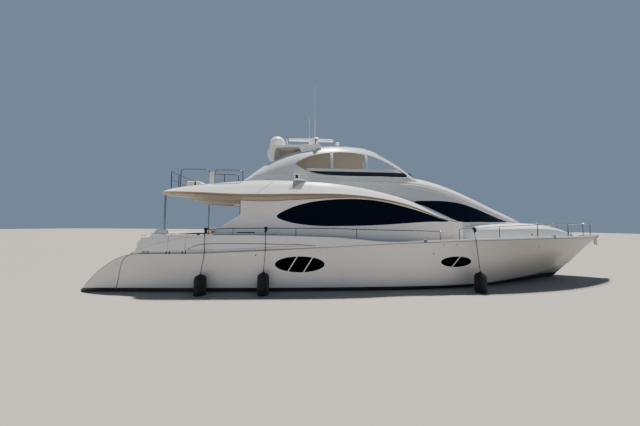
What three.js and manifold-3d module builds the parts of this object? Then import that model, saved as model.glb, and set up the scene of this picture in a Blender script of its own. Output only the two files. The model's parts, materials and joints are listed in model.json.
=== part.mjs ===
// A 25 m open-flybridge motor yacht, afloat, built as an assembly of named pieces.
// Millimetres. +X to the bow, +Y to port, +Z up. The origin is amidships on the centreline, at the waterline.
import * as THREE from 'three';
import * as BufferGeometryUtils from 'three/addons/utils/BufferGeometryUtils.js';
import Module from 'manifold-3d';

const wasm = await Module();
wasm.setup();

// Driving dimensions
const GAP = 0.3; // between pieces that touch
const STERN_X = -12500; // aft end of the swim platform's side wings
const BOW_X = 12450; // stem head at the sheer
const WING_FORE_X = 3330; // foot of the wings between the windows
const STEM_FOOT_X = 9150; // where the keel turns up into the stem
const STEM_CHINE_X = 10720; // where the chines meet the stem
const PLATFORM_TOP = 330;
const PLATFORM_THICKNESS = 100;
const PLATFORM_HALF = 2100;
const TRANSOM_X = -11300; // transom face above the swim platform
const SALOON_SOLE = 1600;
const BULKHEAD_X = -6350; // saloon's aft bulkhead
const SALOON_FORE_X = 450; // step up to the wheelhouse sole
const SHELL = 60; // wall of the deckhouse
const HARDTOP_SHELL = 90;
const BULWARK_WIDTH = 130;
const GATE_AFT_X = -9090; // boarding gate in the raised bulwark
const GATE_FORE_X = -8400;
const GATE_SILL = 90; // fixed bulwark left under the gate
const SEAM = 8; // running gap round gates, doors and lids
const FLY_FLOOR = 4300;
const HEADLINER_Z = 4120;
const FLY_AFT_X = -9720;
const HOUSE_SEAM_X = 1050; // joint of flybridge coaming and wheelhouse
const SIDE_SEAM_X = 3500; // joint of saloon side and wheelhouse base
const SILL_Z = 2900; // top of the cabin side under the wheelhouse windows
const COAMING_TOP = 4960; // lower edge of the flybridge side openings
const RAIL_RADIUS = 18;
const POST_RADIUS = 38;
const FENDER_RADIUS = 225;
const SHAFT_RADIUS = 45;
const PROPELLER_RADIUS = 430;

// Smooth functions of x, one for each named column, without overshoot between the rows.
function lines(names, rows) {
  const xs = rows.map((row) => row[0]);
  const result = {};
  names.forEach((name, column) => {
    const ys = rows.map((row) => row[column + 1]);
    result[name] = hermite(xs, ys);
  });
  return result;
}

function hermite(xs, ys) {
  const last = xs.length - 1;
  const chord = (i) => (ys[i + 1] - ys[i]) / (xs[i + 1] - xs[i]);
  const slope = xs.map((_, i) => {
    if (i === 0) return chord(0);
    if (i === last) return chord(last - 1);
    const before = chord(i - 1);
    const after = chord(i);
    return before * after <= 0 ? 0 : (2 * before * after) / (before + after);
  });
  return (x) => {
    if (x <= xs[0]) return ys[0];
    if (x >= xs[last]) return ys[last];
    const i = xs.findIndex((_, k) => x < xs[k + 1]);
    const width = xs[i + 1] - xs[i];
    const t = (x - xs[i]) / width;
    const rise = ys[i + 1] - ys[i];
    const a = slope[i] * width - rise;
    const b = -slope[i + 1] * width + rise;
    return ys[i] + rise * t + t * (1 - t) * (a * (1 - t) + b * t);
  };
}

// Top edge of the hull side: it sweeps down aft to the swim platform. x, half breadth, height
const sheer = lines(['half', 'z'], [
  [STERN_X, 2560, 60],
  [-11870, 2620, 780],
  [-11460, 2660, 1110],
  [-10850, 2715, 1430],
  [-10400, 2745, 1515],
  [-8400, 2840, 1545],
  [-6200, 2910, 1630],
  [-2600, 2950, 1820],
  [-400, 2935, 1940],
  [2500, 2870, 2050],
  [4700, 2720, 2120],
  [7200, 2300, 2165],
  [9200, 1740, 2170],
  [10600, 1180, 2165],
  [11600, 680, 2160],
  [12200, 300, 2155],
  [BOW_X, 60, 2150],
]);

// Chine, just under the water aft and rising to the stem. x, half breadth, height
const chine = lines(['half', 'z'], [
  [-12350, 2420, -140],
  [-9000, 2560, -120],
  [-4000, 2620, -80],
  [-1000, 2590, -30],
  [2000, 2440, 50],
  [4500, 2050, 150],
  [6500, 1500, 260],
  [8500, 820, 430],
  [9800, 340, 600],
  [STEM_CHINE_X, 40, 720],
]);

// Keel line. x, height
const keel = lines(['z'], [
  [-11750, -600],
  [-8000, -800],
  [-3000, -960],
  [2000, -990],
  [5500, -900],
  [7600, -740],
  [STEM_FOOT_X, -500],
]);

// Top of the raised bulwark aft and of the toe rail forward. x, height, width of the cap
const bulwark = lines(['z', 'width'], [
  [-10560, 1545, 60],
  [-10350, 1700, 100],
  [-10160, 1980, 130],
  [-9800, 2250, BULWARK_WIDTH],
  [-9480, 2330, BULWARK_WIDTH],
  [-9150, 2255, BULWARK_WIDTH],
  [-7700, 2270, BULWARK_WIDTH],
  [-6250, 2280, BULWARK_WIDTH],
  [-2630, 2220, 120],
  [-1530, 2140, 110],
  [-360, 2055, 100],
  [400, 2040, 90],
  [1530, 2090, 90],
  [4720, 2200, 80],
  [7170, 2250, 80],
  [11190, 2265, 70],
  [12300, 2265, 60],
]);

// The long wing that edges the flybridge deck and sweeps down between the windows.
// x, top height, lower edge height, half breadth at the lower edge, soffit height inboard
const wing = lines(['top', 'low', 'half', 'soffit'], [
  [FLY_AFT_X, 4060, 3990, 2250, 3960],
  [-9550, 4090, 3985, 2480, 3940],
  [-9200, 4160, 3980, 2600, 3910],
  [-8650, 4290, 3975, 2650, 3870],
  [-7800, 4400, 3975, 2690, 3820],
  [-6240, 4560, 3975, 2720, 3745],
  [-5350, 4610, 3980, 2725, 3730],
  [-4270, 4600, 4010, 2725, 3800],
  [-2630, 4510, 4030, 2715, 3900],
  [-1550, 4390, 3990, 2680, 3945],
  [-450, 4180, 3880, 2590, 3860],
  [650, 3910, 3675, 2470, 3660],
  [1600, 3560, 3385, 2370, 3375],
  [2450, 3220, 3065, 2270, 3055],
  [WING_FORE_X, 2900, 2890, 2190, 2885],
]);

// Outside of the deckhouse. x, half breadth of the side, half breadth and height of the brow's lower edge,
// height of the top on the centreline
const house = lines(['side', 'brow', 'browZ', 'top'], [
  [-6400, 2120, 2120, 4560, 4600],
  [-4000, 2130, 2060, 4600, 5100],
  [-1200, 2150, 2040, 4630, 5160],
  [600, 2170, 2000, 4560, 5180],
  [1600, 2150, 1970, 4420, 5130],
  [2300, 2130, 1930, 4290, 4990],
  [3070, 2080, 1880, 4090, 4760],
  [3800, 1990, 1810, 3840, 4480],
  [4500, 1870, 1700, 3590, 4200],
  [5350, 1660, 1520, 3260, 3860],
  [6200, 1370, 1270, 3020, 3530],
  [7000, 1000, 930, 2940, 3220],
  [7600, 640, 600, 2880, 2990],
  [8100, 180, 160, 2790, 2810],
]);

// Outside of the hardtop and its legs, on the centreline. x, height, half breadth at the base
const arch = lines(['top', 'half'], [
  [-6380, 4830, 2080],
  [-5820, 5440, 2070],
  [-5340, 5820, 2060],
  [-4960, 6065, 2055],
  [-4390, 6330, 2050],
  [-3950, 6470, 2045],
  [-2870, 6670, 2035],
  [-2080, 6720, 2030],
  [-910, 6640, 2020],
  [-120, 6390, 2010],
  [280, 6140, 2005],
  [870, 5690, 1990],
  [1500, 5070, 1960],
]);

// Raised foredeck trunk. x, half breadth at the deck, height on the centreline
const trunk = lines(['half', 'top'], [
  [3500, 2125, 2860],
  [3950, 2255, 2875],
  [5000, 2200, 2880],
  [6500, 2000, 2885],
  [7800, 1740, 2870],
  [8600, 1500, 2790],
  [9300, 1230, 2660],
  [9900, 950, 2500],
  [10450, 620, 2290],
]);

// Cabin side of the saloon: it sweeps down aft beside the cockpit. x, half breadth, top height
const SALOON_SIDE_AFT = [
  [-7560, 2330],
  [-7290, 2560],
  [-7030, 2750],
  [-6780, 2910],
  [-6500, 3080],
  [-6420, 3140],
];

const WING_XS = [FLY_AFT_X, -9550, -9200, -8650, ...stations(-8000, 1040, 14), 1600, 2100, 2600, WING_FORE_X];
const wallHalf = hermite([-7600, -6000, -1000, 2000, SIDE_SEAM_X], [2290, 2270, 2240, 2190, 2110]);

// Outlines seen from the side, as x and z pairs that a smooth closed curve passes through
const SALOON_WINDOW = [
  [-4870, 3070],
  [-4300, 3430],
  [-3300, 3720],
  [-1770, 3860],
  [-500, 3800],
  [700, 3560],
  [1750, 3260],
  [2350, 3050],
  [2800, 2925],
  [1800, 2890],
  [-200, 2745],
  [-1800, 2680],
  [-3300, 2690],
  [-4400, 2850],
];
const WHEELHOUSE_WINDOW = [
  [1300, 3795],
  [1900, 3850],
  [2700, 3850],
  [3500, 3770],
  [4300, 3570],
  [5000, 3345],
  [5700, 3120],
  [6150, 2990],
  [6330, 2935],
  [6100, 2915],
  [4400, 2912],
  [3450, 2915],
  [2700, 3200],
  [2000, 3520],
];
const FLY_OPENING = [
  [-4120, 5490],
  [-3700, 5790],
  [-3050, 6020],
  [-2200, 6140],
  [-1300, 6110],
  [-500, 5940],
  [100, 5700],
  [600, 5400],
  [1080, 4985],
  [-300, 4940],
  [-2100, 4940],
  [-3050, 5000],
  [-3650, 5150],
  [-4000, 5330],
];

// Materials: base colour, roughness, metalness, opacity
const finish = (color, roughness, metalness = 0, opacity = 1) =>
  new THREE.MeshStandardMaterial({ color, roughness, metalness, opacity, transparent: opacity < 1 });
const MATERIALS = {
  hullWhite: finish(0xe2dfd8, 0.22),
  gelcoat: finish(0xeeeeea, 0.25),
  nonskid: finish(0xd9dadb, 0.65),
  teak: finish(0xa9825a, 0.7),
  darkGlass: finish(0x0a1020, 0.06, 0, 0.85),
  clearTint: finish(0x1b2024, 0.08, 0, 0.7),
  stainless: finish(0xc9ccd0, 0.18, 1),
  bronze: finish(0x9a7b45, 0.35, 1),
  cover: finish(0xe6e4de, 0.85),
  fenderBlack: finish(0x121316, 0.9),
  domeWhite: finish(0xf2f2ef, 0.35),
};

// Solids from meshes
function toSolid(geometry) {
  const bare = geometry.clone();
  for (const name of Object.keys(bare.attributes)) {
    if (name !== 'position') bare.deleteAttribute(name);
  }
  const merged = BufferGeometryUtils.mergeVertices(bare, 0.001);
  const mesh = new wasm.Mesh({
    numProp: 3,
    vertProperties: new Float32Array(merged.attributes.position.array),
    triVerts: new Uint32Array(merged.index.array),
  });
  return new wasm.Manifold(mesh);
}

function toGeometry(solid) {
  const mesh = solid.getMesh();
  const geometry = new THREE.BufferGeometry();
  geometry.setAttribute('position', new THREE.BufferAttribute(new Float32Array(mesh.vertProperties), 3));
  geometry.setIndex(new THREE.BufferAttribute(new Uint32Array(mesh.triVerts), 1));
  geometry.computeVertexNormals();
  return geometry;
}

function join(...geometries) {
  return toGeometry(geometries.map(toSolid).reduce((sum, next) => sum.add(next)));
}

function cut(geometry, ...tools) {
  return toGeometry(tools.map(toSolid).reduce((rest, tool) => rest.subtract(tool), toSolid(geometry)));
}

function common(first, second) {
  return toGeometry(toSolid(first).intersect(toSolid(second)));
}

function mirrored(geometry) {
  const copy = geometry.clone();
  const position = copy.attributes.position;
  for (let i = 0; i < position.count; i += 1) position.setY(i, -position.getY(i));
  const flip = copy.index.array;
  for (let i = 0; i < flip.length; i += 3) [flip[i + 1], flip[i + 2]] = [flip[i + 2], flip[i + 1]];
  copy.computeVertexNormals();
  return copy;
}

// Shapes
function box(low, high) {
  const geometry = new THREE.BoxGeometry(high[0] - low[0], high[1] - low[1], high[2] - low[2]);
  geometry.translate((low[0] + high[0]) / 2, (low[1] + high[1]) / 2, (low[2] + high[2]) / 2);
  return geometry;
}

function cylinder(radius, length, sides, axis, centre, topRadius = radius) {
  const geometry = new THREE.CylinderGeometry(topRadius, radius, length, sides);
  if (axis === 'z') geometry.rotateX(Math.PI / 2);
  if (axis === 'x') geometry.rotateZ(-Math.PI / 2);
  geometry.translate(...centre);
  return geometry;
}

function drawnOut(points, depth) {
  const shape = new THREE.Shape(points.map(([a, b]) => new THREE.Vector2(a, b)));
  return new THREE.ExtrudeGeometry(shape, { depth, bevelEnabled: false });
}

// A closed smooth outline through the points, sampled finely enough to look round
function smoothOutline(points, samples) {
  const knots = points.map(([a, b]) => new THREE.Vector3(a, b, 0));
  const curve = new THREE.CatmullRomCurve3(knots, true, 'centripetal');
  return curve.getPoints(samples).slice(0, -1).map((p) => [p.x, p.y]);
}

// An outline in x and z, drawn out along y
function sidePrism(points, yLow, yHigh) {
  const geometry = drawnOut(points, yHigh - yLow);
  geometry.rotateX(Math.PI / 2);
  geometry.translate(0, yHigh, 0);
  return geometry;
}

// An outline in x and y, drawn out along z
function planPrism(points, zLow, zHigh) {
  const geometry = drawnOut(points, zHigh - zLow);
  geometry.translate(0, 0, zLow);
  return geometry;
}

// An outline moved inwards by a small distance, measured from its centre
function shrunk(points, distance) {
  const mean = (column) => points.reduce((sum, p) => sum + p[column], 0) / points.length;
  const centre = [mean(0), mean(1)];
  return points.map(([a, b]) => {
    const reach = Math.hypot(a - centre[0], b - centre[1]);
    const keep = (reach - distance) / reach;
    return [centre[0] + (a - centre[0]) * keep, centre[1] + (b - centre[1]) * keep];
  });
}

// A closed body through rings of points that all have the same count; symmetric rings give symmetric faces
function loft(rings) {
  const count = rings[0].length;
  const positions = rings.flat(2);
  const index = [];
  for (let r = 0; r + 1 < rings.length; r += 1) {
    for (let k = 0; k < count; k += 1) {
      const a = r * count + k;
      const b = r * count + ((k + 1) % count);
      if (k < count / 2) index.push(a, b, b + count, a, b + count, a + count);
      else index.push(a, b, a + count, b, b + count, a + count);
    }
  }
  const capFaces = (ring, offset, reverse) => {
    const flat = ring.map((p) => new THREE.Vector2(p[1], p[2]));
    if (THREE.ShapeUtils.isClockWise(flat)) flat.reverse();
    const turned = flat[0].x !== ring[0][1] || flat[0].y !== ring[0][2];
    THREE.ShapeUtils.triangulateShape(flat, []).forEach((face) => {
      const corners = face.map((i) => offset + (turned ? count - 1 - i : i));
      index.push(...(reverse !== turned ? corners.reverse() : corners));
    });
  };
  capFaces(rings[0], 0, true);
  capFaces(rings[rings.length - 1], (rings.length - 1) * count, false);
  const geometry = new THREE.BufferGeometry();
  geometry.setAttribute('position', new THREE.Float32BufferAttribute(positions, 3));
  geometry.setIndex(index);
  if (signedVolume(geometry) < 0) {
    for (let i = 0; i < index.length; i += 3) [index[i + 1], index[i + 2]] = [index[i + 2], index[i + 1]];
    geometry.setIndex(index);
  }
  geometry.computeVertexNormals();
  return geometry;
}

function signedVolume(geometry) {
  const p = geometry.attributes.position;
  const index = geometry.index.array;
  const corner = (i) => new THREE.Vector3().fromBufferAttribute(p, index[i]);
  let sum = 0;
  for (let i = 0; i < index.length; i += 3) sum += corner(i).dot(corner(i + 1).cross(corner(i + 2)));
  return sum;
}

// A ring that is the same on both sides, from a half section given as x, y, z points
function bothSides(half) {
  const port = half.filter((p) => p[1] > 0);
  const low = half[0][1] === 0 ? [half[0]] : [];
  const high = half[half.length - 1][1] === 0 ? [half[half.length - 1]] : [];
  const starboard = port.map(([x, y, z]) => [x, -y, z]).reverse();
  return [...low, ...port, ...high, ...starboard];
}

function stations(from, to, count) {
  return Array.from({ length: count + 1 }, (_, i) => from + ((to - from) * i) / count);
}

// A round bar along a smooth curve or along straight lines with rounded corners
function bar(points, radius, sides = 6, steps = 24) {
  const path = new THREE.CatmullRomCurve3(points.map((p) => new THREE.Vector3(...p)), false, 'centripetal');
  const section = new THREE.Shape();
  section.absarc(0, 0, radius, 0, Math.PI * 2);
  return new THREE.ExtrudeGeometry(section, {
    steps,
    bevelEnabled: false,
    extrudePath: path,
    curveSegments: sides / 2,
  });
}

// Straight round bar between two points
function strut(from, to, radius, sides = 6) {
  const start = new THREE.Vector3(...from);
  const run = new THREE.Vector3(...to).sub(start);
  const geometry = new THREE.CylinderGeometry(radius, radius, run.length(), sides);
  geometry.translate(0, run.length() / 2, 0);
  const turn = new THREE.Quaternion().setFromUnitVectors(new THREE.Vector3(0, 1, 0), run.normalize());
  geometry.applyQuaternion(turn);
  geometry.translate(start.x, start.y, start.z);
  return geometry;
}

// Upper part of a rounded section, from the side edge at angle 0 to the centreline at a right angle
function roundedTop(x, half, base, top, power, count) {
  return Array.from({ length: count + 1 }, (_, i) => {
    const angle = (Math.PI / 2) * (i / count);
    const y = i === count ? 0 : half * Math.cos(angle) ** (2 / power);
    return [x, y, base + (top - base) * Math.sin(angle) ** (2 / power)];
  });
}

// Sections of the hull as shares of its length, closer together at the ends
const HULL_SHARES = stations(0, 1, 32).map((s) => 0.5 * s + 0.5 * (0.5 - 0.5 * Math.cos(Math.PI * s)));
const DECK_XS = HULL_SHARES.map((u) => STERN_X + (BOW_X - STERN_X) * u);

// Stations between two places that include the hull's own, so that a foot follows the deck's facets
function deckStations(from, to) {
  return [from, ...DECK_XS.filter((x) => x > from + 60 && x < to - 60), to];
}

// Height on straight facets between the hull's stations
function faceted(height) {
  return (x) => {
    const next = DECK_XS.findIndex((station) => station >= x);
    if (next <= 0) return height(x);
    const [x0, x1] = [DECK_XS[next - 1], DECK_XS[next]];
    return height(x0) + ((height(x1) - height(x0)) * (x - x0)) / (x1 - x0);
  };
}

const deckZ = faceted(sheer.z);

// Hull: bottom, chine and flared topsides, closed by the deck at the sheer
function hullBody() {
  const rings = HULL_SHARES.map((u) => {
    const keelX = -11750 + (STEM_FOOT_X + 11750) * u;
    const chineX = -12350 + (STEM_CHINE_X + 12350) * u;
    const sheerX = STERN_X + (BOW_X - STERN_X) * u;
    const low = [keelX, 0, keel.z(keelX)];
    const corner = [chineX, chine.half(chineX), chine.z(chineX)];
    const edge = [sheerX, sheer.half(sheerX), sheer.z(sheerX)];
    const flare = 0.62 + 0.75 * u ** 3;
    const mid = low.map((v, i) => (v + corner[i]) / 2 - (i === 2 ? 25 : 0));
    const sides = [0.22, 0.48, 0.74].map((w) => [
      corner[0] + (edge[0] - corner[0]) * w,
      corner[1] + 30 + (edge[1] - corner[1] - 30) * w ** flare,
      corner[2] + (edge[2] - corner[2]) * w,
    ]);
    const rail = [corner[0] + 5, corner[1] + 30, corner[2] + 12];
    return bothSides([low, mid, corner, rail, ...sides, edge]);
  });
  return loft(rings);
}

function keelFin() {
  return sidePrism([[-6500, -700], [-6200, -1250], [3200, -1250], [4600, -880], [4600, -700]], -80, 80);
}

// Steps from the swim platform up to the cockpit, one flight each side of the transom
const QUARTER_STAIR = { risers: 4, tread: 300, top: 1515, inner: 1420 };

function stairCuts() {
  const { risers, tread, top, inner } = QUARTER_STAIR;
  const rise = (top - PLATFORM_TOP) / risers;
  return stations(0, risers - 2, risers - 2).flatMap((step) => {
    const from = step === 0 ? TRANSOM_X - 10 : TRANSOM_X + tread * step;
    const to = TRANSOM_X + tread * (step + 1);
    const well = box([from, inner, PLATFORM_TOP + rise * step], [to, PLATFORM_HALF, 1700]);
    return [well, mirrored(well)];
  });
}

const DOOR_HALF = 360; // transom door
const DOOR_LOW = 420;
const DOOR_HIGH = 1090;
const HULL_WINDOWS = [
  { x: -3840, z: 1115, half: 1000, height: 325 },
  { x: 2780, z: 1190, half: 700, height: 230 },
];

function ellipse(x, z, half, height, segments = 28) {
  return Array.from({ length: segments }, (_, i) => {
    const angle = (2 * Math.PI * i) / segments;
    return [x + half * Math.cos(angle), z + height * Math.sin(angle)];
  });
}

// The shallow recess in which a hull window sits, on one side
function windowRecess({ x, z, half, height }) {
  const depth = 35;
  const slab = [];
  for (const station of stations(x - half - 60, x + half + 60, 8)) {
    const inner = topsideHalf(station, z) - depth;
    slab.push([
      [station, inner, z - height - 60],
      [station, inner + 400, z - height - 60],
      [station, inner + 400, z + height + 60],
      [station, inner, z + height + 60],
    ]);
  }
  return common(loft(slab), sidePrism(ellipse(x, z, half, height), 1500, 3400));
}

// Half breadth of the topside at a height, between chine and sheer
function topsideHalf(x, z) {
  const u = (x - STERN_X) / (BOW_X - STERN_X);
  const w = (z - chine.z(x)) / (sheer.z(x) - chine.z(x));
  return chine.half(x) + 30 + (sheer.half(x) - chine.half(x) - 30) * w ** (0.62 + 0.75 * u ** 3);
}

function makeHull() {
  const saloonWell = box([BULKHEAD_X + 60, -2120, SALOON_SOLE], [SALOON_FORE_X, 2120, 2600]);
  const platformWell = box(
    [STERN_X - 200, -PLATFORM_HALF, PLATFORM_TOP - PLATFORM_THICKNESS],
    [TRANSOM_X, PLATFORM_HALF, 2600],
  );
  const doorRecess = box([TRANSOM_X - 10, -DOOR_HALF, DOOR_LOW], [TRANSOM_X + 60, DOOR_HALF, DOOR_HIGH]);
  const recesses = HULL_WINDOWS.map(windowRecess).flatMap((piece) => [piece, mirrored(piece)]);
  return cut(join(hullBody(), keelFin()), saloonWell, platformWell, doorRecess, ...stairCuts(), ...recesses);
}

function makePlatform() {
  const low = PLATFORM_TOP - PLATFORM_THICKNESS + GAP;
  const side = PLATFORM_HALF - GAP;
  const aft = STERN_X + 40;
  const outline = [
    [TRANSOM_X - GAP, -side],
    [TRANSOM_X - GAP, side],
    [aft + 350, side],
    [aft + 80, side - 250],
    [aft, side - 900],
    [aft, -side + 900],
    [aft + 80, -side + 250],
    [aft + 350, -side],
  ];
  return planPrism(outline, low, PLATFORM_TOP);
}

// Transom box between the stairs, whose forward side is the back of the cockpit settee
function makeTransom() {
  const profile = [
    [TRANSOM_X + 20, 1215],
    [TRANSOM_X + 80, 1900],
    [TRANSOM_X + 300, 2140],
    [-10480, 2140],
    [-10420, 2080],
    [-10420, 1100],
    [TRANSOM_X + 20, 1100],
  ];
  const block = sidePrism(profile, -1400, 1400);
  return cut(block, deckBelow);
}

function lifted(geometry, height) {
  return geometry.clone().translate(0, 0, height);
}

// The hull's outside lifted by a small gap, to cut what stands on the deck
function raisedHull(lift) {
  return lifted(hullBody(), lift);
}

function makeTransomDoor() {
  const x = TRANSOM_X;
  const half = DOOR_HALF - SEAM;
  const plate = box([x + 8, -half, DOOR_LOW + SEAM], [x + 48, half, DOOR_HIGH - SEAM]);
  const handle = box([x - 12, -DOOR_HALF + 60, 720], [x + 10, -DOOR_HALF + 90, 820]);
  const knuckles = [520, 990].flatMap((z) => [
    cylinder(5.5, 60, 12, 'z', [x - 5.9, DOOR_HALF + 6, z]),
    box([x - 11, DOOR_HALF - 30, z - 30], [x + 10, half, z + 30]),
    box([x - 11, DOOR_HALF - 15, z - 30], [x - 0.5, DOOR_HALF + 6, z + 30]),
  ]);
  return join(plate, handle, ...knuckles);
}

// Bulwark and toe rail on the port side, from the quarter to the bow
function bulwarkBody() {
  const rings = deckStations(-10540, 12290).map((x) => {
    const outer = sheer.half(x) - 2;
    const low = deckZ(x) + GAP;
    const high = Math.max(bulwark.z(x), low + 15);
    const lean = 0.06 * (high - low);
    const inner = Math.max(outer - bulwark.width(x), 4);
    return [
      [x, outer, low],
      [x, outer - lean, high - 22],
      [x, outer - lean - Math.min(25, bulwark.width(x) / 3), high],
      [x, inner - lean * 0.5, high],
      [x, inner, low],
    ];
  });
  return loft(rings);
}

function gateBox(clearance) {
  const sill = sheer.z(GATE_FORE_X) + GATE_SILL;
  return box([GATE_AFT_X + clearance, 2300, sill + clearance], [GATE_FORE_X - clearance, 3200, 2600]);
}

function makeBulwark() {
  return cut(bulwarkBody(), gateBox(0));
}

// Upper hinge of the gate: a knuckle inboard of the forward seam, on a short leaf
const GATE_HINGE = { x: -8404, y: 2672, radius: 16, low: 2180, high: 2220 };

function makeGate() {
  const { x, y, radius, low, high } = GATE_HINGE;
  const knuckle = cylinder(radius, high - low, 12, 'z', [x, y, (low + high) / 2]);
  const leaf = box([x - 46, y - 8, low], [x, y + 23, high]);
  return join(common(bulwarkBody(), gateBox(SEAM)), knuckle, leaf);
}

// Deckhouse outside, offset inwards by an amount; the base reaches down to the deck
function houseRing(x, inset) {
  const side = house.side(x) - inset;
  const brow = Math.max(house.brow(x) - inset, 20);
  const base = sheer.z(x) + 20 + Math.min(inset, 0);
  const lip = 45;
  const low = Math.min(SILL_Z, house.browZ(x) - 60);
  const half = [
    [x, Math.max(side, 30), base],
    [x, Math.max(side - 10, 30), low],
    [x, Math.max(brow - lip, 20), house.browZ(x) - 25],
    ...roundedTop(x, brow, house.browZ(x), Math.max(house.top(x) - inset, house.browZ(x) + 10), 2.5, 5),
  ];
  return bothSides([[x, 0, base], ...half]);
}

function houseBody(inset, shortened = 0) {
  const xs = stations(-6400, 8100, 28);
  return loft(xs.map((x, i) => {
    const shift = i === 0 ? shortened : -shortened;
    const move = i === 0 || i === xs.length - 1 ? shift : 0;
    return houseRing(x, inset).map(([px, y, z]) => [px + move, y, z]);
  }));
}

// Side view of everything above the wing's upper edge, to part the house from the wing
function aboveWing(from, to) {
  return [from, ...WING_XS.filter((x) => x > from + 20 && x < to - 20), to].map((x) => [x, wing.top(x) + 2]);
}

function houseShell() {
  return cut(houseBody(0), houseBody(SHELL, 90), box([-6500, -2040, 3000], [-6200, 2040, 5000]));
}

// Port coaming of the flybridge, with the passage to the boat deck left open inboard of it
const PASSAGE = { half: 1350, fore: -4350 };

function makeCoaming(shell) {
  const [from, to] = [-6380, HOUSE_SEAM_X - GAP];
  const region = [...aboveWing(from, to), [to, COAMING_TOP], [from, COAMING_TOP]];
  const passage = box([from - 100, 0, 3000], [PASSAGE.fore, PASSAGE.half, 5300]);
  return cut(common(shell, sidePrism(region, 0, 3000)), passage);
}

// Windscreen opening in the front of the wheelhouse, seen from above
const WINDSCREEN_PLAN = [
  [4350, -1180],
  [5300, -1080],
  [6300, -800],
  [7050, -480],
  [7350, 0],
  [7050, 480],
  [6300, 800],
  [5300, 1080],
  [4350, 1180],
  [4050, 0],
];

function makeWheelhouse(shell) {
  const region = [
    ...aboveWing(HOUSE_SEAM_X, WING_FORE_X),
    [SIDE_SEAM_X, SILL_Z + 2],
    [SIDE_SEAM_X, 1900],
    [8200, 1900],
    [8200, 5600],
    [HOUSE_SEAM_X, 5600],
  ];
  const body = common(shell, sidePrism(region, -3000, 3000));
  const side = sidePrism(smoothOutline(WHEELHOUSE_WINDOW, 34), 900, 3000);
  const screen = planPrism(smoothOutline(WINDSCREEN_PLAN, 28), 2950, 5600);
  const fly = box([-1000, -1900, FLY_FLOOR + 20], [1900, 1900, 4760]);
  const flyWell = box([HOUSE_SEAM_X - 10, -1550, 4700], [1500, 1550, 5600]);
  return cut(body, side, mirrored(toGeometry(toSolid(side))), screen, fly, flyWell);
}

// Glass let into its opening, a little inside the outer face of the wall
function makeWheelhouseGlass() {
  const prism = sidePrism(shrunk(smoothOutline(WHEELHOUSE_WINDOW, 34), 1.2), 900, 3000);
  return common(cut(houseBody(10), houseBody(34)), prism);
}

function makeWindscreen() {
  const prism = planPrism(shrunk(smoothOutline(WINDSCREEN_PLAN, 28), 1.2), 2900, 5600);
  return common(cut(houseBody(10), houseBody(34)), prism);
}

// Saloon side, port: a wall that follows the deck below and the wing's soffit above
const saloonAftTop = lines(['top'], SALOON_SIDE_AFT).top;

function saloonTop(x) {
  if (x < -6420) return saloonAftTop(x);
  return x > WING_FORE_X + 5 ? SILL_Z : wing.soffit(x) - 12;
}

function saloonWall(inset, thickness) {
  const swept = SALOON_SIDE_AFT.slice(1).map((p) => p[0]);
  const joints = [...swept, -6380, ...WING_XS.filter((x) => x > -6300), WING_FORE_X + 10];
  const xs = [...deckStations(-7560, SIDE_SEAM_X - GAP), ...joints].sort((a, b) => a - b);
  return loft(xs.map((x) => {
    const outer = wallHalf(x) - inset;
    const low = deckZ(x) + GAP;
    return [
      [x, outer, low],
      [x, outer, saloonTop(x)],
      [x, outer - thickness, saloonTop(x)],
      [x, outer - thickness, low],
    ];
  }));
}

function makeSaloonSide() {
  const window = sidePrism(smoothOutline(SALOON_WINDOW, 34), 1500, 3000);
  return cut(saloonWall(0, SHELL), window);
}

function makeSaloonGlass() {
  const prism = sidePrism(shrunk(smoothOutline(SALOON_WINDOW, 34), 1.2), 1500, 3000);
  return common(saloonWall(10, 24), prism);
}

// Inner edge of a wing aft of the wheelhouse
function wingInner(x) {
  return wing.half(x) - Math.min(430, 90 + (wing.top(x) - wing.low(x)) * 0.9);
}

// Flybridge deck with the side wings and the soffit over the cockpit
function wingBody() {
  return loft(WING_XS.map((x) => {
    const low = wing.low(x);
    const top = Math.max(wing.top(x), low + 8);
    const half = wing.half(x);
    const inner = x > -1500 ? Math.min(half - 60, wallHalf(x) - 30) : wingInner(x);
    const slope = Math.min(400, 60 + (top - low) * 0.62, half - inner - 20);
    return [
      [x, half, low],
      [x, half - slope * 0.24, low + (top - low) * 0.28],
      [x, half - slope * 0.58, low + (top - low) * 0.66],
      [x, half - slope, top],
      [x, inner, top - 6],
      [x, inner, Math.min(wing.soffit(x), low)],
    ];
  }));
}

// Floor between the wings: it stops above the wheelhouse, where its underside is the saloon's headliner
function flyFloorBody() {
  return loft(WING_XS.filter((x) => x <= HOUSE_SEAM_X).map((x) => {
    const over = x > -1550;
    const low = over ? HEADLINER_Z : wing.soffit(x);
    const edge = Math.min(wing.half(x) - 100, 2080);
    const side = over ? 1918 - 0.016 * Math.max(x, 0) : wing.half(x) - 60;
    return bothSides([
      [x, 0, over ? low : low + 60],
      [x, edge - 500, over ? low : low + 60],
      [x, edge - 250, low],
      [x, side, over ? low : (low + wing.low(x)) / 2],
      [x, over ? side : wingInner(x) - 10, wingFloor(x)],
      [x, 0, wingFloor(x)],
    ]);
  }));
}

function wingFloor(x) {
  return x > -8000 ? FLY_FLOOR : Math.min(wing.top(x) - 15, FLY_FLOOR);
}

// Well of the stair between cockpit and flybridge
const FLY_STAIR = { aft: -7960, fore: -6450, inner: 1250, outer: 1950 };

function makeFlyDeck() {
  const port = wingBody();
  const { aft, fore, inner, outer } = FLY_STAIR;
  return cut(join(flyFloorBody(), port, mirrored(port)), box([aft, inner, 3500], [fore, outer, 4800]));
}

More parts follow.
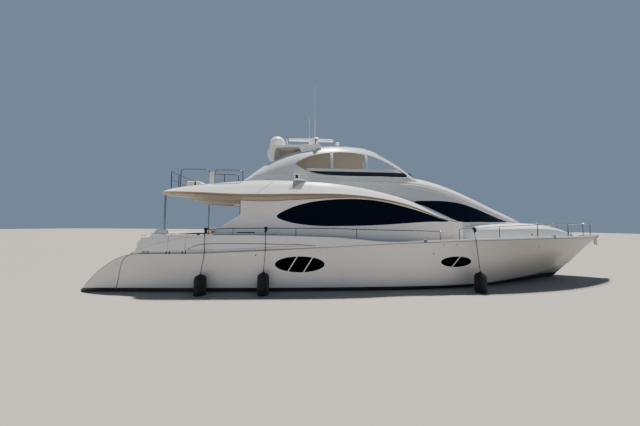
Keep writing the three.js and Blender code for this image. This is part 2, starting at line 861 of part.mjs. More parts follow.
// Hardtop: a rounded shell on four legs, open at both sides, the front and the back
function archRing(x, inset) {
  const base = 4560;
  const top = Math.max(arch.top(x) - inset, base + 60);
  const half = roundedTop(x, arch.half(x) - 60 - inset, base, top, 2.9, 6);
  return bothSides([[x, 0, base - 200], [x, arch.half(x) - 60 - inset, base - 200], ...half]);
}

function archBody(inset, overrun = 0) {
  const xs = stations(-6380, 1500, 18);
  return loft(xs.map((x, i) => {
    const shift = (i === 0 ? -overrun : 0) + (i === xs.length - 1 ? overrun : 0);
    return archRing(x, inset).map(([px, y, z]) => [px + shift, y, z]);
  }));
}

function makeHardtop() {
  const hole = sidePrism(smoothOutline(FLY_OPENING, 38), -3000, 3000);
  const mullions = [-2460, -850].map((x) => box([x - 60, -3000, 5290], [x + 60, 3000, 6300]));
  const below = box([-7000, -3000, 3000], [2000, 3000, 4420]);
  const aft = [[-7000, -1350], [-4700, -1350], [-4250, -900], [-4250, 900], [-4700, 1350], [-7000, 1350]];
  const fore = [[-420, -1050], [-150, -1520], [2000, -1620], [2000, 1620], [-150, 1520], [-420, 1050]];
  const ends = [aft, fore].map((outline) => planPrism(outline, 4000, 7000));
  const hollow = archBody(HARDTOP_SHELL, 200);
  const walls = cut(archBody(0), hollow, cut(hole, ...mullions), below, ...ends);
  const seated = cut(walls, houseBody(-GAP, -1), flyDeckBelow);
  return join(seated, ...makeWhips());
}

// Whip aerials on the shoulders of the hardtop
function makeWhips() {
  return [
    { x: -3490, y: 1600 },
    { x: -3330, y: -1600 },
  ].flatMap(({ x, y }) => [
    strut([x, y, 5990], [x, y, 7700], 21),
    strut([x, y, 7650], [x - 10, y, 9280], 10),
  ]);
}

// Tinted strip under a grab bar, filling the foot of the flybridge side opening
function makeSideScreen() {
  const opening = shrunk(smoothOutline(FLY_OPENING, 38), 0.6);
  const foot = box([-3620, 1000, 4800], [1500, 3000, 5280]);
  return common(cut(archBody(25), archBody(60, 1)), common(sidePrism(opening, 1000, 3000), foot));
}

// The same body with x and y exchanged, for a loft that runs across the yacht
function turnedAcross(geometry) {
  const copy = geometry.clone();
  const p = copy.attributes.position;
  for (let i = 0; i < p.count; i += 1) p.setXYZ(i, p.getY(i), p.getX(i), p.getZ(i));
  const flip = copy.index.array;
  for (let i = 0; i < flip.length; i += 3) [flip[i + 1], flip[i + 2]] = [flip[i + 2], flip[i + 1]];
  return copy;
}

// Low screen round the front of the flybridge, raked aft
function makeFlyWindscreen() {
  const thickness = 24;
  const rake = 210;
  const rings = stations(-1450, 1450, 12).map((y) => {
    const front = 1760 - 0.00011 * y * y;
    const top = 5320 - 0.000035 * y * y;
    return [
      [y, front + 0.7 * rake, top - 365],
      [y, front - rake, top],
      [y, front - thickness - rake, top],
      [y, front - thickness + 0.7 * rake, top - 365],
    ];
  });
  return cut(turnedAcross(loft(rings)), houseBody(-GAP, -1));
}

// Mast: a broad hoop over the hardtop that carries the dome, the scanner and the searchlight
const MAST = { half: 1480, crownHalf: 1050, top: 6580, scannerX: -3400 };

function makeMast() {
  const profile = [
    [-2900, 6200],
    [-2930, 6470],
    [-3060, 6545],
    [-3680, 6535],
    [-3840, 6495],
    [-4500, 6480],
    [-5180, 6480],
    [-5300, 6400],
    [-5440, 6230],
    [-5480, 6040],
    [-5410, 5820],
    [-5280, 5600],
    [-5080, 5600],
    [-5140, 5800],
    [-5120, 6190],
    [-5050, 6330],
    [-4520, 6370],
    [-3980, 6370],
    [-3850, 6100],
  ];
  const crown = [
    [-3160, 6500],
    [-3200, 6640],
    [-3600, 6660],
    [-4300, MAST.top],
    [-5180, MAST.top],
    [-5240, 6380],
  ];
  const hoop = sidePrism(profile, -MAST.half, MAST.half);
  const top = cut(join(hoop, sidePrism(crown, -MAST.crownHalf, MAST.crownHalf)), archBody(-GAP));
  const pedestal = cylinder(140, 550, 16, 'z', [MAST.scannerX, 0, 6895], 95);
  const aerial = strut([-4690, 250, MAST.top - 20], [-4830, 250, 7500], 20);
  return join(top, pedestal, aerial, makeSearchlight());
}

// The searchlight stands on the mast's shoulder, below the sweep of the scanner
function makeSearchlight() {
  const [x, y, z] = [-3200, -1330, 6770];
  const foot = cylinder(90, 160, 14, 'z', [x, y, 6590], 70);
  return join(foot, new THREE.SphereGeometry(155, 14, 9).translate(x, y, z));
}

function makeDome() {
  const radius = 410;
  const profile = [
    [0, 0],
    [300, 0],
    [300, 90],
    [390, 150],
    [radius, 230],
    [radius, 450],
    [radius * 0.94, 590],
    [radius * 0.77, 720],
    [radius * 0.5, 815],
    [radius * 0.18, 857],
    [0, 860],
  ];
  const geometry = new THREE.LatheGeometry(profile.map(([r, z]) => new THREE.Vector2(r, z)), 20);
  geometry.rotateX(Math.PI / 2);
  geometry.translate(-5200, 0, MAST.top + GAP);
  return geometry;
}

function makeScanner() {
  const z = 7255;
  const beam = box([MAST.scannerX - 1260, -65, z - 75], [MAST.scannerX + 1260, 65, z + 75]);
  const hub = cylinder(90, 80, 16, 'z', [MAST.scannerX, 0, z - 44.6]);
  return join(beam, hub);
}

// Flybridge rails
function fenceLoop(x0, x1, y, footZ0, footZ1, top) {
  return bar([
    [x0, y, footZ0],
    [x0, y, top - 190],
    [x0 + 45, y, top - 60],
    [x0 + 170, y, top],
    [x1 - 170, y, top],
    [x1 - 45, y, top - 60],
    [x1, y, top - 190],
    [x1, y, footZ1],
  ], RAIL_RADIUS, 6, 15);
}

const FLY_RAIL = { half: 2230, top: 5060 };

function makeFlySideRail() {
  const y = FLY_RAIL.half;
  const foot = (x) => wing.top(x) - 60;
  const aft = fenceLoop(-8970, -7770, y, foot(-8970), foot(-7770), FLY_RAIL.top);
  const fore = fenceLoop(-7560, -6360, y, foot(-7560), foot(-6360), FLY_RAIL.top - 10);
  const panel = box([-7775, y - 20, foot(-7560) + 80], [-7555, y + 20, FLY_RAIL.top - 110]);
  return cut(join(aft, fore, panel), flyDeckBelow);
}

function makeFlyAftRail() {
  const x = -9400;
  const half = 2150;
  const top = 4970;
  const bow = (y) => x - 150 * (1 - (y / half) ** 2);
  const places = [-half, -1400, 0, 1400, half];
  const level = (z) => places.map((y) => [bow(y), y, z]);
  const rail = bar(level(top), RAIL_RADIUS, 6, 10);
  const lower = bar(level(4600), 12, 6, 10);
  const foot = (y) => wingFloor(bow(y)) - 60;
  const posts = places.map((y) => strut([bow(y), y, foot(y)], [bow(y), y, top + 5], RAIL_RADIUS));
  return cut(join(rail, lower, ...posts), flyDeckBelow);
}

// Inboard guard rails; the port one edges the stair well
function makeInnerRail() {
  const top = 5080;
  const y = 1180;
  const foot = FLY_FLOOR + GAP;
  const rail = bar([
    [-8120, y, foot],
    [-8120, y, top - 160],
    [-8080, y, top],
    [-7500, y, top],
    [-6900, y, top],
    [-6840, y, top - 160],
    [-6840, y, foot],
  ], RAIL_RADIUS, 6, 16);
  return join(rail, strut([-7500, y, foot], [-7500, y, top], RAIL_RADIUS));
}

// Stair on the port side between the cockpit and the flybridge
function makeFlyStair() {
  const { aft, fore, inner, outer } = FLY_STAIR;
  const foot = Math.max(deckZ(aft + 20), deckZ(aft + 200)) + GAP;
  const top = FLY_FLOOR - 20;
  const run = fore - GAP - (aft + 200);
  const slope = (z) => (run * (z - foot)) / (top - foot);
  const string = [[aft + 20, foot], [aft + 200, foot], [aft + 200 + run, top], [aft + 20 + run, top]];
  const sides = [[inner + 30, inner + 65], [outer - 65, outer - 30]].map(([a, b]) => sidePrism(string, a, b));
  const treads = stations(1, 8, 7).map((step) => {
    const z = foot + (step * (top - foot)) / 9;
    const x = aft + 40 + slope(z);
    return box([x - 90, inner + 50, z - 35], [x + 150, outer - 50, z]);
  });
  return join(...sides, ...treads);
}

function makeOverhangPost() {
  const x = -9560;
  const y = 2250;
  const foot = sheer.z(x) + GAP;
  const top = wing.soffit(x) - 5;
  const post = strut([x, y, foot], [x, y, top], POST_RADIUS, 12);
  const plate = cylinder(85, 14, 16, 'z', [x, y, foot + 7]);
  return cut(join(post, plate), deckBelow);
}

// Deck rails: they stand along the middle of the bulwark's cap
function railLine(x) {
  return Math.max(sheer.half(x) - 25 - bulwark.width(x) / 2 - 0.05 * (bulwark.z(x) - sheer.z(x)), 60);
}

const capZ = faceted(bulwark.z);

function railFoot(x, radius) {
  return Math.max(capZ(x - radius), capZ(x + radius)) + GAP;
}

function makeSideRail() {
  const run = [
    [-7700, 2500], [-6270, 2550], [-2630, 2570], [-1520, 2540], [-420, 2520], [1340, 2490], [2040, 2465],
  ];
  const rail = bar(run.map(([x, z]) => [x, railLine(x), z]), RAIL_RADIUS, 6, 12);
  const top = hermite(run.map((p) => p[0]), run.map((p) => p[1]));
  const posts = [-7690, -6550, -4020, -1530, 2030].map((x) => strut(
    [x, railLine(x), railFoot(x, RAIL_RADIUS)], [x, railLine(x), top(x) + 4], RAIL_RADIUS - 2, 6));
  return join(rail, ...posts);
}

const BOW_RAIL = [
  [2860, 2560], [3710, 2620], [4700, 2690], [6810, 2780], [8870, 2830], [10300, 2860], [11300, 2890],
];

function makeBowRail() {
  const port = BOW_RAIL.map(([x, z]) => [x, railLine(x), z]);
  const tip = [[11900, 330, 2900], [12100, 120, 2905]];
  const half = [...port, ...tip];
  const rail = bar([...half, ...half.map(([x, y, z]) => [x, -y, z]).reverse()], RAIL_RADIUS + 2, 6, 36);
  const top = hermite(BOW_RAIL.map((p) => p[0]), BOW_RAIL.map((p) => p[1]));
  const posts = [2880, 4770, 6850, 8910, 10300, 11200].map((x) => strut(
    [x, railLine(x), railFoot(x, RAIL_RADIUS)], [x, railLine(x), top(x) + 6], RAIL_RADIUS, 6));
  return join(rail, ...posts, ...posts.map((p) => mirrored(toGeometry(toSolid(p)))));
}

// Foredeck
function makeTrunk() {
  const body = loft(deckStations(SIDE_SEAM_X + SEAM, 10450).map((x) => {
    const base = deckZ(x) + GAP;
    const half = trunk.half(x);
    const top = Math.max(trunk.top(x), base + 40);
    const round = roundedTop(x, half - 40, base + (top - base) * 0.35, top, 3.4, 6);
    return bothSides([[x, 0, base], [x, half, base], ...round]);
  }));
  const { x, half, floor } = HATCH;
  const hatchHole = box([x - half, -half, floor], [x + half, half, 3200]);
  return cut(body, houseBody(-2 * GAP, -1), hatchHole);
}

const HATCH = { x: 9050, half: 300, floor: 2500, proud: 25, thickness: 90 };
const trunkTop = faceted(trunk.top);

function makeHatch() {
  const { x, half, proud, thickness } = HATCH;
  const [aft, fore] = [x - half + SEAM, x + half - SEAM];
  const corners = [[aft, 0], [fore, 0], [fore, -thickness], [aft, -thickness]];
  const lid = corners.map(([px, drop]) => [px, trunkTop(px) + proud + drop]);
  const pin = [x - half + 2, 0, trunkTop(x - half + 2) + 12.65];
  return join(sidePrism(lid, -half + SEAM, half - SEAM), cylinder(12, 200, 10, 'y', pin));
}

function makeWindlass() {
  const x = 11000;
  const deck = sheer.z(x) + GAP;
  const base = cylinder(190, 60, 20, 'z', [x, 0, deck + 30]);
  const drum = cylinder(120, 190, 16, 'z', [x, 0, deck + 150], 95);
  const cap = cylinder(135, 40, 16, 'z', [x, 0, deck + 255]);
  return cut(join(base, drum, cap), deckBelow);
}

function makeAnchor() {
  const deck = 2156;
  const channel = cut(
    box([11650, -95, deck], [12620, 95, deck + 110]),
    box([11600, -70, deck + 25], [12700, 70, deck + 200]),
  );
  const shank = box([11850, -30, deck + 20], [12560, 30, deck + 80]);
  const outline = [[12420, deck + 50], [12580, deck + 60], [12600, 1700], [12250, 1790], [12400, 1960]];
  const flukes = sidePrism(outline, -45, 45);
  return cut(join(channel, shank, flukes), deckBelow, box([12000, -400, 1400], [BOW_X + 2, 400, sheer.z(BOW_X) + 1.5]));
}

// Cockpit and saloon bulkhead
const BULKHEAD_HALF = 2190;
const BULKHEAD_OPENING = 1750; // half width of its glazed opening
const DOOR = { from: -700, to: 250, high: 3560 };

function makeBulkhead() {
  const low = SALOON_SOLE + 90;
  const foot = Math.max(deckZ(BULKHEAD_X), deckZ(BULKHEAD_X + 50)) + GAP;
  const plate = box([BULKHEAD_X, -BULKHEAD_HALF, foot], [BULKHEAD_X + 50, BULKHEAD_HALF, 3725]);
  const half = BULKHEAD_OPENING;
  const opening = box([BULKHEAD_X - 10, -half, low], [BULKHEAD_X + 80, half, DOOR.high]);
  return cut(plate, opening);
}

// Fixed glass of the saloon's aft opening, cut out for the door
function makeAftGlass() {
  const low = SALOON_SOLE + 90 + GAP;
  const half = BULKHEAD_OPENING - GAP;
  const pane = box([BULKHEAD_X + 5, -half, low], [BULKHEAD_X + 20, half, DOOR.high - GAP]);
  return cut(pane, box([BULKHEAD_X, DOOR.from - 10, 0], [BULKHEAD_X + 30, DOOR.to + 10, DOOR.high - 100]));
}

function makeSaloonDoor() {
  const low = SALOON_SOLE + 90.5;
  const high = DOOR.high - 5;
  const [from, to] = [DOOR.from - 20, DOOR.to + 40];
  const plate = box([BULKHEAD_X + 26, from, low], [BULKHEAD_X + 46, to, high]);
  const opening = box([BULKHEAD_X, from + 80, low + 80], [BULKHEAD_X + 80, to - 80, high - 80]);
  const pane = box([BULKHEAD_X + 32, from + 75, low + 75], [BULKHEAD_X + 40, to - 75, high - 75]);
  return join(cut(plate, opening), pane);
}

function makeCockpitSettee() {
  const seat = box([-10415 + GAP, -1350, 1790], [-9800, 1350, 1990]);
  const back = box([-10415 + GAP, -1350, 1980], [-10270, 1350, 2330]);
  const plinth = box([-10415 + GAP, -1300, 1520], [-9860, 1300, 1795]);
  return cut(join(seat, back, plinth), deckBelow);
}

function makeCockpitTable() {
  const x = -9150;
  const foot = sheer.z(x) + 2;
  const table = join(
    cylinder(60, 690, 12, 'z', [x, 0, foot + 345]),
    cylinder(260, 40, 20, 'z', [x, 0, foot + 10]),
    planPrism([[x - 380, -800], [x + 380, -800], [x + 380, 800], [x - 380, 800]], foot + 680, foot + 730),
  );
  return cut(table, deckBelow);
}

// Flybridge fittings
function makeFlyHelm() {
  const profile = [[350, FLY_FLOOR + GAP], [350, 4800], [480, 5060], [860, 5160], [900, FLY_FLOOR + GAP]];
  const wheel = new THREE.TorusGeometry(190, 16, 6, 20);
  wheel.rotateY(Math.PI / 2 - 0.45);
  wheel.translate(300, -420, 4930);
  const hub = strut([300, -420, 4930], [470, -420, 4980], 40);
  const spoke = box([285, -445, 4740], [315, -395, 5120]);
  return join(sidePrism(profile, -1250, 650), wheel, hub, spoke);
}

function makeHelmSeat() {
  const seat = box([-500, -1000, 4820], [0, 180, 4950]);
  const back = sidePrism([[-500, 4900], [-640, 5430], [-540, 5450], [-380, 4900]], -1000, 180);
  const leg = box([-420, -900, FLY_FLOOR + GAP], [-80, 80, 4830]);
  return join(seat, back, leg);
}

function makeFlySettee() {
  const base = FLY_FLOOR + GAP;
  return join(
    box([-3400, 1050, base], [-700, 1660, base + 430]),
    box([-3400, 300, base], [-2800, 1660, base + 430]),
    box([-3400, 1560, base], [-700, 1660, base + 590]),
  );
}

function makeFlyBox() {
  return cut(box([-8800, -1950, FLY_FLOOR - 100], [-8200, -1350, FLY_FLOOR + 300]), flyDeckBelow);
}

function makeHelmDash() {
  const base = sheer.z(6100) + 19.5;
  return sidePrism([[4300, base], [4300, 2780], [4500, 2870], [6100, 2870], [6100, base]], -1150, 1150);
}

// Running gear, port
const RUDDER_HEAD_Z = -440.2; // top of the rudder stock, just under the hull
const GEAR = { y: 1150, propX: -10250, propZ: -1010, slope: 0.105, rudderX: -11050 };

function shaftZ(x) {
  return GEAR.propZ + (x - GEAR.propX) * GEAR.slope;
}

function bottomZ(x, y) {
  const low = keel.z(x);
  const high = chine.z(x);
  return low + ((high - low) * y) / chine.half(x);
}

// A point on the port shaft's centreline
function onShaft(x) {
  return [x, GEAR.y, shaftZ(x)];
}

function makeShaft() {
  const line = strut(onShaft(GEAR.propX + 190), onShaft(-5200), SHAFT_RADIUS, 12);
  const barrel = strut(onShaft(-10040), onShaft(-9720), 85, 12);
  const legs = [-225, 225].map((dy) => strut(onShaft(-9880), [-9700, GEAR.y + dy, -300], 34, 8));
  return cut(join(line, barrel, ...legs), hullDown(GAP));
}

// The hull's outside lowered by a small gap, to cut what hangs under it
function hullDown(drop) {
  return join(hullBody(), keelFin()).translate(0, 0, -drop);
}

function makePropeller() {
  const hub = strut(onShaft(GEAR.propX - 160), onShaft(GEAR.propX + 189.5), 80, 14);
  const blades = Array.from({ length: 4 }, (_, i) => {
    const blade = new THREE.BoxGeometry(26, 250, PROPELLER_RADIUS - 60);
    blade.translate(0, 0, (PROPELLER_RADIUS - 60) / 2 + 60);
    const p = blade.attributes.position;
    for (let k = 0; k < p.count; k += 1) {
      const reach = p.getZ(k) / PROPELLER_RADIUS;
      const twist = 0.95 - 0.45 * reach;
      const y = p.getY(k) * (reach > 0.5 ? 0.72 : 0.6);
      p.setXYZ(k, p.getX(k) + y * Math.sin(twist), y * Math.cos(twist), p.getZ(k));
    }
    blade.rotateX((i * Math.PI) / 2);
    return blade;
  });
  const tilt = Math.atan(GEAR.slope);
  const set = blades.map((blade) => blade.rotateY(-tilt).translate(GEAR.propX, GEAR.y, shaftZ(GEAR.propX)));
  return join(hub, ...set);
}

function makeRudder() {
  const x = GEAR.rudderX;
  const outline = [[x - 330, -560], [x + 170, -600], [x + 200, -1350], [x - 240, -1350]];
  const blade = sidePrism(outline, GEAR.y - 28, GEAR.y + 28);
  const radius = 34;
  const stock = strut([x, GEAR.y, -1200], [x, GEAR.y, bottomZ(x, GEAR.y) + 100], radius, 12);
  const head = box([x - 400, GEAR.y - 200, RUDDER_HEAD_Z], [x + 400, GEAR.y + 200, 0]);
  return cut(join(blade, stock), head);
}

// Fender hung on its line, which runs up over the bulwark and is tied round the rail
function makeFender({ x, top, length, railZ, railRadius }) {
  const y = -(sheer.half(x) + FENDER_RADIUS + 12);
  const radius = FENDER_RADIUS;
  const profile = [
    [0, 0],
    [radius * 0.55, 12],
    [radius * 0.88, 70],
    [radius, 170],
    [radius, length - 170],
    [radius * 0.88, length - 70],
    [radius * 0.5, length - 12],
    [60, length],
    [50, length + 40],
    [0, length + 45],
  ];
  const body = new THREE.LatheGeometry(profile.map(([r, z]) => new THREE.Vector2(r, z)), 12);
  body.rotateX(Math.PI / 2);
  body.translate(x, y, top - length);
  const edge = -(sheer.half(x) + 26);
  const rope = 14;
  const turn = new THREE.TorusGeometry(railRadius + rope + 1, rope, 6, 12);
  turn.rotateY(Math.PI / 2);
  turn.translate(x, -railLine(x), railZ);
  const line = bar([
    [x, y, top + 20],
    [x, y + 60, top + 300],
    [x, edge - 6, sheer.z(x) - 60],
    [x, edge - 4, bulwark.z(x) - 20],
    [x, -(sheer.half(x) - 20), bulwark.z(x) + 60],
    [x, -railLine(x), railZ - railRadius - rope - 2],
  ], rope, 6, 9);
  return join(body, line, turn);
}

// The assembly
const yacht = new THREE.Group();
yacht.name = 'motor_yacht';

function add(name, geometry, material) {
  const mesh = new THREE.Mesh(geometry, material);
  mesh.name = name;
  yacht.add(mesh);
}

// A piece made for the port side, with its mirror image to starboard
function addPair(name, geometry, material) {
  const port = geometry.index ? geometry : toGeometry(toSolid(geometry));
  add(`${name}_port`, port, material);
  add(`${name}_starboard`, mirrored(port), material);
}

const deckBelow = raisedHull(GAP);
const flyDeck = makeFlyDeck();
const flyDeckBelow = lifted(flyDeck, GAP);
const shell = houseShell();
add('hull', makeHull(), MATERIALS.hullWhite);
add('swim_platform', makePlatform(), MATERIALS.teak);
add('transom', makeTransom(), MATERIALS.gelcoat);
add('transom_door', makeTransomDoor(), MATERIALS.gelcoat);
addPair('bulwark', makeBulwark(), MATERIALS.gelcoat);
addPair('boarding_gate', makeGate(), MATERIALS.gelcoat);
add('foredeck_trunk', makeTrunk(), MATERIALS.gelcoat);
add('foredeck_hatch', makeHatch(), MATERIALS.clearTint);
addPair('saloon_side', makeSaloonSide(), MATERIALS.gelcoat);
addPair('saloon_window', makeSaloonGlass(), MATERIALS.darkGlass);
add('saloon_bulkhead', makeBulkhead(), MATERIALS.gelcoat);
add('saloon_aft_glass', makeAftGlass(), MATERIALS.darkGlass);
add('saloon_door', makeSaloonDoor(), MATERIALS.darkGlass);
add('wheelhouse', makeWheelhouse(shell), MATERIALS.gelcoat);
addPair('wheelhouse_window', makeWheelhouseGlass(), MATERIALS.darkGlass);
add('windscreen', makeWindscreen(), MATERIALS.darkGlass);
add('helm_dash', makeHelmDash(), MATERIALS.nonskid);
add('fly_deck', flyDeck, MATERIALS.gelcoat);
addPair('fly_coaming', makeCoaming(shell), MATERIALS.gelcoat);
add('hardtop', makeHardtop(), MATERIALS.gelcoat);
addPair('side_screen', makeSideScreen(), MATERIALS.clearTint);
add('fly_windscreen', makeFlyWindscreen(), MATERIALS.clearTint);
add('mast', makeMast(), MATERIALS.gelcoat);
add('satellite_dome', makeDome(), MATERIALS.domeWhite);
add('radar_scanner', makeScanner(), MATERIALS.domeWhite);
addPair('fly_rail', makeFlySideRail(), MATERIALS.stainless);
add('fly_rail_aft', makeFlyAftRail(), MATERIALS.stainless);
addPair('inner_rail', makeInnerRail(), MATERIALS.stainless);
add('fly_stair', makeFlyStair(), MATERIALS.gelcoat);
addPair('overhang_post', makeOverhangPost(), MATERIALS.stainless);
addPair('side_rail', makeSideRail(), MATERIALS.stainless);
add('bow_rail', makeBowRail(), MATERIALS.stainless);
add('windlass', makeWindlass(), MATERIALS.stainless);
add('anchor', makeAnchor(), MATERIALS.stainless);
add('cockpit_settee', makeCockpitSettee(), MATERIALS.cover);
add('cockpit_table', makeCockpitTable(), MATERIALS.teak);
add('fly_helm', makeFlyHelm(), MATERIALS.gelcoat);
add('helm_seat', makeHelmSeat(), MATERIALS.cover);
add('fly_settee', makeFlySettee(), MATERIALS.cover);
add('fly_box', makeFlyBox(), MATERIALS.cover);
addPair('shaft', makeShaft(), MATERIALS.stainless);
addPair('propeller', makePropeller(), MATERIALS.bronze);
addPair('rudder', makeRudder(), MATERIALS.bronze);
[
  { name: 'fender_aft', x: -7640, top: 750, length: 900, railZ: 2502, railRadius: RAIL_RADIUS },
  { name: 'fender_middle', x: -5240, top: 830, length: 900, railZ: 2564, railRadius: RAIL_RADIUS },
  { name: 'fender_fore', x: 3550, top: 800, length: 850, railZ: 2609, railRadius: RAIL_RADIUS + 2 },
].forEach((fender) => add(fender.name, makeFender(fender), MATERIALS.fenderBlack));

export default yacht;
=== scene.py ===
import json
import logging
import math
from collections.abc import Callable, Iterable, Sequence
from dataclasses import dataclass, field
from enum import Enum

import bmesh
import bpy
import numpy as np
from mathutils import Matrix, Vector
from mathutils.bvhtree import BVHTree

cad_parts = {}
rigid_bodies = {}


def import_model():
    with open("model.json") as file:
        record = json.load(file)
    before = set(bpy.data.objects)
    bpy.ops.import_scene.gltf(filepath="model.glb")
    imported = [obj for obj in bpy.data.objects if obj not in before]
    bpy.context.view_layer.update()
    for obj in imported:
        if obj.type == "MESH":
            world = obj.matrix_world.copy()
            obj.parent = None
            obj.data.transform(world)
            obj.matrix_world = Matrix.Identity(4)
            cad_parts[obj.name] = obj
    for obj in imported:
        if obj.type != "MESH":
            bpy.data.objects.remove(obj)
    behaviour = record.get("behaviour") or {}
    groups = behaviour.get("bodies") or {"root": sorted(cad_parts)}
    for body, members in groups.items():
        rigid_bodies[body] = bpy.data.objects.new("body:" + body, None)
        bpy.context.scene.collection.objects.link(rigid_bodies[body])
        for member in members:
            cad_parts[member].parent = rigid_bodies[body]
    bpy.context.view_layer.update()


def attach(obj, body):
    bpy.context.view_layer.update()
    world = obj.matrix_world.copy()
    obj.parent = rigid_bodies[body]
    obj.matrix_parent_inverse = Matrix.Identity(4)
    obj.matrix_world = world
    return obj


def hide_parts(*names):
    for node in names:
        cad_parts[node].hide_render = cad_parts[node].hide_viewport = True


# The looks of an open-flybridge motor yacht afloat. Metres, +X to the bow, +Y to port, +Z up, water at z 0.

log = logging.getLogger("yacht")
Point = tuple[float, float, float]
Colour = tuple[float, float, float]
Obj = bpy.types.Object
Curve = Callable[[float], float]

UP = (0, 0, 1)
ORIGIN = (0, 0, 0)
AIR = 0.0003  # left between a piece and what carries it, so that they don't overlap
STERN_X, BOW_X = -12.5, 12.45
KEEL_AFT_X, CHINE_AFT_X = -11.75, -12.35
STEM_FOOT_X, STEM_CHINE_X = 9.15, 10.72
PLATFORM_WELL_HALF, SIDE_DECK_Z = 2.1, 1.515
TEAK_FORE_X = 3.4
HOUSE_AFT_X, HOUSE_FORE_X = -6.4, 8.1
ARCH_AFT_X, ARCH_FORE_X, ARCH_BASE = -6.38, 1.5, 4.56
PLATFORM_TOP = 0.33
TRANSOM_X = -11.3
BULKHEAD_X = -6.35
SALOON_FORE_X = 0.45
SHELL = 0.06
FLY_FLOOR = 4.3
FLY_AFT_X = -9.72
HEADLINER_Z = 4.12
HEADLINER_AFT_X = -1.55
SOFFIT_HALF = 2.08
HOUSE_SEAM_X = 1.05
SIDE_SEAM_X = 3.5
SILL_Z = 2.9
COAMING_TOP = 4.96
WING_FORE_X = 3.33
GATE_AFT_X, GATE_FORE_X = -9.09, -8.4
STAIR_WELL = (-7.96, -6.45, 1.25, 1.95)
SEAM = 0.008
RAIL_RADIUS = 0.018
FENDER_RADIUS = 0.225
CUSHION_CORNER, BOX_CORNER = 0.22, 0.16


class Cut(Enum):
    """What a solid does to the one it meets."""

    AWAY = "DIFFERENCE"
    SHARED = "INTERSECT"
    ADDED = "UNION"


class Axis(Enum):
    """The axis that an outline is drawn out along."""

    X = 0
    Y = 1
    Z = 2


# Curves and tables


def hermite(xs: Sequence[float], ys: Sequence[float]) -> Curve:
    """A smooth function through points that never overshoots them.

    Args:
        xs: Places, rising.
        ys: Values there.

    Returns:
        The function, flat beyond both ends.
    """
    chords = [(ys[i + 1] - ys[i]) / (xs[i + 1] - xs[i]) for i in range(len(xs) - 1)]
    slopes = [chords[0]]
    for before, after in zip(chords, chords[1:]):
        slopes.append(0.0 if before * after <= 0 else 2 * before * after / (before + after))
    slopes.append(chords[-1])

    def value(x: float) -> float:
        """The value at x."""
        if x <= xs[0]:
            return ys[0]
        if x >= xs[-1]:
            return ys[-1]
        i = next(k for k in range(len(xs) - 1) if x < xs[k + 1])
        width, rise = xs[i + 1] - xs[i], ys[i + 1] - ys[i]
        t = (x - xs[i]) / width
        a, b = slopes[i] * width - rise, rise - slopes[i + 1] * width
        return ys[i] + rise * t + t * (1 - t) * (a * (1 - t) + b * t)

    return value


def softened(curve: Curve, low: float, high: float, reach: float) -> Curve:
    """The same curve with its bends eased, so that highlights run along it without a kink.

    Args:
        curve: Function to ease.
        low: Where it starts.
        high: Where it ends.
        reach: Length over which it is averaged.

    Returns:
        The eased function.
    """
    step = 0.025
    places = np.arange(low, high + step, step)
    values = np.array([curve(x) for x in places])
    half = max(1, int(2.5 * reach / step))
    half = min(half, len(values) - 1)
    weights = np.exp(-0.5 * (np.arange(-half, half + 1) * step / reach) ** 2)
    before = 2 * values[0] - values[half:0:-1]
    after = 2 * values[-1] - values[-2:-half - 2:-1]
    eased = np.convolve(np.concatenate([before, values, after]), weights / weights.sum(), "valid")
    return lambda x: float(np.interp(x, places, eased))


class Lines:
    """Smooth functions of x, one for each named column of a table."""

    def __init__(self, names: str, rows: Sequence[Sequence[float]], reach: float = 0.12) -> None:
        """Keeps each column as a function under its name.

        Args:
            names: Column names after x, with spaces between.
            rows: Table rows, x first.
            reach: Length over which the bends are eased.
        """
        self.xs = [row[0] / 1000 for row in rows]
        for column, name in enumerate(names.split(), start=1):
            curve = hermite(self.xs, [row[column] / 1000 for row in rows])
            setattr(self, name, softened(curve, self.xs[0], self.xs[-1], reach))


def catmull(points: Sequence[Sequence[float]], steps: int, closed: bool = False) -> list[tuple[float, ...]]:
    """Points along a smooth curve through the given ones.

    Args:
        points: Points that the curve passes through.
        steps: Points made for each stretch.
        closed: Whether the curve meets its own start.

    Returns:
        The points, without a repeated end when closed.
    """
    knots = [Vector(p) for p in points]
    count = len(knots)
    result = []
    for i in range(count if closed else count - 1):
        b, c = knots[i], knots[(i + 1) % count]
        a = knots[i - 1] if closed or i > 0 else b * 2 - c
        d = knots[(i + 2) % count] if closed or i + 2 < count else c * 2 - b
        gaps = [max((q - p).length, 1e-9) ** 0.5 for p, q in ((a, b), (b, c), (c, d))]
        start = ((b - a) / gaps[0] - (c - a) / (gaps[0] + gaps[1]) + (c - b) / gaps[1]) * gaps[1]
        end = ((c - b) / gaps[1] - (d - b) / (gaps[1] + gaps[2]) + (d - c) / gaps[2]) * gaps[1]
        for k in range(steps):
            t = k / steps
            result.append(tuple(
                b + start * t + (c * 3 - b * 3 - start * 2 - end) * t**2 + (b * 2 - c * 2 + start + end) * t**3))
    if not closed:
        result.append(tuple(knots[-1]))
    return result


def spread(low: float, high: float, count: int) -> list[float]:
    """Evenly spaced places from low to high, count stretches long."""
    return [low + (high - low) * i / count for i in range(count + 1)]


def turns(count: int) -> list[float]:
    """Evenly spaced angles round one turn."""
    return [2 * math.pi * i / count for i in range(count)]


def squared(turn: float, power: float) -> tuple[float, float]:
    """A point of a unit square with round corners, at an angle; a small power gives tight corners."""
    return tuple(math.copysign(abs(c) ** power, c) for c in (math.cos(turn), math.sin(turn)))


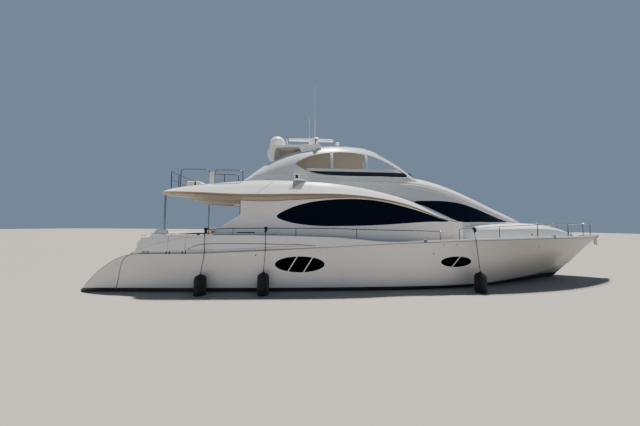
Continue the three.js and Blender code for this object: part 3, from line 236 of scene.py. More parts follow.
def shrunk(points: Sequence[Sequence[float]], distance: float) -> list[tuple[float, float]]:
    """An outline moved inwards.

    Args:
        points: Closed outline.
        distance: How far each point moves towards the middle, or outwards when negative.

    Returns:
        The smaller outline.
    """
    middle = Vector((sum(p[0] for p in points), sum(p[1] for p in points))) / len(points)
    moved = []
    for point in points:
        arm = Vector(point) - middle
        moved.append(tuple(middle + arm * (arm.length - distance) / arm.length))
    return moved


def ellipse(x: float, z: float, half: float, height: float, count: int = 72) -> list[tuple[float, float]]:
    """Points round an ellipse with its half length and half height."""
    return [(x + half * math.cos(t), z + height * math.sin(t)) for t in turns(count)]


# Meshes


def linked(name: str, data: bpy.types.ID) -> Obj:
    """A new object of a mesh, light or camera, linked to the scene."""
    made = bpy.data.objects.new(name, data)
    bpy.context.scene.collection.objects.link(made)
    return made


def mesh_object(name: str, verts: Iterable[Sequence[float]], faces: Iterable[Sequence[int]]) -> Obj:
    """A mesh object at the origin, with doubles merged and its faces pointing out.

    Args:
        name: Name of the object.
        verts: Points.
        faces: Point numbers of each face.

    Returns:
        The object, linked to the scene.
    """
    mesh = bpy.data.meshes.new(name)
    mesh.from_pydata([tuple(v) for v in verts], [], [tuple(f) for f in faces])
    made = linked(name, mesh)
    tidy(made)
    return made


def tidy(obj: Obj, merge: float = 1e-5) -> None:
    """Merges doubles, drops empty faces and turns all faces outwards.

    Args:
        obj: Object to clean.
        merge: Distance under which points are one.
    """
    work = bmesh.new()
    work.from_mesh(obj.data)
    bmesh.ops.remove_doubles(work, verts=work.verts, dist=merge)
    bmesh.ops.dissolve_degenerate(work, edges=work.edges, dist=merge)
    bmesh.ops.recalc_face_normals(work, faces=work.faces)
    work.to_mesh(obj.data)
    work.free()


def loft(name: str, rings: Sequence[Sequence[Point]], capped: bool = True) -> Obj:
    """A body through rings of points that all have the same count.

    Args:
        name: Name of the object.
        rings: Closed rings.
        capped: Whether the first and last rings are closed by faces.

    Returns:
        The body.
    """
    count = len(rings[0])
    faces: list[Sequence[int]] = []
    for row in range(len(rings) - 1):
        base = row * count
        for k in range(count):
            nxt = (k + 1) % count
            faces.append((base + k, base + nxt, base + nxt + count, base + k + count))
    if capped:
        last = (len(rings) - 1) * count
        faces.append(tuple(reversed(range(count))))
        faces.append(tuple(range(last, last + count)))
    return mesh_object(name, [p for ring in rings for p in ring], faces)


def both_sides(half: Sequence[Point]) -> list[Point]:
    """A ring that is the same on both sides, from a half section that runs from low to high."""
    inner = [p for p in half if p[1] > 1e-9]
    low = [half[0]] if abs(half[0][1]) < 1e-9 else []
    high = [half[-1]] if abs(half[-1][1]) < 1e-9 else []
    return [*low, *inner, *high, *[(x, -y, z) for x, y, z in reversed(inner)]]


def prism(name: str, outline: Sequence[Sequence[float]], low: float, high: float, axis: Axis = Axis.Y) -> Obj:
    """An outline drawn out between two planes.

    Args:
        name: Name of the object.
        outline: Closed outline in the two other axes, in their order.
        low: First plane.
        high: Second plane.
        axis: Axis that it is drawn out along.

    Returns:
        The prism.
    """
    def placed(a: float, b: float, depth: float) -> Point:
        """The outline's point at a depth along the axis."""
        return {Axis.X: (depth, a, b), Axis.Y: (a, depth, b), Axis.Z: (a, b, depth)}[axis]

    return loft(name, [[placed(p[0], p[1], depth) for p in outline] for depth in (low, high)])


def block(name: str, low: Point, high: Point) -> Obj:
    """A square-cornered body between two corners."""
    outline = [(low[0], low[1]), (high[0], low[1]), (high[0], high[1]), (low[0], high[1])]
    return prism(name, outline, low[2], high[2], Axis.Z)


def turned(name: str, profile: Sequence[tuple[float, float]], centre: Point = ORIGIN, axis: Axis = Axis.Z,
           segments: int = 48) -> Obj:
    """A body turned round an axis from a profile of radius and height.

    Args:
        name: Name of the object.
        profile: Radius and height pairs from one end to the other.
        centre: Foot of the axis.
        axis: Direction of the axis.
        segments: Faces round it.

    Returns:
        The turned body.
    """
    rings = []
    for radius, height in profile:
        ring = []
        for angle in turns(segments):
            a, b = max(radius, 1e-4) * math.cos(angle), max(radius, 1e-4) * math.sin(angle)
            offset = {Axis.X: (height, a, b), Axis.Y: (a, height, b), Axis.Z: (a, b, height)}[axis]
            ring.append(tuple(c + o for c, o in zip(centre, offset)))
        rings.append(ring)
    return loft(name, rings)


def bake_modifiers(obj: Obj) -> Obj:
    """Turns the object's modifiers into plain mesh."""
    bpy.context.view_layer.update()
    graph = bpy.context.evaluated_depsgraph_get()
    result = bpy.data.meshes.new_from_object(obj.evaluated_get(graph))
    obj.modifiers.clear()
    old, obj.data = obj.data, result
    bpy.data.meshes.remove(old)
    return obj


def is_closed(obj: Obj) -> bool:
    """Whether every edge of the mesh has exactly two faces."""
    work = bmesh.new()
    work.from_mesh(obj.data)
    closed = all(edge.is_manifold for edge in work.edges)
    work.free()
    return closed


def discard(*objs: Obj) -> None:
    """Removes objects that only helped to shape others."""
    for obj in objs:
        mesh = obj.data
        bpy.data.objects.remove(obj)
        bpy.data.meshes.remove(mesh)


def carve(obj: Obj, *tools: Obj, how: Cut = Cut.AWAY, keep: bool = False) -> Obj:
    """Cuts the object by others, joins it with them, or keeps what they share.

    Args:
        obj: Object that changes.
        tools: Closed objects that shape it.
        how: What the tools do.
        keep: Whether the tools stay in the scene.

    Returns:
        The same object.
    """
    for tool in tools:
        before = obj.data.copy()
        modifier = obj.modifiers.new("carve", "BOOLEAN")
        modifier.operation = how.value
        modifier.object = tool
        modifier.solver = "MANIFOLD" if is_closed(obj) and is_closed(tool) else "EXACT"
        bake_modifiers(obj)
        if not obj.data.polygons:
            log.warning("%s was lost by a cut with %s", obj.name, tool.name)
            obj.data = before
    if not keep:
        discard(*tools)
    return obj


def joined(name: str, *objs: Obj) -> Obj:
    """One object that holds the meshes of several, which are removed.

    Args:
        name: Name of the new object.
        objs: Objects to gather; their materials are kept.

    Returns:
        The gathered object.
    """
    work = bmesh.new()
    materials: list[bpy.types.Material] = []
    for obj in objs:
        start = len(work.faces)
        work.from_mesh(obj.data)
        work.faces.ensure_lookup_table()
        slots = [slot for slot in obj.data.materials if slot]
        for slot in slots:
            if slot not in materials:
                materials.append(slot)
        for face in work.faces[start:]:
            if slots:
                face.material_index = materials.index(slots[min(face.material_index, len(slots) - 1)])
    mesh = bpy.data.meshes.new(name)
    work.to_mesh(mesh)
    work.free()
    for material in materials:
        mesh.materials.append(material)
    discard(*objs)
    return linked(name, mesh)


def mirrored(obj: Obj, name: str) -> Obj:
    """The same object on the other side of the yacht.

    Args:
        obj: Object to mirror.
        name: Name of the mirror image.

    Returns:
        The mirror image.
    """
    work = bmesh.new()
    work.from_mesh(obj.data)
    bmesh.ops.transform(work, matrix=Matrix.Diagonal((1, -1, 1, 1)), verts=work.verts)
    bmesh.ops.reverse_faces(work, faces=work.faces)
    mesh = bpy.data.meshes.new(name)
    work.to_mesh(mesh)
    work.free()
    for material in obj.data.materials:
        mesh.materials.append(material)
    return linked(name, mesh)


def eased(obj: Obj, width: float, segments: int = 3, angle: float = 35.0) -> Obj:
    """Rounds the sharp edges.

    Args:
        obj: Object to round.
        width: Radius of the rounding.
        segments: Faces across it.
        angle: Smallest turn in degrees that counts as an edge.

    Returns:
        The same object.
    """
    modifier = obj.modifiers.new("ease", "BEVEL")
    modifier.width = width
    modifier.segments = segments
    modifier.limit_method = "ANGLE"
    modifier.angle_limit = math.radians(angle)
    modifier.use_clamp_overlap = True
    return bake_modifiers(obj)


def rounded_path(points: Sequence[Point], radius: float, steps: int = 5) -> list[Point]:
    """A path of straight stretches with round corners.

    Args:
        points: Corners of the path.
        radius: Distance from each corner at which the bend starts.
        steps: Points in each bend.

    Returns:
        The points of the rounded path.
    """
    path = [tuple(points[0])]
    for a, b, c in zip(points, points[1:], points[2:]):
        corner = Vector(b)
        reach = [min(radius, (Vector(p) - corner).length * 0.48) for p in (a, c)]
        start = corner + (Vector(a) - corner).normalized() * reach[0]
        end = corner + (Vector(c) - corner).normalized() * reach[1]
        for k in range(steps + 1):
            t = k / steps
            path.append(tuple(start * (1 - t) ** 2 + corner * 2 * t * (1 - t) + end * t**2))
    path.append(tuple(points[-1]))
    return path


# Rules that repeat a shape, or draw it along a path


def node_of(tree: bpy.types.NodeTree, kind: str = "ShaderNodeBsdfPrincipled") -> bpy.types.Node:
    """The tree's one node of a kind, its shader unless another is named."""
    return next(n for n in tree.nodes if n.bl_idname == kind)


def ruled(obj: Obj, rule: bpy.types.NodeTree, **inputs: object) -> Obj:
    """Runs a rule on an object and keeps what it makes as plain mesh.

    Args:
        obj: Object that the rule starts from.
        rule: Rule to run.
        inputs: Value of each named input.

    Returns:
        The same object.
    """
    modifier = obj.modifiers.new(rule.name, "NODES")
    modifier.node_group = rule
    for item in rule.interface.items_tree:
        if item.item_type == "SOCKET" and item.in_out == "INPUT" and item.name in inputs:
            modifier[item.identifier] = inputs[item.name]
    return bake_modifiers(obj)


def built_once(build: Callable[[], bpy.types.NodeTree]) -> Callable[[], bpy.types.NodeTree]:
    """Lets a rule or effect be built at its first use only, under its function's name."""
    return lambda: bpy.data.node_groups.get(build.__name__) or build()


def new_tree(name: str, sockets: Sequence[tuple[str, str]]) -> bpy.types.NodeTree:
    """An empty geometry rule with its inputs and one geometry output.

    Args:
        name: Name of the rule.
        sockets: Name and type of each input.

    Returns:
        The tree.
    """
    tree = bpy.data.node_groups.new(name, "GeometryNodeTree")
    for label, kind in sockets:
        tree.interface.new_socket(label, in_out="INPUT", socket_type=kind)
    tree.interface.new_socket("Shape", in_out="OUTPUT", socket_type="NodeSocketGeometry")
    tree.nodes.new("NodeGroupInput")
    tree.nodes.new("NodeGroupOutput")
    return tree


def wire(tree: bpy.types.NodeTree, kind: str, **values: object) -> bpy.types.Node:
    """Adds a node and fills its inputs.

    Args:
        tree: Tree to add to.
        kind: Type of the node.
        values: A socket's name with underscores for spaces, or i and its number, against a value or an output
            socket to link. Names that start with set_ are settings of the node.

    Returns:
        The node.
    """
    made = tree.nodes.new(kind)
    for key, value in values.items():
        if key.startswith("set_"):
            setattr(made, key[4:], value)
    for key, value in values.items():
        if key.startswith("set_"):
            continue
        numbered = key[0] == "i" and key[1:].isdigit()
        socket = made.inputs[int(key[1:])] if numbered else made.inputs[key.replace("_", " ")]
        if isinstance(value, bpy.types.NodeSocket):
            tree.links.new(value, socket)
        else:
            socket.default_value = value
    return made


def finish_tree(tree: bpy.types.NodeTree, shape: bpy.types.NodeSocket) -> None:
    """Ends a rule with real geometry in the chosen finish."""
    source, target = node_of(tree, "NodeGroupInput"), node_of(tree, "NodeGroupOutput")
    real = wire(tree, "GeometryNodeRealizeInstances", Geometry=shape)
    painted = wire(tree, "GeometryNodeSetMaterial", Geometry=real.outputs[0], Material=source.outputs["Finish"])
    tree.links.new(painted.outputs[0], target.inputs[0])


@built_once
def tube_along_path() -> bpy.types.NodeTree:
    """The rule that draws a round tube along each path of edges."""
    tree = new_tree("tube_along_path", [
        ("Path", "NodeSocketGeometry"), ("Radius", "NodeSocketFloat"), ("Sides", "NodeSocketInt"),
        ("Finish", "NodeSocketMaterial")])
    source = tree.nodes[0]
    line = wire(tree, "GeometryNodeMeshToCurve", Mesh=source.outputs["Path"])
    ring = wire(tree, "GeometryNodeCurvePrimitiveCircle", Radius=source.outputs["Radius"],
                Resolution=source.outputs["Sides"])
    tube = wire(tree, "GeometryNodeCurveToMesh", Curve=line.outputs[0], Profile_Curve=ring.outputs[0],
                Fill_Caps=True)
    finish_tree(tree, tube.outputs[0])
    return tree


@built_once
def repeat_on_points() -> bpy.types.NodeTree:
    """The rule that sets a small shape on each point, facing the point's own way."""
    tree = new_tree("repeat_on_points", [
        ("Places", "NodeSocketGeometry"), ("Pattern", "NodeSocketObject"), ("Size", "NodeSocketFloat"),
        ("Finish", "NodeSocketMaterial")])
    source = tree.nodes[0]
    pattern = wire(tree, "GeometryNodeObjectInfo", Object=source.outputs["Pattern"])
    facing = wire(tree, "GeometryNodeInputNamedAttribute", set_data_type="FLOAT_VECTOR", Name="facing")
    aimed = wire(tree, "FunctionNodeAlignRotationToVector", set_axis="Z", Vector=facing.outputs[0])
    placed = wire(tree, "GeometryNodeInstanceOnPoints", Points=source.outputs["Places"],
                  Instance=pattern.outputs["Geometry"], Rotation=aimed.outputs[0], Scale=source.outputs["Size"])
    finish_tree(tree, placed.outputs[0])
    return tree


def tubes(name: str, paths: Sequence[Sequence[Point]], radius: float, finish: "Finish", sides: int = 14) -> Obj:
    """Round tubes along paths, as one piece.

    Args:
        name: Name of the piece.
        paths: Points of each path.
        radius: Radius of the tubes.
        finish: Finish of the piece.
        sides: Faces round a tube.

    Returns:
        The piece, as plain mesh.
    """
    verts: list[Point] = []
    edges: list[tuple[int, int]] = []
    for path in paths:
        start = len(verts)
        verts.extend(tuple(p) for p in path)
        edges.extend((start + i, start + i + 1) for i in range(len(path) - 1))
    mesh = bpy.data.meshes.new(name)
    mesh.from_pydata(verts, edges, [])
    made = linked(name, mesh)
    ruled(made, tube_along_path(), Radius=radius, Sides=sides, Finish=finish.material())
    tidy(made)
    return made


def repeated(name: str, pattern: Obj, places: Sequence[tuple[Point, Point]], finish: "Finish") -> Obj:
    """Copies of a small shape on places, as one piece.

    Args:
        name: Name of the piece.
        pattern: Shape with its foot at the origin, standing along +Z; it is removed.
        places: Point and outward direction of each copy.
        finish: Finish of the piece.

    Returns:
        The piece, as plain mesh.
    """
    mesh = bpy.data.meshes.new(name)
    mesh.from_pydata([tuple(p) for p, _ in places], [], [])
    facing = mesh.attributes.new("facing", "FLOAT_VECTOR", "POINT")
    facing.data.foreach_set("vector", [c for _, way in places for c in way])
    made = linked(name, mesh)
    ruled(made, repeat_on_points(), Pattern=pattern, Size=1.0, Finish=finish.material())
    discard(pattern)
    return made


# Finishes


def value_of(tree: bpy.types.NodeTree, how: str, a: object, b: object = 0.0, c: object = 0.0,
             clamp: bool = False) -> bpy.types.NodeSocket:
    """The result of one sum on values or sockets.

    Args:
        tree: Tree to add to.
        how: Name of the sum, such as MULTIPLY.
        a: First term.
        b: Second term.
        c: Third term, where the sum has one.
        clamp: Whether the result stays between 0 and 1.

    Returns:
        The result's socket.
    """
    return wire(tree, "ShaderNodeMath", set_operation=how, set_use_clamp=clamp, i0=a, i1=b, i2=c).outputs[0]


def times(tree: bpy.types.NodeTree, a: object, b: object) -> bpy.types.NodeSocket:
    """The product of two values or sockets."""
    return value_of(tree, "MULTIPLY", a, b)


def blended(tree: bpy.types.NodeTree, share: object, a: object, b: object, how: str = "MIX") -> bpy.types.NodeSocket:
    """A colour between two others.

    Args:
        tree: Tree to add to.
        share: Share of the second.
        a: First colour, or its socket.
        b: Second colour, or its socket.
        how: Way they mix.

    Returns:
        The colour's socket.
    """
    full = [(*v, 1.0) if isinstance(v, tuple) and len(v) == 3 else v for v in (a, b)]
    return wire(tree, "ShaderNodeMix", set_data_type="RGBA", set_blend_type=how, i0=share, i6=full[0],
                i7=full[1]).outputs[2]


def eased_step(tree: bpy.types.NodeTree, value: object, low: float, high: float) -> bpy.types.NodeSocket:
    """A value turned into 0 below low, 1 above high and a smooth change between."""
    return wire(tree, "ShaderNodeMapRange", set_interpolation_type="SMOOTHSTEP", Value=value, From_Min=low,
                From_Max=high).outputs[0]


def place_of(tree: bpy.types.NodeTree, scale: Point = (1, 1, 1), turn: Point = (0, 0, 0)) -> bpy.types.NodeSocket:
    """The surface point in the yacht's own frame, scaled and turned for a pattern."""
    coord = tree.nodes.new("ShaderNodeTexCoord")
    return wire(tree, "ShaderNodeMapping", Vector=coord.outputs["Object"], Scale=scale, Rotation=turn).outputs[0]


def noise(tree: bpy.types.NodeTree, scale: object, detail: float, stretch: Point = (1, 1, 1),
          roughness: float = 0.5) -> bpy.types.NodeSocket:
    """Cloudy noise on the surface.

    Args:
        tree: Tree to add to.
        scale: Fineness, or its socket.
        detail: Number of finer layers.
        stretch: Scale along each axis.
        roughness: Strength of the finer layers.

    Returns:
        The noise's socket, from 0 to 1.
    """
    return wire(tree, "ShaderNodeTexNoise", Vector=place_of(tree, stretch), Scale=scale, Detail=detail,
                Roughness=roughness).outputs["Fac"]


def effect(name: str, inputs: Sequence[tuple[str, float]], outputs: Sequence[str]) -> bpy.types.NodeTree:
    """An empty shader effect with its named values.

    Args:
        name: Name of the effect.
        inputs: Name and usual value of each input.
        outputs: Names of its outputs.

    Returns:
        The effect's tree.
    """
    tree = bpy.data.node_groups.new(name, "ShaderNodeTree")
    for label, usual in inputs:
        tree.interface.new_socket(label, in_out="INPUT", socket_type="NodeSocketFloat").default_value = usual
    for label in outputs:
        tree.interface.new_socket(label, in_out="OUTPUT", socket_type="NodeSocketFloat")
    tree.nodes.new("NodeGroupInput")
    tree.nodes.new("NodeGroupOutput")
    return tree


def feed(tree: bpy.types.NodeTree, node: bpy.types.Node, **inputs: bpy.types.NodeSocket) -> None:
    """Links sockets to a node's inputs, each named with underscores for spaces."""
    for name, socket in inputs.items():
        tree.links.new(socket, node.inputs[name.replace("_", " ")])


@built_once
def weathering() -> bpy.types.NodeTree:
    """Rain streaks and cloudy wear on painted and moulded surfaces."""
    tree = effect("weathering", [("Streaks", 0.3), ("Cloud", 0.3)], ["Mask", "Gloss"])
    source, target = tree.nodes
    thin, wide = noise(tree, 2.4, 5.0, (3.2, 3.2, 0.28)), noise(tree, 0.55, 4.0)
    streak = times(tree, eased_step(tree, thin, 0.52, 0.78), eased_step(tree, wide, 0.40, 0.66))
    cloud = eased_step(tree, wide, 0.3, 0.75)
    mask = value_of(tree, "ADD", times(tree, streak, source.outputs["Streaks"]),
                    times(tree, cloud, source.outputs["Cloud"]), clamp=True)
    feed(tree, target, Mask=mask, Gloss=eased_step(tree, noise(tree, 14.0, 3.0), 0.35, 0.75))
    return tree


@built_once
def fine_relief() -> bpy.types.NodeTree:
    """Slight unevenness of a hand-laid surface with a fine grain on it."""
    tree = effect("fine_relief", [("Grain", 60.0), ("Waviness", 0.2)], ["Height"])
    source, target = tree.nodes
    grain = times(tree, noise(tree, source.outputs["Grain"], 2.0), 0.1)
    wave = times(tree, noise(tree, 1.1, 1.0), source.outputs["Waviness"])
    feed(tree, target, Height=value_of(tree, "ADD", grain, wave))
    return tree


@built_once
def edge_wear() -> bpy.types.NodeTree:
    """Wear where edges stand proud, broken up by noise."""
    tree = effect("edge_wear", [("Amount", 0.5)], ["Mask"])
    source, target = tree.nodes
    shape = tree.nodes.new("ShaderNodeNewGeometry")
    edge = eased_step(tree, shape.outputs["Pointiness"], 0.52, 0.6)
    worn = times(tree, edge, eased_step(tree, noise(tree, 22.0, 5.0), 0.4, 0.65))
    feed(tree, target, Mask=value_of(tree, "MULTIPLY", worn, source.outputs["Amount"], clamp=True))
    return tree


@built_once
def facing() -> bpy.types.NodeTree:
    """How far a face looks to the side, for the painted shade on side faces under bright tops."""
    tree = effect("facing", [("Level", 0.5)], ["Side"])
    source, target = tree.nodes
    shape = tree.nodes.new("ShaderNodeNewGeometry")
    up = wire(tree, "ShaderNodeSeparateXYZ", Vector=shape.outputs["Normal"]).outputs["Z"]
    over = value_of(tree, "SUBTRACT", up, source.outputs["Level"])
    feed(tree, target, Side=eased_step(tree, over, 0.10, -0.10))
    return tree


@built_once
def weave() -> bpy.types.NodeTree:
    """Crossing threads of a cloth."""
    tree = effect("weave", [("Threads", 260.0)], ["Height", "Shade"])
    source, target = tree.nodes
    along, across, upright = (
        wire(tree, "ShaderNodeTexWave", set_bands_direction=way, Vector=place_of(tree),
             Scale=source.outputs["Threads"], Distortion=0.4).outputs["Fac"] for way in ("X", "Y", "Z"))
    height = value_of(tree, "ADD", times(tree, along, upright), times(tree, across, 0.5))
    feed(tree, target, Height=height, Shade=eased_step(tree, noise(tree, 5.0, 4.0), 0.3, 0.8))
    return tree


def placed_effect(tree: bpy.types.NodeTree, group: bpy.types.NodeTree, **values: float) -> bpy.types.Node:
    """Puts an effect in a material with its values."""
    made = tree.nodes.new("ShaderNodeGroup")
    made.node_tree = group
    for key, value in values.items():
        made.inputs[key].default_value = value
    return made


@dataclass(frozen=True)
class Finish:
    """A surface finish: its name, the record's slot and the shader's own constants."""

    name: str
    slot: str
    colour: Colour = (0.8, 0.8, 0.8)
    roughness: float = 0.3
    metallic: float = 0.0
    coat: float = 0.0
    opacity: float = 1.0
    relief: float = 0.0

    def material(self) -> bpy.types.Material:
        """The Blender material, built at its first use."""
        if self.name in bpy.data.materials:
            return bpy.data.materials[self.name]
        made = bpy.data.materials.new(self.name)
        made.use_nodes = True
        shader = node_of(made.node_tree)
        shader.inputs["Base Color"].default_value = (*self.colour, 1.0)
        shader.inputs["Roughness"].default_value = self.roughness
        shader.inputs["Metallic"].default_value = self.metallic
        shader.inputs["Coat Weight"].default_value = self.coat
        shader.inputs["Alpha"].default_value = self.opacity
        self.dress(made.node_tree, shader)
        return made

    def dress(self, tree: bpy.types.NodeTree, shader: bpy.types.Node) -> None:
        """Adds the pattern of the finish; each kind has its own.

        Args:
            tree: The material's tree.
            shader: Its shader.
        """
        raise NotImplementedError

    def rougher(self, tree: bpy.types.NodeTree, share: bpy.types.NodeSocket, amount: float) -> bpy.types.NodeSocket:
        """The finish's roughness, raised by a share of an amount."""
        return value_of(tree, "MULTIPLY_ADD", share, amount, self.roughness)

    def bump(self, tree: bpy.types.NodeTree, height: bpy.types.NodeSocket, depth: float) -> bpy.types.NodeSocket:
        """The normal of a surface with a relief.

        Args:
            tree: The material's tree.
            height: Height's socket.
            depth: Depth of the relief in metres, before the finish's own.

        Returns:
            The normal's socket.
        """
        return wire(tree, "ShaderNodeBump", Height=height, Distance=depth + self.relief, Strength=1.0).outputs[0]


@dataclass(frozen=True)
class Gelcoat(Finish):
    """Glossy moulded surface with faint rain streaks and uneven gloss."""

    streaks: float = 0.35
    cloud: float = 0.25
    stain: Colour = (0.46, 0.42, 0.36)
    waviness: float = 0.12
    # side: painted shade colour for faces that look to the side; turn: how far up a face must look to keep the clean
    # colour.
    side: Colour | None = None
    turn: float = 0.42

    def base(self, tree: bpy.types.NodeTree) -> bpy.types.NodeSocket | Colour:
        """The clean colour before the weather, with painted shade on the faces that look to the side where the finish
        has a side colour.
        """
        if self.side is None:
            return self.colour
        return blended(tree, placed_effect(tree, facing(), Level=self.turn).outputs["Side"], self.colour, self.side)

    def dress(self, tree: bpy.types.NodeTree, shader: bpy.types.Node) -> None:
        """Streaks and clouds on the colour, specks in the gloss, slight waviness."""
        weather = placed_effect(tree, weathering(), Streaks=self.streaks, Cloud=self.cloud)
        share = times(tree, weather.outputs["Mask"], 0.34)
        relief = placed_effect(tree, fine_relief(), Grain=90.0, Waviness=self.waviness)
        feed(tree, shader, Base_Color=blended(tree, share, self.base(tree), self.stain),
             Roughness=self.rougher(tree, weather.outputs["Gloss"], 0.10),
             Normal=self.bump(tree, relief.outputs["Height"], 0.0016))


@dataclass(frozen=True)
class HullPaint(Gelcoat):
    """Gelcoat with a black boot stripe at the water and dark antifouling under it."""

    stripe_top: float = 0.155
    stripe_rise: float = 0.11
    rise_run: tuple[float, float] = (3.5, 9.0)
    # flare and the run after it paint shade on the flared topsides: they darken towards the bow.
    flare: Colour = (0.44, 0.42, 0.39)
    flare_run: tuple[float, float] = (1.0, 6.5)
    stripe: Colour = (0.012, 0.013, 0.016)
    scum: Colour = (0.08, 0.075, 0.05)
    bottom: Colour = (0.018, 0.022, 0.035)
    chalk: Colour = (0.06, 0.07, 0.09)

    def base(self, tree: bpy.types.NodeTree) -> bpy.types.NodeSocket:
        """White above the stripe, darkened forward by painted shade on the flare, black in the stripe and a chalky dark
        bottom below.
        """
        split = wire(tree, "ShaderNodeSeparateXYZ", Vector=place_of(tree))
        along, height = split.outputs["X"], split.outputs["Z"]
        # Painted shade: the topsides turn to the flare colour towards the bow.
        topsides = blended(tree, eased_step(tree, along, *self.flare_run), self.colour, self.flare)
        patches = noise(tree, 2.0, 6.0, (0.8, 0.8, 4.0))
        tide = value_of(tree, "LESS_THAN", height, value_of(tree, "MULTIPLY_ADD", patches, 0.05, 0.07))
        rise = times(tree, eased_step(tree, along, *self.rise_run), self.stripe_rise)
        above = value_of(tree, "SUBTRACT", height, rise)
        painted = blended(tree, eased_step(tree, above, self.stripe_top, self.stripe_top + 0.003),
                          blended(tree, times(tree, tide, 0.35), self.stripe, self.scum), topsides)
        below = blended(tree, times(tree, patches, 0.5), self.bottom, self.chalk)
        return blended(tree, value_of(tree, "GREATER_THAN", height, 0.0), below, painted)


@dataclass(frozen=True)
class NonSkid(Gelcoat):
    """Deck with a moulded grip pattern."""

    def dress(self, tree: bpy.types.NodeTree, shader: bpy.types.Node) -> None:
        """Small round studs in rows, darker between them and where the weather marks them."""
        studs = wire(tree, "ShaderNodeTexVoronoi", Vector=place_of(tree), Scale=55.0, Randomness=0.15)
        top = eased_step(tree, studs.outputs["Distance"], 0.5, 0.2)
        weather = placed_effect(tree, weathering(), Streaks=0.2, Cloud=0.8)
        darker_between_and_weathered = value_of(tree, "MULTIPLY_ADD", value_of(tree, "SUBTRACT", 1.0, top), 0.18,
                        times(tree, weather.outputs["Mask"], 0.2))
        feed(tree, shader, Base_Color=blended(tree, darker_between_and_weathered, self.colour, self.stain),
             Normal=self.bump(tree, top, 0.0012))


@dataclass(frozen=True)
class Teak(Finish):
    """Silvered planks with black caulked seams along the yacht."""

    plank: float = 0.055
    seam: Colour = (0.012, 0.011, 0.010)
    silver: Colour = (0.42, 0.37, 0.30)

    def dress(self, tree: bpy.types.NodeTree, shader: bpy.types.Node) -> None:
        """Grain along each plank, another tone for each plank, and its seam."""
        split = wire(tree, "ShaderNodeSeparateXYZ", Vector=place_of(tree))
        row = value_of(tree, "DIVIDE", split.outputs["Y"], self.plank)
        edge = value_of(tree, "ABSOLUTE", value_of(tree, "SUBTRACT", value_of(tree, "FRACT", row), 0.5))
        seam = eased_step(tree, edge, 0.445, 0.46)
        tone = wire(tree, "ShaderNodeTexWhiteNoise", set_noise_dimensions="1D",
                    W=value_of(tree, "FLOOR", row)).outputs["Value"]
        grain = noise(tree, 2.2, 8.0, (1.6, 46.0, 46.0), 0.65)
        wood = blended(tree, value_of(tree, "MULTIPLY_ADD", tone, 0.45, times(tree, grain, 0.55)), self.colour,
                       self.silver)
        height = value_of(tree, "SUBTRACT", times(tree, grain, 0.4), seam)
        feed(tree, shader, Base_Color=blended(tree, seam, wood, self.seam),
             Roughness=self.rougher(tree, grain, 0.25), Normal=self.bump(tree, height, 0.0012))


@dataclass(frozen=True)
class DarkPane(Finish):
    """Dark glass or tinted acrylic, smooth, with a film of salt on it."""

    film: Colour = (0.20, 0.22, 0.25)
    haze: float = 0.05
    shine: float = 0.5

    def dress(self, tree: bpy.types.NodeTree, shader: bpy.types.Node) -> None:
        """A faint film that breaks the colour and the gloss a little."""
        shader.inputs["Specular IOR Level"].default_value = self.shine
        weather = placed_effect(tree, weathering(), Streaks=0.8, Cloud=0.5)
        share = times(tree, weather.outputs["Mask"], self.haze)
        feed(tree, shader, Base_Color=blended(tree, share, self.colour, self.film),
             Roughness=self.rougher(tree, weather.outputs["Gloss"], 0.05))


@dataclass(frozen=True)
class Metal(Finish):
    """Polished or cast metal with fine scratches and tarnish in patches."""

    tarnish: Colour = (0.35, 0.33, 0.30)
    spots: float = 0.25

    def dress(self, tree: bpy.types.NodeTree, shader: bpy.types.Node) -> None:
        """Tarnish in patches, scratches in the gloss and bright worn edges."""
        share = times(tree, eased_step(tree, noise(tree, 7.0, 6.0), 0.45, 0.8), self.spots)
        worn = placed_effect(tree, edge_wear(), Amount=0.5)
        bright = tuple(min(1.0, c * 1.25) for c in self.colour)
        lines = noise(tree, 5.0, 3.0, (2, 60, 60))
        rough = value_of(tree, "MULTIPLY_ADD", lines, 0.16, self.roughness - 0.05)
        feed(tree, shader,
             Base_Color=blended(tree, worn.outputs["Mask"], blended(tree, share, self.colour, self.tarnish), bright),
             Roughness=value_of(tree, "ADD", rough, times(tree, share, 0.5)), Normal=self.bump(tree, lines, 0.0002))


@dataclass(frozen=True)
class Cloth(Finish):
    """Woven or knitted cover, matt, with a soft sheen."""

    threads: float = 220.0
    shade: Colour = (0.55, 0.54, 0.50)
    sheen: float = 0.25

    def dress(self, tree: bpy.types.NodeTree, shader: bpy.types.Node) -> None:
        """Threads in the relief and worn, dusty patches in the colour."""
        shader.inputs["Sheen Weight"].default_value = self.sheen
        cloth = placed_effect(tree, weave(), Threads=self.threads)
        share = times(tree, cloth.outputs["Shade"], 0.35)
        feed(tree, shader, Base_Color=blended(tree, share, self.colour, self.shade),
             Normal=self.bump(tree, cloth.outputs["Height"], 0.0008))


@dataclass(frozen=True)
class Plastic(Finish):
    """Moulded plastic or rubber with a fine texture and scuffed edges."""

    scuff: Colour = (0.25, 0.25, 0.25)

    def dress(self, tree: bpy.types.NodeTree, shader: bpy.types.Node) -> None:
        """Scuffs on the edges, dust in patches and a moulded grain."""
        worn = placed_effect(tree, edge_wear(), Amount=0.4)
        weather = placed_effect(tree, weathering(), Streaks=0.4, Cloud=0.4)
        share = value_of(tree, "MULTIPLY_ADD", weather.outputs["Mask"], 0.18, worn.outputs["Mask"], clamp=True)
        relief = placed_effect(tree, fine_relief(), Grain=240.0, Waviness=0.02)
        feed(tree, shader, Base_Color=blended(tree, share, self.colour, self.scuff),
             Roughness=self.rougher(tree, weather.outputs["Gloss"], 0.12),
             Normal=self.bump(tree, relief.outputs["Height"], 0.0006))


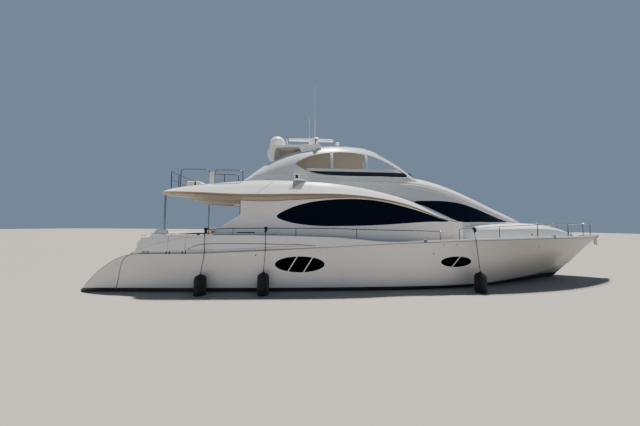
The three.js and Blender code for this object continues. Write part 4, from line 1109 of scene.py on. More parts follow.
@dataclass(frozen=True)
class Rope(Finish):
    """Laid rope, its strands winding round it."""

    def dress(self, tree: bpy.types.NodeTree, shader: bpy.types.Node) -> None:
        """Slanted bands for the strands, with a lighter crown on each."""
        band = wire(tree, "ShaderNodeTexWave", Vector=place_of(tree, (1, 1, 1), (0.6, 0.5, 0.0)), Scale=26.0,
                    Distortion=0.6, Detail=1.0).outputs["Fac"]
        crown = tuple(c * 2.2 + 0.01 for c in self.colour)
        feed(tree, shader, Base_Color=blended(tree, times(tree, band, 0.6), self.colour, crown),
             Normal=self.bump(tree, band, 0.003))


# The hull's warm off-white is partly its own tone and partly painted warm light reflected from below.
HULL_WHITE = HullPaint("hull_paint", "hull_white", (0.80, 0.775, 0.735), 0.34, coat=0.1)
GELCOAT = Gelcoat("white_gelcoat", "gelcoat", (0.86, 0.86, 0.85), 0.22, coat=0.4)
# House and roof gelcoats paint shade on faces that look to the side, grey-blue, while tops keep the white; on the roof
# the shade reaches nearly flat faces.
HOUSE_GEL_SHADED_SIDES = Gelcoat("house_gelcoat", "gelcoat", (0.86, 0.86, 0.85), 0.22, coat=0.4, side=(0.56, 0.60, 0.63))
ROOF_GEL_SHADED_SIDES = Gelcoat("roof_gelcoat", "gelcoat", (0.86, 0.86, 0.85), 0.22, coat=0.4, side=(0.56, 0.60, 0.63),
                   turn=0.86)
# Grey: the own colour of seams and joints, and painted shade on the bulwark's foot band and spear line, the side scoop,
# creases and the opening groove.
SHADE_GEL = Gelcoat("grey_gelcoat", "gelcoat", (0.41, 0.43, 0.46), 0.4, streaks=0.5)
# Warm tan: painted warm light reflected from below and shade under the overhang.
SOFFIT = Gelcoat("soffit_lining", "gelcoat", (0.42, 0.36, 0.29), 0.42, streaks=0.15)
# Tan-brown: painted shade and warm reflected light under the bulwark recess's upper ledge.
GROOVE_SHADE_AND_BOUNCE = Gelcoat("moulding_groove", "gelcoat", (0.30, 0.25, 0.19), 0.5, streaks=0.2)
# Light grey: the own colour of the screen bar and scanner trim, and painted shade on the quarter winglet and inside the
# mast hoop.
SHADE_LIGHT = Gelcoat("bar_gelcoat", "gelcoat", (0.55, 0.57, 0.60), 0.35)
# Dark: painted shade on the middle soffit panel over the cockpit.
CEILING_SHADE = Gelcoat("ceiling_panel", "gelcoat", (0.16, 0.165, 0.16), 0.5, streaks=0.1)
# Painted shade on the hardtop's inner faces and inner lip.
LINING_SHADE = Gelcoat("inner_lining", "gelcoat", (0.36, 0.35, 0.325), 0.5, streaks=0.2)
NONSKID = NonSkid("grip_deck", "gelcoat", (0.74, 0.75, 0.75), 0.6)
TEAK = Teak("teak_planks", "teak", (0.42, 0.25, 0.13), 0.5)
OAK = Teak("cabin_sole", "teak", (0.30, 0.16, 0.08), 0.3, plank=0.14, silver=(0.24, 0.13, 0.07))
DARK_GLASS = DarkPane("window_glass", "dark_glass", (0.001, 0.0045, 0.014), 0.03, opacity=0.99, shine=0.12,
                      haze=0.008)
HULL_GLASS = DarkPane("hull_glass", "dark_glass", (0.0004, 0.0008, 0.002), 0.25, opacity=1.0, shine=0.0, haze=0.002)
TINT = DarkPane("smoked_acrylic", "tinted_acrylic", (0.010, 0.012, 0.014), 0.06, opacity=0.88)
STEEL = Metal("polished_stainless", "stainless", (0.38, 0.39, 0.41), 0.16, 1.0)
# A darker copy of the stainless on rails and posts: painted shade and dark reflections.
SHADED_STEEL = Metal("shaded_stainless", "stainless", (0.13, 0.135, 0.145), 0.2, 1.0)
BRONZE = Metal("propeller_bronze", "bronze", (0.52, 0.33, 0.13), 0.32, 1.0, tarnish=(0.10, 0.16, 0.12), spots=0.5)
DOME = Gelcoat("dome_gelcoat", "dome_white", (0.84, 0.84, 0.82), 0.32, streaks=0.6, cloud=0.4)
VINYL = Cloth("seat_vinyl", "cover_fabric", (0.72, 0.68, 0.60), 0.5, threads=320.0, sheen=0.1)
COVER = Cloth("white_canvas", "cover_fabric", (0.80, 0.79, 0.75), 0.85, threads=180.0)
KNIT = Cloth("knitted_black", "fender_cover", (0.008, 0.009, 0.012), 0.95, relief=0.002, threads=70.0,
             shade=(0.03, 0.035, 0.045), sheen=0.15)
BLACK = Plastic("black_rubber", "dash_grey", (0.010, 0.010, 0.012), 0.5, scuff=(0.08, 0.08, 0.08))
DASH = Plastic("dash_plastic", "dash_grey", (0.10, 0.10, 0.11), 0.55)
SCREEN = DarkPane("plotter_glass", "dash_grey", (0.004, 0.006, 0.010), 0.05)
# Tan on the rub strip and quarter line: painted warm reflection and shade along the sheer joint.
TAN_SHADE_AND_REFLECTION = Plastic("rub_strip", "hull_white", (0.30, 0.21, 0.12), 0.5, scuff=(0.5, 0.42, 0.3))
LAMP = Gelcoat("lamp_lens", "dome_white", (0.90, 0.88, 0.80), 0.12, streaks=0.1)
ROPE = Rope("black_rope", "fender_cover", (0.010, 0.011, 0.014), 0.85)

SHEER = Lines("half z", [
    (-12500, 2560, 60), (-11870, 2620, 780), (-11460, 2660, 1110), (-10850, 2715, 1430), (-10400, 2745, 1515),
    (-8400, 2840, 1545), (-6200, 2910, 1630), (-2600, 2950, 1820), (-400, 2935, 1940), (2500, 2870, 2050),
    (4700, 2720, 2120), (7200, 2300, 2165), (9200, 1740, 2170), (10600, 1180, 2165), (11600, 680, 2160),
    (12200, 300, 2155), (12450, 60, 2150)])
CHINE = Lines("half z", [
    (-12350, 2420, -140), (-9000, 2560, -120), (-4000, 2620, -80), (-1000, 2590, -30), (2000, 2440, 50),
    (4500, 2050, 150), (6500, 1500, 260), (8500, 820, 430), (9800, 340, 600), (10720, 40, 720)])
KEEL = Lines("z", [
    (-11750, -600), (-8000, -800), (-3000, -960), (2000, -990), (5500, -900), (7600, -740), (9150, -500)])
BULWARK = Lines("z width", [
    (-10560, 1545, 60), (-10350, 1700, 100), (-10160, 1980, 130), (-9800, 2250, 130), (-9480, 2330, 130),
    (-9150, 2255, 130), (-7700, 2270, 130), (-6250, 2280, 130), (-2630, 2220, 120), (-1530, 2140, 110),
    (-360, 2055, 100), (400, 2040, 90), (1530, 2090, 90), (4720, 2200, 80), (7170, 2250, 80),
    (11190, 2265, 70), (12300, 2265, 60)], 0.06)
WING = Lines("top low half soffit", [
    (-9720, 4060, 4040, 2250, 3960), (-9550, 4090, 4055, 2480, 3940), (-9200, 4160, 4055, 2600, 3910),
    (-8650, 4290, 4045, 2650, 3870), (-7800, 4400, 4020, 2690, 3820), (-6240, 4560, 3975, 2720, 3745),
    (-5350, 4610, 3980, 2725, 3730), (-4270, 4600, 4010, 2725, 3800), (-2630, 4510, 4030, 2715, 3900),
    (-1550, 4390, 3990, 2680, 3945), (-450, 4180, 3880, 2590, 3860), (650, 3910, 3675, 2470, 3660),
    (1600, 3560, 3385, 2370, 3375), (2450, 3220, 3065, 2270, 3055), (3330, 2900, 2890, 2190, 2885)])
HOUSE = Lines("side brow brow_z top", [
    (-6400, 2120, 2120, 4560, 4600), (-4000, 2130, 2060, 4600, 5100), (-1200, 2150, 2040, 4630, 5160),
    (600, 2170, 2000, 4560, 5180), (1600, 2150, 1970, 4420, 5130), (2300, 2130, 1930, 4290, 4990),
    (3070, 2080, 1880, 4090, 4760), (3800, 1990, 1810, 3840, 4480), (4500, 1870, 1700, 3590, 4200),
    (5350, 1660, 1520, 3260, 3860), (6200, 1370, 1270, 3020, 3530), (7000, 1000, 930, 2940, 3220),
    (7600, 640, 600, 2880, 2990), (8100, 180, 160, 2790, 2810)], 0.2)
ARCH = Lines("top half", [
    (-6380, 4830, 2080), (-5820, 5440, 2070), (-5340, 5820, 2060), (-4960, 6065, 2055), (-4390, 6330, 2050),
    (-3950, 6470, 2045), (-2870, 6670, 2035), (-2080, 6720, 2030), (-910, 6640, 2020), (-120, 6390, 2010),
    (280, 6140, 2005), (870, 5690, 1990), (1500, 5070, 1960)])
TRUNK = Lines("half top", [
    (3500, 2125, 2860), (3950, 2255, 2875), (5000, 2200, 2880), (6500, 2000, 2885), (7800, 1740, 2870),
    (8600, 1500, 2790), (9300, 1230, 2660), (9900, 950, 2500), (10450, 620, 2290)], 0.2)
WALL = Lines("half", [(-7600, 2290), (-6000, 2270), (-1000, 2240), (2000, 2190), (3500, 2110)])
SALOON_AFT = Lines("top", [
    (-7560, 2330), (-7290, 2560), (-7030, 2750), (-6780, 2910), (-6500, 3080), (-6420, 3140)], 0.04)
CREASE = Lines("z", [(-10400, 1620), (-9710, 1850), (-9090, 2010), (-8670, 2130), (-7920, 2200), (-7200, 2262)])
SPEAR_TOP = Lines("z", [
    (-8400, 1665), (-8320, 1690), (-8080, 1820), (-7650, 1910), (-6230, 1940), (-4600, 1920), (-3140, 1890)], 0.03)
SPEAR_LOW = Lines("z", [(-9050, 1650), (-6220, 1720), (-3960, 1850), (-3140, 1885)])

SALOON_WINDOW = [
    (-4870, 3070), (-4300, 3430), (-3300, 3720), (-1770, 3860), (-500, 3800), (700, 3560), (1750, 3260),
    (2350, 3050), (2800, 2925), (1800, 2890), (-200, 2745), (-1800, 2680), (-3300, 2690), (-4400, 2850)]
WHEELHOUSE_WINDOW = [
    (1300, 3795), (1900, 3850), (2700, 3850), (3500, 3770), (4300, 3570), (5000, 3345), (5700, 3120),
    (6150, 2990), (6330, 2935), (6100, 2915), (4400, 2912), (3450, 2915), (2700, 3200), (2000, 3520)]
FLY_OPENING = [
    (-4120, 5490), (-3700, 5790), (-3050, 6020), (-2200, 6140), (-1300, 6110), (-500, 5940), (100, 5700),
    (600, 5400), (1080, 4985), (-300, 4940), (-2100, 4940), (-3050, 5000), (-3650, 5150), (-4000, 5330)]
WINDSCREEN_PLAN = [
    (4350, -1180), (5300, -1080), (6300, -800), (7050, -480), (7350, 0), (7050, 480), (6300, 800),
    (5300, 1080), (4350, 1180), (4050, 0)]


# Placing finished pieces in the frame

SIDES = ("port", "starboard")


def settle(obj: Obj, finish: Finish, body: str = "yacht", nodes: Sequence[str] = (), angle: float = 32.0) -> Obj:
    """Gives a piece its finish, smooth shading and body, and hides the solids that it stands for.

    Args:
        obj: Piece; its materials are kept if it has some.
        finish: Main finish.
        body: Moving body that carries it.
        nodes: Solids that it replaces.
        angle: Smallest turn in degrees that stays a sharp edge.

    Returns:
        The same piece.
    """
    if not any(obj.data.materials):
        obj.data.materials.clear()
        obj.data.materials.append(finish.material())
    obj.data.shade_smooth()
    obj.data.set_sharp_from_angle(angle=math.radians(angle))
    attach(obj, body)
    if nodes:
        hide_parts(*nodes)
    log.info("%-26s %6d faces", obj.name, len(obj.data.polygons))
    return obj


def pair(obj: Obj, finish: Finish, node: str = "", body: str = "yacht", angle: float = 32.0) -> tuple[Obj, Obj]:
    """Settles a piece made for the port side and its mirror image to starboard.

    Args:
        obj: Piece on the port side.
        finish: Main finish.
        node: Name without its side of the solids that the two replace.
        body: Moving body; an ending "_" gets the side's name.
        angle: Smallest turn in degrees that stays a sharp edge.

    Returns:
        The port and starboard pieces.
    """
    base = obj.name
    obj.name = f"{base}_port"
    both = (obj, mirrored(obj, f"{base}_starboard"))
    for piece, side in zip(both, SIDES):
        carrier = body + side if body.endswith("_") else body
        settle(piece, finish, carrier, (f"{node}_{side}",) if node else (), angle)
    return both


def by_face(obj: Obj, finishes: Sequence[Finish], rule: Callable[[Vector, Vector], int]) -> Obj:
    """Gives each face one of several finishes.

    Args:
        obj: Piece.
        finishes: Finishes in order.
        rule: From a face's centre and normal to the number of its finish.

    Returns:
        The same piece.
    """
    obj.data.materials.clear()
    for item in finishes:
        obj.data.materials.append(item.material())
    for face in obj.data.polygons:
        face.material_index = rule(face.center, face.normal)
    return obj


class Skin:
    """The outer surface of a piece, to lay details on."""

    def __init__(self, obj: Obj) -> None:
        """Keeps the surface as it is now."""
        mesh = obj.data
        self.tree = BVHTree.FromPolygons([v.co[:] for v in mesh.vertices], [p.vertices[:] for p in mesh.polygons])

    def touch(self, start: Point, way: Point, lift: float = 0.0) -> tuple[Point, Point]:
        """The first point that a line meets.

        Args:
            start: Start of the line.
            way: Its direction.
            lift: Distance to stand off the surface.

        Returns:
            The point and the surface's normal there; the start itself where nothing is met.
        """
        spot, normal, _, _ = self.tree.ray_cast(Vector(start), Vector(way))
        if spot is None:
            return start, tuple(-c for c in way)
        return tuple(spot + normal * lift), tuple(normal)

    def side(self, x: float, z: float, lift: float = 0.0) -> tuple[Point, Point]:
        """The port side's point at x and z, met from outboard."""
        return self.touch((x, 5.0, z), (0, -1, 0), lift)

    def top(self, x: float, y: float, lift: float = 0.0) -> tuple[Point, Point]:
        """The upper surface's point at x and y, met from above."""
        return self.touch((x, y, 9.5), (0, 0, -1), lift)


def seam_on(name: str, skin: Skin, spots: Sequence[tuple[float, float]], radius: float = 0.003,
            finish: Finish = SHADE_GEL, lift: float = 0.0) -> Obj:
    """A fine line laid on the port side through x and z places."""
    line = [skin.side(x, z, lift)[0] for x, z in catmull(spots, 10)]
    return tubes(name, [line], radius, finish, 8)


def smooth_outline(points: Sequence[Sequence[float]], steps: int = 12) -> list[tuple[float, float]]:
    """A closed smooth outline in metres through points in millimetres."""
    return [(p[0], p[1]) for p in catmull([(a / 1000, b / 1000, 0.0) for a, b in points], steps, True)]


def rounded_top(x: float, half: float, base: float, top: float, power: float, count: int = 16) -> list[Point]:
    """The upper part of a rounded section, from its side edge to the centreline.

    Args:
        x: Place of the section.
        half: Half breadth.
        base: Height of the side edge.
        top: Height on the centreline.
        power: Squareness; 2 is an ellipse.
        count: Number of stretches.

    Returns:
        The points.
    """
    arc = []
    for i in range(count + 1):
        angle = math.pi / 2 * i / count
        y = 0.0 if i == count else half * math.cos(angle) ** (2 / power)
        arc.append((x, y, base + (top - base) * math.sin(angle) ** (2 / power)))
    return arc


# Shared forms


def hull_ring(u: float, inset: float = 0.0, rows: int = 22) -> list[Point]:
    """The hull's section at a share of its length.

    Args:
        u: Share of the length, 0 at the stern.
        inset: How far its sides move inwards.
        rows: Points between chine and sheer.

    Returns:
        The closed ring.
    """
    keel_x = KEEL_AFT_X + (STEM_FOOT_X - KEEL_AFT_X) * u
    chine_x = CHINE_AFT_X + (STEM_CHINE_X - CHINE_AFT_X) * u
    sheer_x = STERN_X + (BOW_X - STERN_X) * u
    low = Vector((keel_x, 0.0, KEEL.z(keel_x)))
    corner = Vector((chine_x, CHINE.half(chine_x), CHINE.z(chine_x)))
    edge = Vector((sheer_x, SHEER.half(sheer_x), SHEER.z(sheer_x)))
    flare = 0.62 + 0.75 * u**3
    points = [low]
    for t in (0.25, 0.5, 0.75):
        points.append(low.lerp(corner, t) - Vector((0, 0, 0.1 * t * (1 - t))))
    points += [corner, corner + Vector((0.005, 0.03, 0.012))]
    for k in range(1, rows):
        w = (k / rows) ** 1.25
        side = corner.lerp(edge, w)
        side.y = corner.y + 0.03 + (edge.y - corner.y - 0.03) * w**flare
        points.append(side)
    points.append(edge)
    return both_sides([(p.x, max(p.y - inset, 0.002) if p.y > 0 else 0.0, p.z) for p in points])


def hull_body(name: str, inset: float = 0.0, drop: float = 0.0, count: int = 150) -> Obj:
    """The hull's outside as one closed body, with its sides moved inwards or the whole lowered."""
    shares = [0.5 * s + 0.25 * (1 - math.cos(math.pi * s)) for s in spread(0, 1, count)]
    return loft(name, [[(x, y, z - drop) for x, y, z in hull_ring(u, inset)] for u in shares])


def house_ring(x: float, inset: float) -> list[Point]:
    """The deckhouse's section, its outside moved inwards."""
    side, brow = HOUSE.side(x) - inset, max(HOUSE.brow(x) - inset, 0.02)
    base = SHEER.z(x) + 0.02 + min(inset, 0.0)
    brow_z = HOUSE.brow_z(x)
    half = [
        (x, 0.0, base), (x, max(side, 0.03), base), (x, max(side - 0.01, 0.03), min(SILL_Z, brow_z - 0.06)),
        (x, max(brow - 0.045, 0.02), brow_z - 0.025), (x, max(brow - 0.012, 0.02), brow_z - 0.014),
        *rounded_top(x, brow, brow_z, max(HOUSE.top(x) - inset, brow_z + 0.01), 2.5)]
    return both_sides(half)


def house_body(name: str, inset: float, shortened: float = 0.0, count: int = 150) -> Obj:
    """The deckhouse as one closed body, its ends pulled in by shortened."""
    rings = []
    for i, x in enumerate(spread(HOUSE_AFT_X, HOUSE_FORE_X, count)):
        shift = shortened if i == 0 else -shortened if i == count else 0.0
        rings.append([(px + shift, y, z) for px, y, z in house_ring(x, inset)])
    return loft(name, rings)


def house_skin(name: str, near: float, far: float) -> Obj:
    """A thin layer of the deckhouse between two depths under its outside."""
    return carve(house_body(name, near), house_body("skin_cut", far))


def arch_body(name: str, inset: float, overrun: float = 0.0, count: int = 110) -> Obj:
    """The hardtop's outside as one closed body, its ends pushed out by overrun."""
    rings = []
    for i, x in enumerate(spread(ARCH_AFT_X, ARCH_FORE_X, count)):
        shift = -overrun if i == 0 else overrun if i == count else 0.0
        half = ARCH.half(x) - 0.06 - inset
        arc = rounded_top(x, half, ARCH_BASE, max(ARCH.top(x) - inset, ARCH_BASE + 0.06), 2.9, 20)
        foot = [(x, 0, ARCH_BASE - 0.2), (x, half, ARCH_BASE - 0.2)]
        rings.append([(px + shift, y, z) for px, y, z in both_sides([*foot, *arc])])
    return loft(name, rings)


def arch_skin(name: str, near: float, far: float) -> Obj:
    """A thin layer of the hardtop between two depths under its outside."""
    return carve(arch_body(name, near), arch_body("skin_cut", far, 0.001))


def foot_band(x: float, tall: float) -> float:
    """Height of the grey band of painted shade at the foot of a bulwark that is so tall; it narrows forward."""
    return min(0.085 * min(1.0, max(0.25, (-3.0 - x) / 3.0)), 0.1 * tall)


def bulwark_rings() -> list[list[Point]]:
    """Sections of the port bulwark with its crease, spear-shaped recess, foot band and rounded cap."""
    places = sorted({*spread(-10.54, 12.29, 300), *spread(-8.5, -7.6, 36), *spread(-10.54, -9.2, 50)})
    rings = []
    for x in places:
        outer, low = SHEER.half(x) - 0.002, SHEER.z(x) + AIR
        high = max(BULWARK.z(x), low + 0.015)
        tall, width = high - low, BULWARK.width(x)
        lean = 0.06 * tall
        inner = max(outer - width, 0.004)
        fade = min(1.0, max(0.0, (-7.2 - x) / 1.2)) * min(1.0, max(0.0, (x + 10.5) / 0.25))
        step = 0.032 * fade
        ramp = min(1.0, max(0.0, (x + 8.38) / 0.1)) * min(1.0, max(0.0, (-3.14 - x) / 1.6))
        spear = 0.022 * ramp
        top = low + min(max(CREASE.z(x) - low, 0.3 * tall), 0.86 * tall)
        ledge = low + min(max(SPEAR_TOP.z(x) - low, 0.16 * tall), 0.62 * tall)
        floor = low + min(max(SPEAR_LOW.z(x) - low, 0.12 * tall), ledge - low - 0.012)
        band = low + foot_band(x, tall)
        dip = 0.006 if x < -2.6 else 0.0

        def at(z: float, depth: float) -> Point:
            """A point of the outer face at a height, set in by a depth."""
            return (x, max(outer - lean * (z - low) / tall - depth, inner + 0.002), z)

        ease = min(0.022, 0.3 * tall)
        cap = outer - lean - step
        rings.append([
            at(low, dip), at(band - 0.002, dip), at(band, 0.0), at(floor, 0.0), at(floor + 0.006, spear),
            at(ledge - 0.004, spear), at(ledge, 0.0), at(top - 0.004, 0.0), at(top + 0.010, step),
            at(high - ease, step), (x, max(cap - 0.003, inner), high - 0.4 * ease),
            (x, max(cap - 0.011, inner), high - 0.1 * ease), (x, max(cap - min(0.025, width / 3), inner), high),
            (x, inner - lean * 0.5 + min(0.02, width / 4), high),
            (x, inner - lean * 0.5 + 0.004, high - 0.006), (x, inner - lean * 0.5, high - 0.3 * ease),
            (x, inner, low)])
    return rings


def wing_inner(x: float) -> float:
    """Inner edge of a wing aft of the wheelhouse."""
    return WING.half(x) - min(0.43, 0.09 + (WING.top(x) - WING.low(x)) * 0.9)


def wing_ring(x: float) -> list[Point]:
    """The port wing's section: a crowned brow over the overhang's edge."""
    low = WING.low(x)
    top = max(WING.top(x), low + 0.008)
    half, tall = WING.half(x), top - low
    inner = min(half - 0.06, WALL.half(x) - 0.03) if x > -1.5 else wing_inner(x)
    slope = min(0.40, 0.06 + 0.62 * tall, half - inner - 0.02)
    knots = [(half, low), (half - 0.24 * slope, low + 0.28 * tall), (half - 0.58 * slope, low + 0.66 * tall),
             (half - slope, top)]
    face = catmull([(0.0, y, z) for y, z in knots], 8)
    return [(x, y, z) for _, y, z in face] + [(x, inner, top - 0.006), (x, inner, min(WING.soffit(x), low))]


def rail_line(x: float) -> float:
    """Distance from the centreline at which the deck rails stand."""
    return max(SHEER.half(x) - 0.025 - BULWARK.width(x) / 2 - 0.05 * (BULWARK.z(x) - SHEER.z(x)), 0.06)


def fly_floor(x: float) -> float:
    """Height of the flybridge deck."""
    return FLY_FLOOR if x > -8.0 else min(WING.top(x) - 0.015, FLY_FLOOR)


# Sub-assemblies


@dataclass
class Hull:
    """Hull with its windows, rub strip and drains, the swim platform, the transom box and its door."""

    windows: Sequence[tuple[float, float, float, float, tuple]] = (
        (-3.84, 1.115, 1.0, 0.325, ((-4.33, 0.81, -3.96, 1.42), (-3.69, 0.80, -3.32, 1.41))),
        (2.78, 1.19, 0.70, 0.23, ((2.60, 0.97, 2.94, 1.41),)))
    drains: Sequence[tuple[float, float]] = ((-5.60, 1.49), (1.73, 1.55), (2.15, 1.92), (2.73, 1.92), (6.97, 1.80))
    door: tuple[float, float, float] = (0.36, 0.42, 1.09)
    steps: int = 4
    tread: float = 0.3
    stair_inner: float = 1.42
    hinge_z: tuple[float, float] = (0.52, 0.99)
    window_reach: tuple[float, float] = (1.5, 3.4)
    fin: Sequence[tuple[float, float]] = ((-6.5, -0.7), (-6.2, -1.22), (-6.0, -1.25), (3.0, -1.25), (3.4, -1.22),
                                          (4.6, -0.88), (4.6, -0.7))

    def build(self) -> None:
        """Builds every piece of the hull."""
        hull = self.shaped()
        self.glazing()
        skin = Skin(hull)
        self.fittings(skin)
        self.platform()
        self.transom()
        self.transom_door()

    def shaped(self) -> Obj:
        """The hull with its wells, stairs and window recesses cut."""
        hull = hull_body("hull_form")
        carve(hull, eased(prism("fin", self.fin, -0.08, 0.08), 0.02), how=Cut.ADDED)
        half, low, high = self.door
        tools = [
            block("saloon_well", (BULKHEAD_X + 0.06, -2.12, 1.6), (SALOON_FORE_X, 2.12, 2.6)),
            block("platform_well", (STERN_X - 0.2, -PLATFORM_WELL_HALF, 0.23), (TRANSOM_X, PLATFORM_WELL_HALF, 2.6)),
            block("door_recess", (TRANSOM_X - 0.01, -half, low), (TRANSOM_X + 0.06, half, high))]
        rise = (SIDE_DECK_Z - PLATFORM_TOP) / self.steps
        for step in range(self.steps - 1):
            start = TRANSOM_X - 0.01 if step == 0 else TRANSOM_X + self.tread * step
            low_corner = (start, self.stair_inner, PLATFORM_TOP + rise * step)
            well = block("step_well", low_corner, (TRANSOM_X + self.tread * (step + 1), PLATFORM_WELL_HALF, 1.7))
            tools += [well, mirrored(well, "step_well_starboard")]
        for x, z, half_long, tall, _ in self.windows:
            recess = prism("recess", ellipse(x, z, half_long, tall), *self.window_reach)
            carve(recess, hull_body("recess_floor", 0.035, count=90))
            tools += [recess, mirrored(recess, "recess_starboard")]
        carve(hull, *tools)
        hull.name = "hull_shell"
        by_face(hull, (HULL_WHITE, TEAK, NONSKID, GELCOAT), self.paint_at)
        return settle(hull, HULL_WHITE, nodes=("hull",), angle=24)

    @staticmethod
    def paint_at(spot: Vector, normal: Vector) -> int:
        """The finish of a face of the hull: teak and grip decks on top, gelcoat in the wells."""
        if normal.z > 0.9 and spot.z > 0.3:
            return 2 if spot.x > TEAK_FORE_X else 1
        in_platform_well = spot.x < -10.38 and spot.z > 0.22
        in_saloon = -6.3 < spot.x < 0.46 and spot.z > 1.59
        inside = abs(spot.y) < PLATFORM_WELL_HALF + 0.001 and (in_platform_well or in_saloon)
        return 3 if inside and spot.z < SHEER.z(spot.x) else 0

    def glazing(self) -> None:
        """Dark panes flush in the recesses, with slanted bars between them."""
        panes, bars = [], []
        for x, z, half_long, tall, slants in self.windows:
            layer = carve(hull_body("layer", 0.007, count=90), hull_body("layer_in", 0.033, count=90))
            glass = carve(prism("pane", ellipse(x, z, half_long - 0.003, tall - 0.003), *self.window_reach), layer,
                          how=Cut.SHARED)
            for x0, z0, x1, z1 in slants:
                run, w = (x1 - x0) / (z1 - z0), 0.024
                ends = [(x0 - 0.1 * run, z0 - 0.1), (x1 + 0.1 * run, z1 + 0.1)]
                outline = [(ends[0][0] - w, ends[0][1]), (ends[0][0] + w, ends[0][1]),
                           (ends[1][0] + w, ends[1][1]), (ends[1][0] - w, ends[1][1])]
                bar = carve(prism("bar", outline, *self.window_reach), glass, how=Cut.SHARED, keep=True)
                for vert in bar.data.vertices:
                    vert.co.y += 0.004
                bars.append(bar)
                carve(glass, prism("gap", outline, *self.window_reach))
            panes.append(glass)
        pair(joined("hull_window_glass", *panes), HULL_GLASS, angle=40)
        pair(joined("hull_window_bars", *bars), HULL_WHITE, angle=40)

    def fittings(self, skin: Skin) -> None:
        """Rub strip, drains and their rims on the topsides."""
        # The rub strip and the quarter line are tan: painted warm reflection and shade along the sheer joint.
        strip = [(x, SHEER.half(x) + 0.002, SHEER.z(x) - 0.008) for x in spread(-12.3, 12.4, 260)]
        pair(tubes("rub_strip", [strip], 0.011, TAN_SHADE_AND_REFLECTION, 10), TAN_SHADE_AND_REFLECTION)
        turn = [(-10.45, 1.50), (-10.60, 1.455), (-10.73, 1.37), (-10.83, 1.24), (-10.90, 1.08), (-10.95, 0.90),
                (-11.0, 0.63), (-11.08, 0.29), (-11.13, 0.12)]
        pair(seam_on("quarter_strip", skin, turn, 0.022, TAN_SHADE_AND_REFLECTION, -0.008), TAN_SHADE_AND_REFLECTION)
        spots = [skin.side(x, z) for x, z in self.drains]
        rim = turned("rim", [(0.020, -0.004), (0.030, -0.004), (0.032, 0.004), (0.028, 0.008), (0.021, 0.007),
                             (0.019, 0.0)], segments=20)
        pair(repeated("drain_rims", rim, spots, STEEL), STEEL)
        pair(repeated("drain_holes", plug_form(0.021, 0.020, 0.004, 0.003, 16), spots, BLACK), BLACK)

    def platform(self) -> None:
        """Swim platform: teak on a white edge, with a rubber strip round it."""
        side, aft, low = PLATFORM_WELL_HALF - AIR, STERN_X + 0.04, 0.2303
        edge = [(aft + 0.35, side), (aft + 0.08, side - 0.25), (aft, side - 0.9), (aft, 0.9 - side),
                (aft + 0.08, 0.25 - side), (aft + 0.35, -side)]
        rounded = [(p[0], p[1]) for p in rounded_path([(x, y, 0.0) for x, y in edge], 0.2)]
        outline = [(TRANSOM_X - AIR, -side), (TRANSOM_X - AIR, side), *rounded]
        slab = eased(prism("swim_platform_deck", outline, low, PLATFORM_TOP, Axis.Z), 0.012)
        by_face(slab, (GELCOAT, TEAK), lambda spot, normal: int(normal.z > 0.95))
        settle(slab, GELCOAT, nodes=("swim_platform",))
        line = [(x - 0.002, y, PLATFORM_TOP - 0.05) for x, y in rounded]
        settle(tubes("platform_fender", [line], 0.014, BLACK, 10), BLACK)

    def transom(self) -> None:
        """Transom box, its top rounded, with a rail cleat and a locker line."""
        top = 2.14
        profile = [(TRANSOM_X + 0.02, 1.215), (TRANSOM_X + 0.08, 1.9), (TRANSOM_X + 0.3, top), (-10.48, top),
                   (-10.42, 2.08), (-10.42, 1.1), (TRANSOM_X + 0.02, 1.1)]
        body = eased(prism("transom_box", profile, -1.4, 1.4), 0.035, 4)
        carve(body, deck_cutter())
        settle(body, GELCOAT, nodes=("transom",))
        lids = [[(x, y, top + 0.001) for x, y in ((-10.95, -s), (-10.6, -s), (-10.6, s * 0.02), (-10.95, s * 0.02),
                                            (-10.95, -s))] for s in (1.2, -1.2)]
        settle(tubes("transom_lid_seams", lids, 0.003, SHADE_GEL, 8), SHADE_GEL)
        bitts = [((-11.0, y, top), UP) for y in (-1.3, 1.3)]
        settle(repeated("transom_cleats", cleat_form(), bitts, STEEL), STEEL)

    def transom_door(self) -> None:
        """Door to the lazarette, with its handle and hinge knuckles."""
        half, low, high = self.door
        x, inner = TRANSOM_X, half - SEAM
        plate = eased(block("transom_door_leaf", (x + 0.008, -inner, low + SEAM), (x + 0.048, inner, high - SEAM)),
                      0.008)
        panel = eased(block("panel", (x - 0.01, -inner + 0.07, low + 0.08), (x + 0.012, inner - 0.07, high - 0.08)),
                      0.012)
        for vert in panel.data.vertices:
            vert.co.x = max(vert.co.x, x + 0.0015)
        carve(plate, panel, how=Cut.ADDED)
        settle(plate, GELCOAT, "transom_door", ("transom_door",))
        y = -half + 0.075
        grip = rounded_path([(x + 0.01, y, 0.70), (x - 0.012, y, 0.72), (x - 0.012, y, 0.82), (x + 0.01, y, 0.84)],
                            0.015)
        settle(tubes("transom_door_grip", [grip], 0.006, STEEL), STEEL, "transom_door")
        knuckles = [turned(f"knuckle_{z}", [(0.0, -0.03), (0.0055, -0.03), (0.0055, 0.03), (0.0, 0.03)],
                           (x - 0.0059, half + 0.006, z), segments=16) for z in self.hinge_z]
        leaves = [block("leaf", (x - 0.010, half - 0.03, z - 0.03), (x - 0.001, half + 0.005, z + 0.03))
                  for z in self.hinge_z]
        settle(joined("transom_door_hinges", *knuckles, *leaves), STEEL, "transom_door")


def deck_cutter() -> Obj:
    """The hull with the air over its deck, which shapes the foot of what stands there."""
    return hull_body("deck_cut", drop=-AIR, count=90)


def plug_form(foot: float, top: float, sunk: float, proud: float, segments: int) -> Obj:
    """A round plug for a hole, or a lens.

    Args:
        foot: Radius of its foot.
        top: Radius of its top.
        sunk: How far its foot lies under the surface.
        proud: How far its top stands over it.
        segments: Faces round it.

    Returns:
        The plug.
    """
    return turned("plug", [(0.0, -sunk), (foot, -sunk), (top, proud), (0.0, proud)], segments=segments)


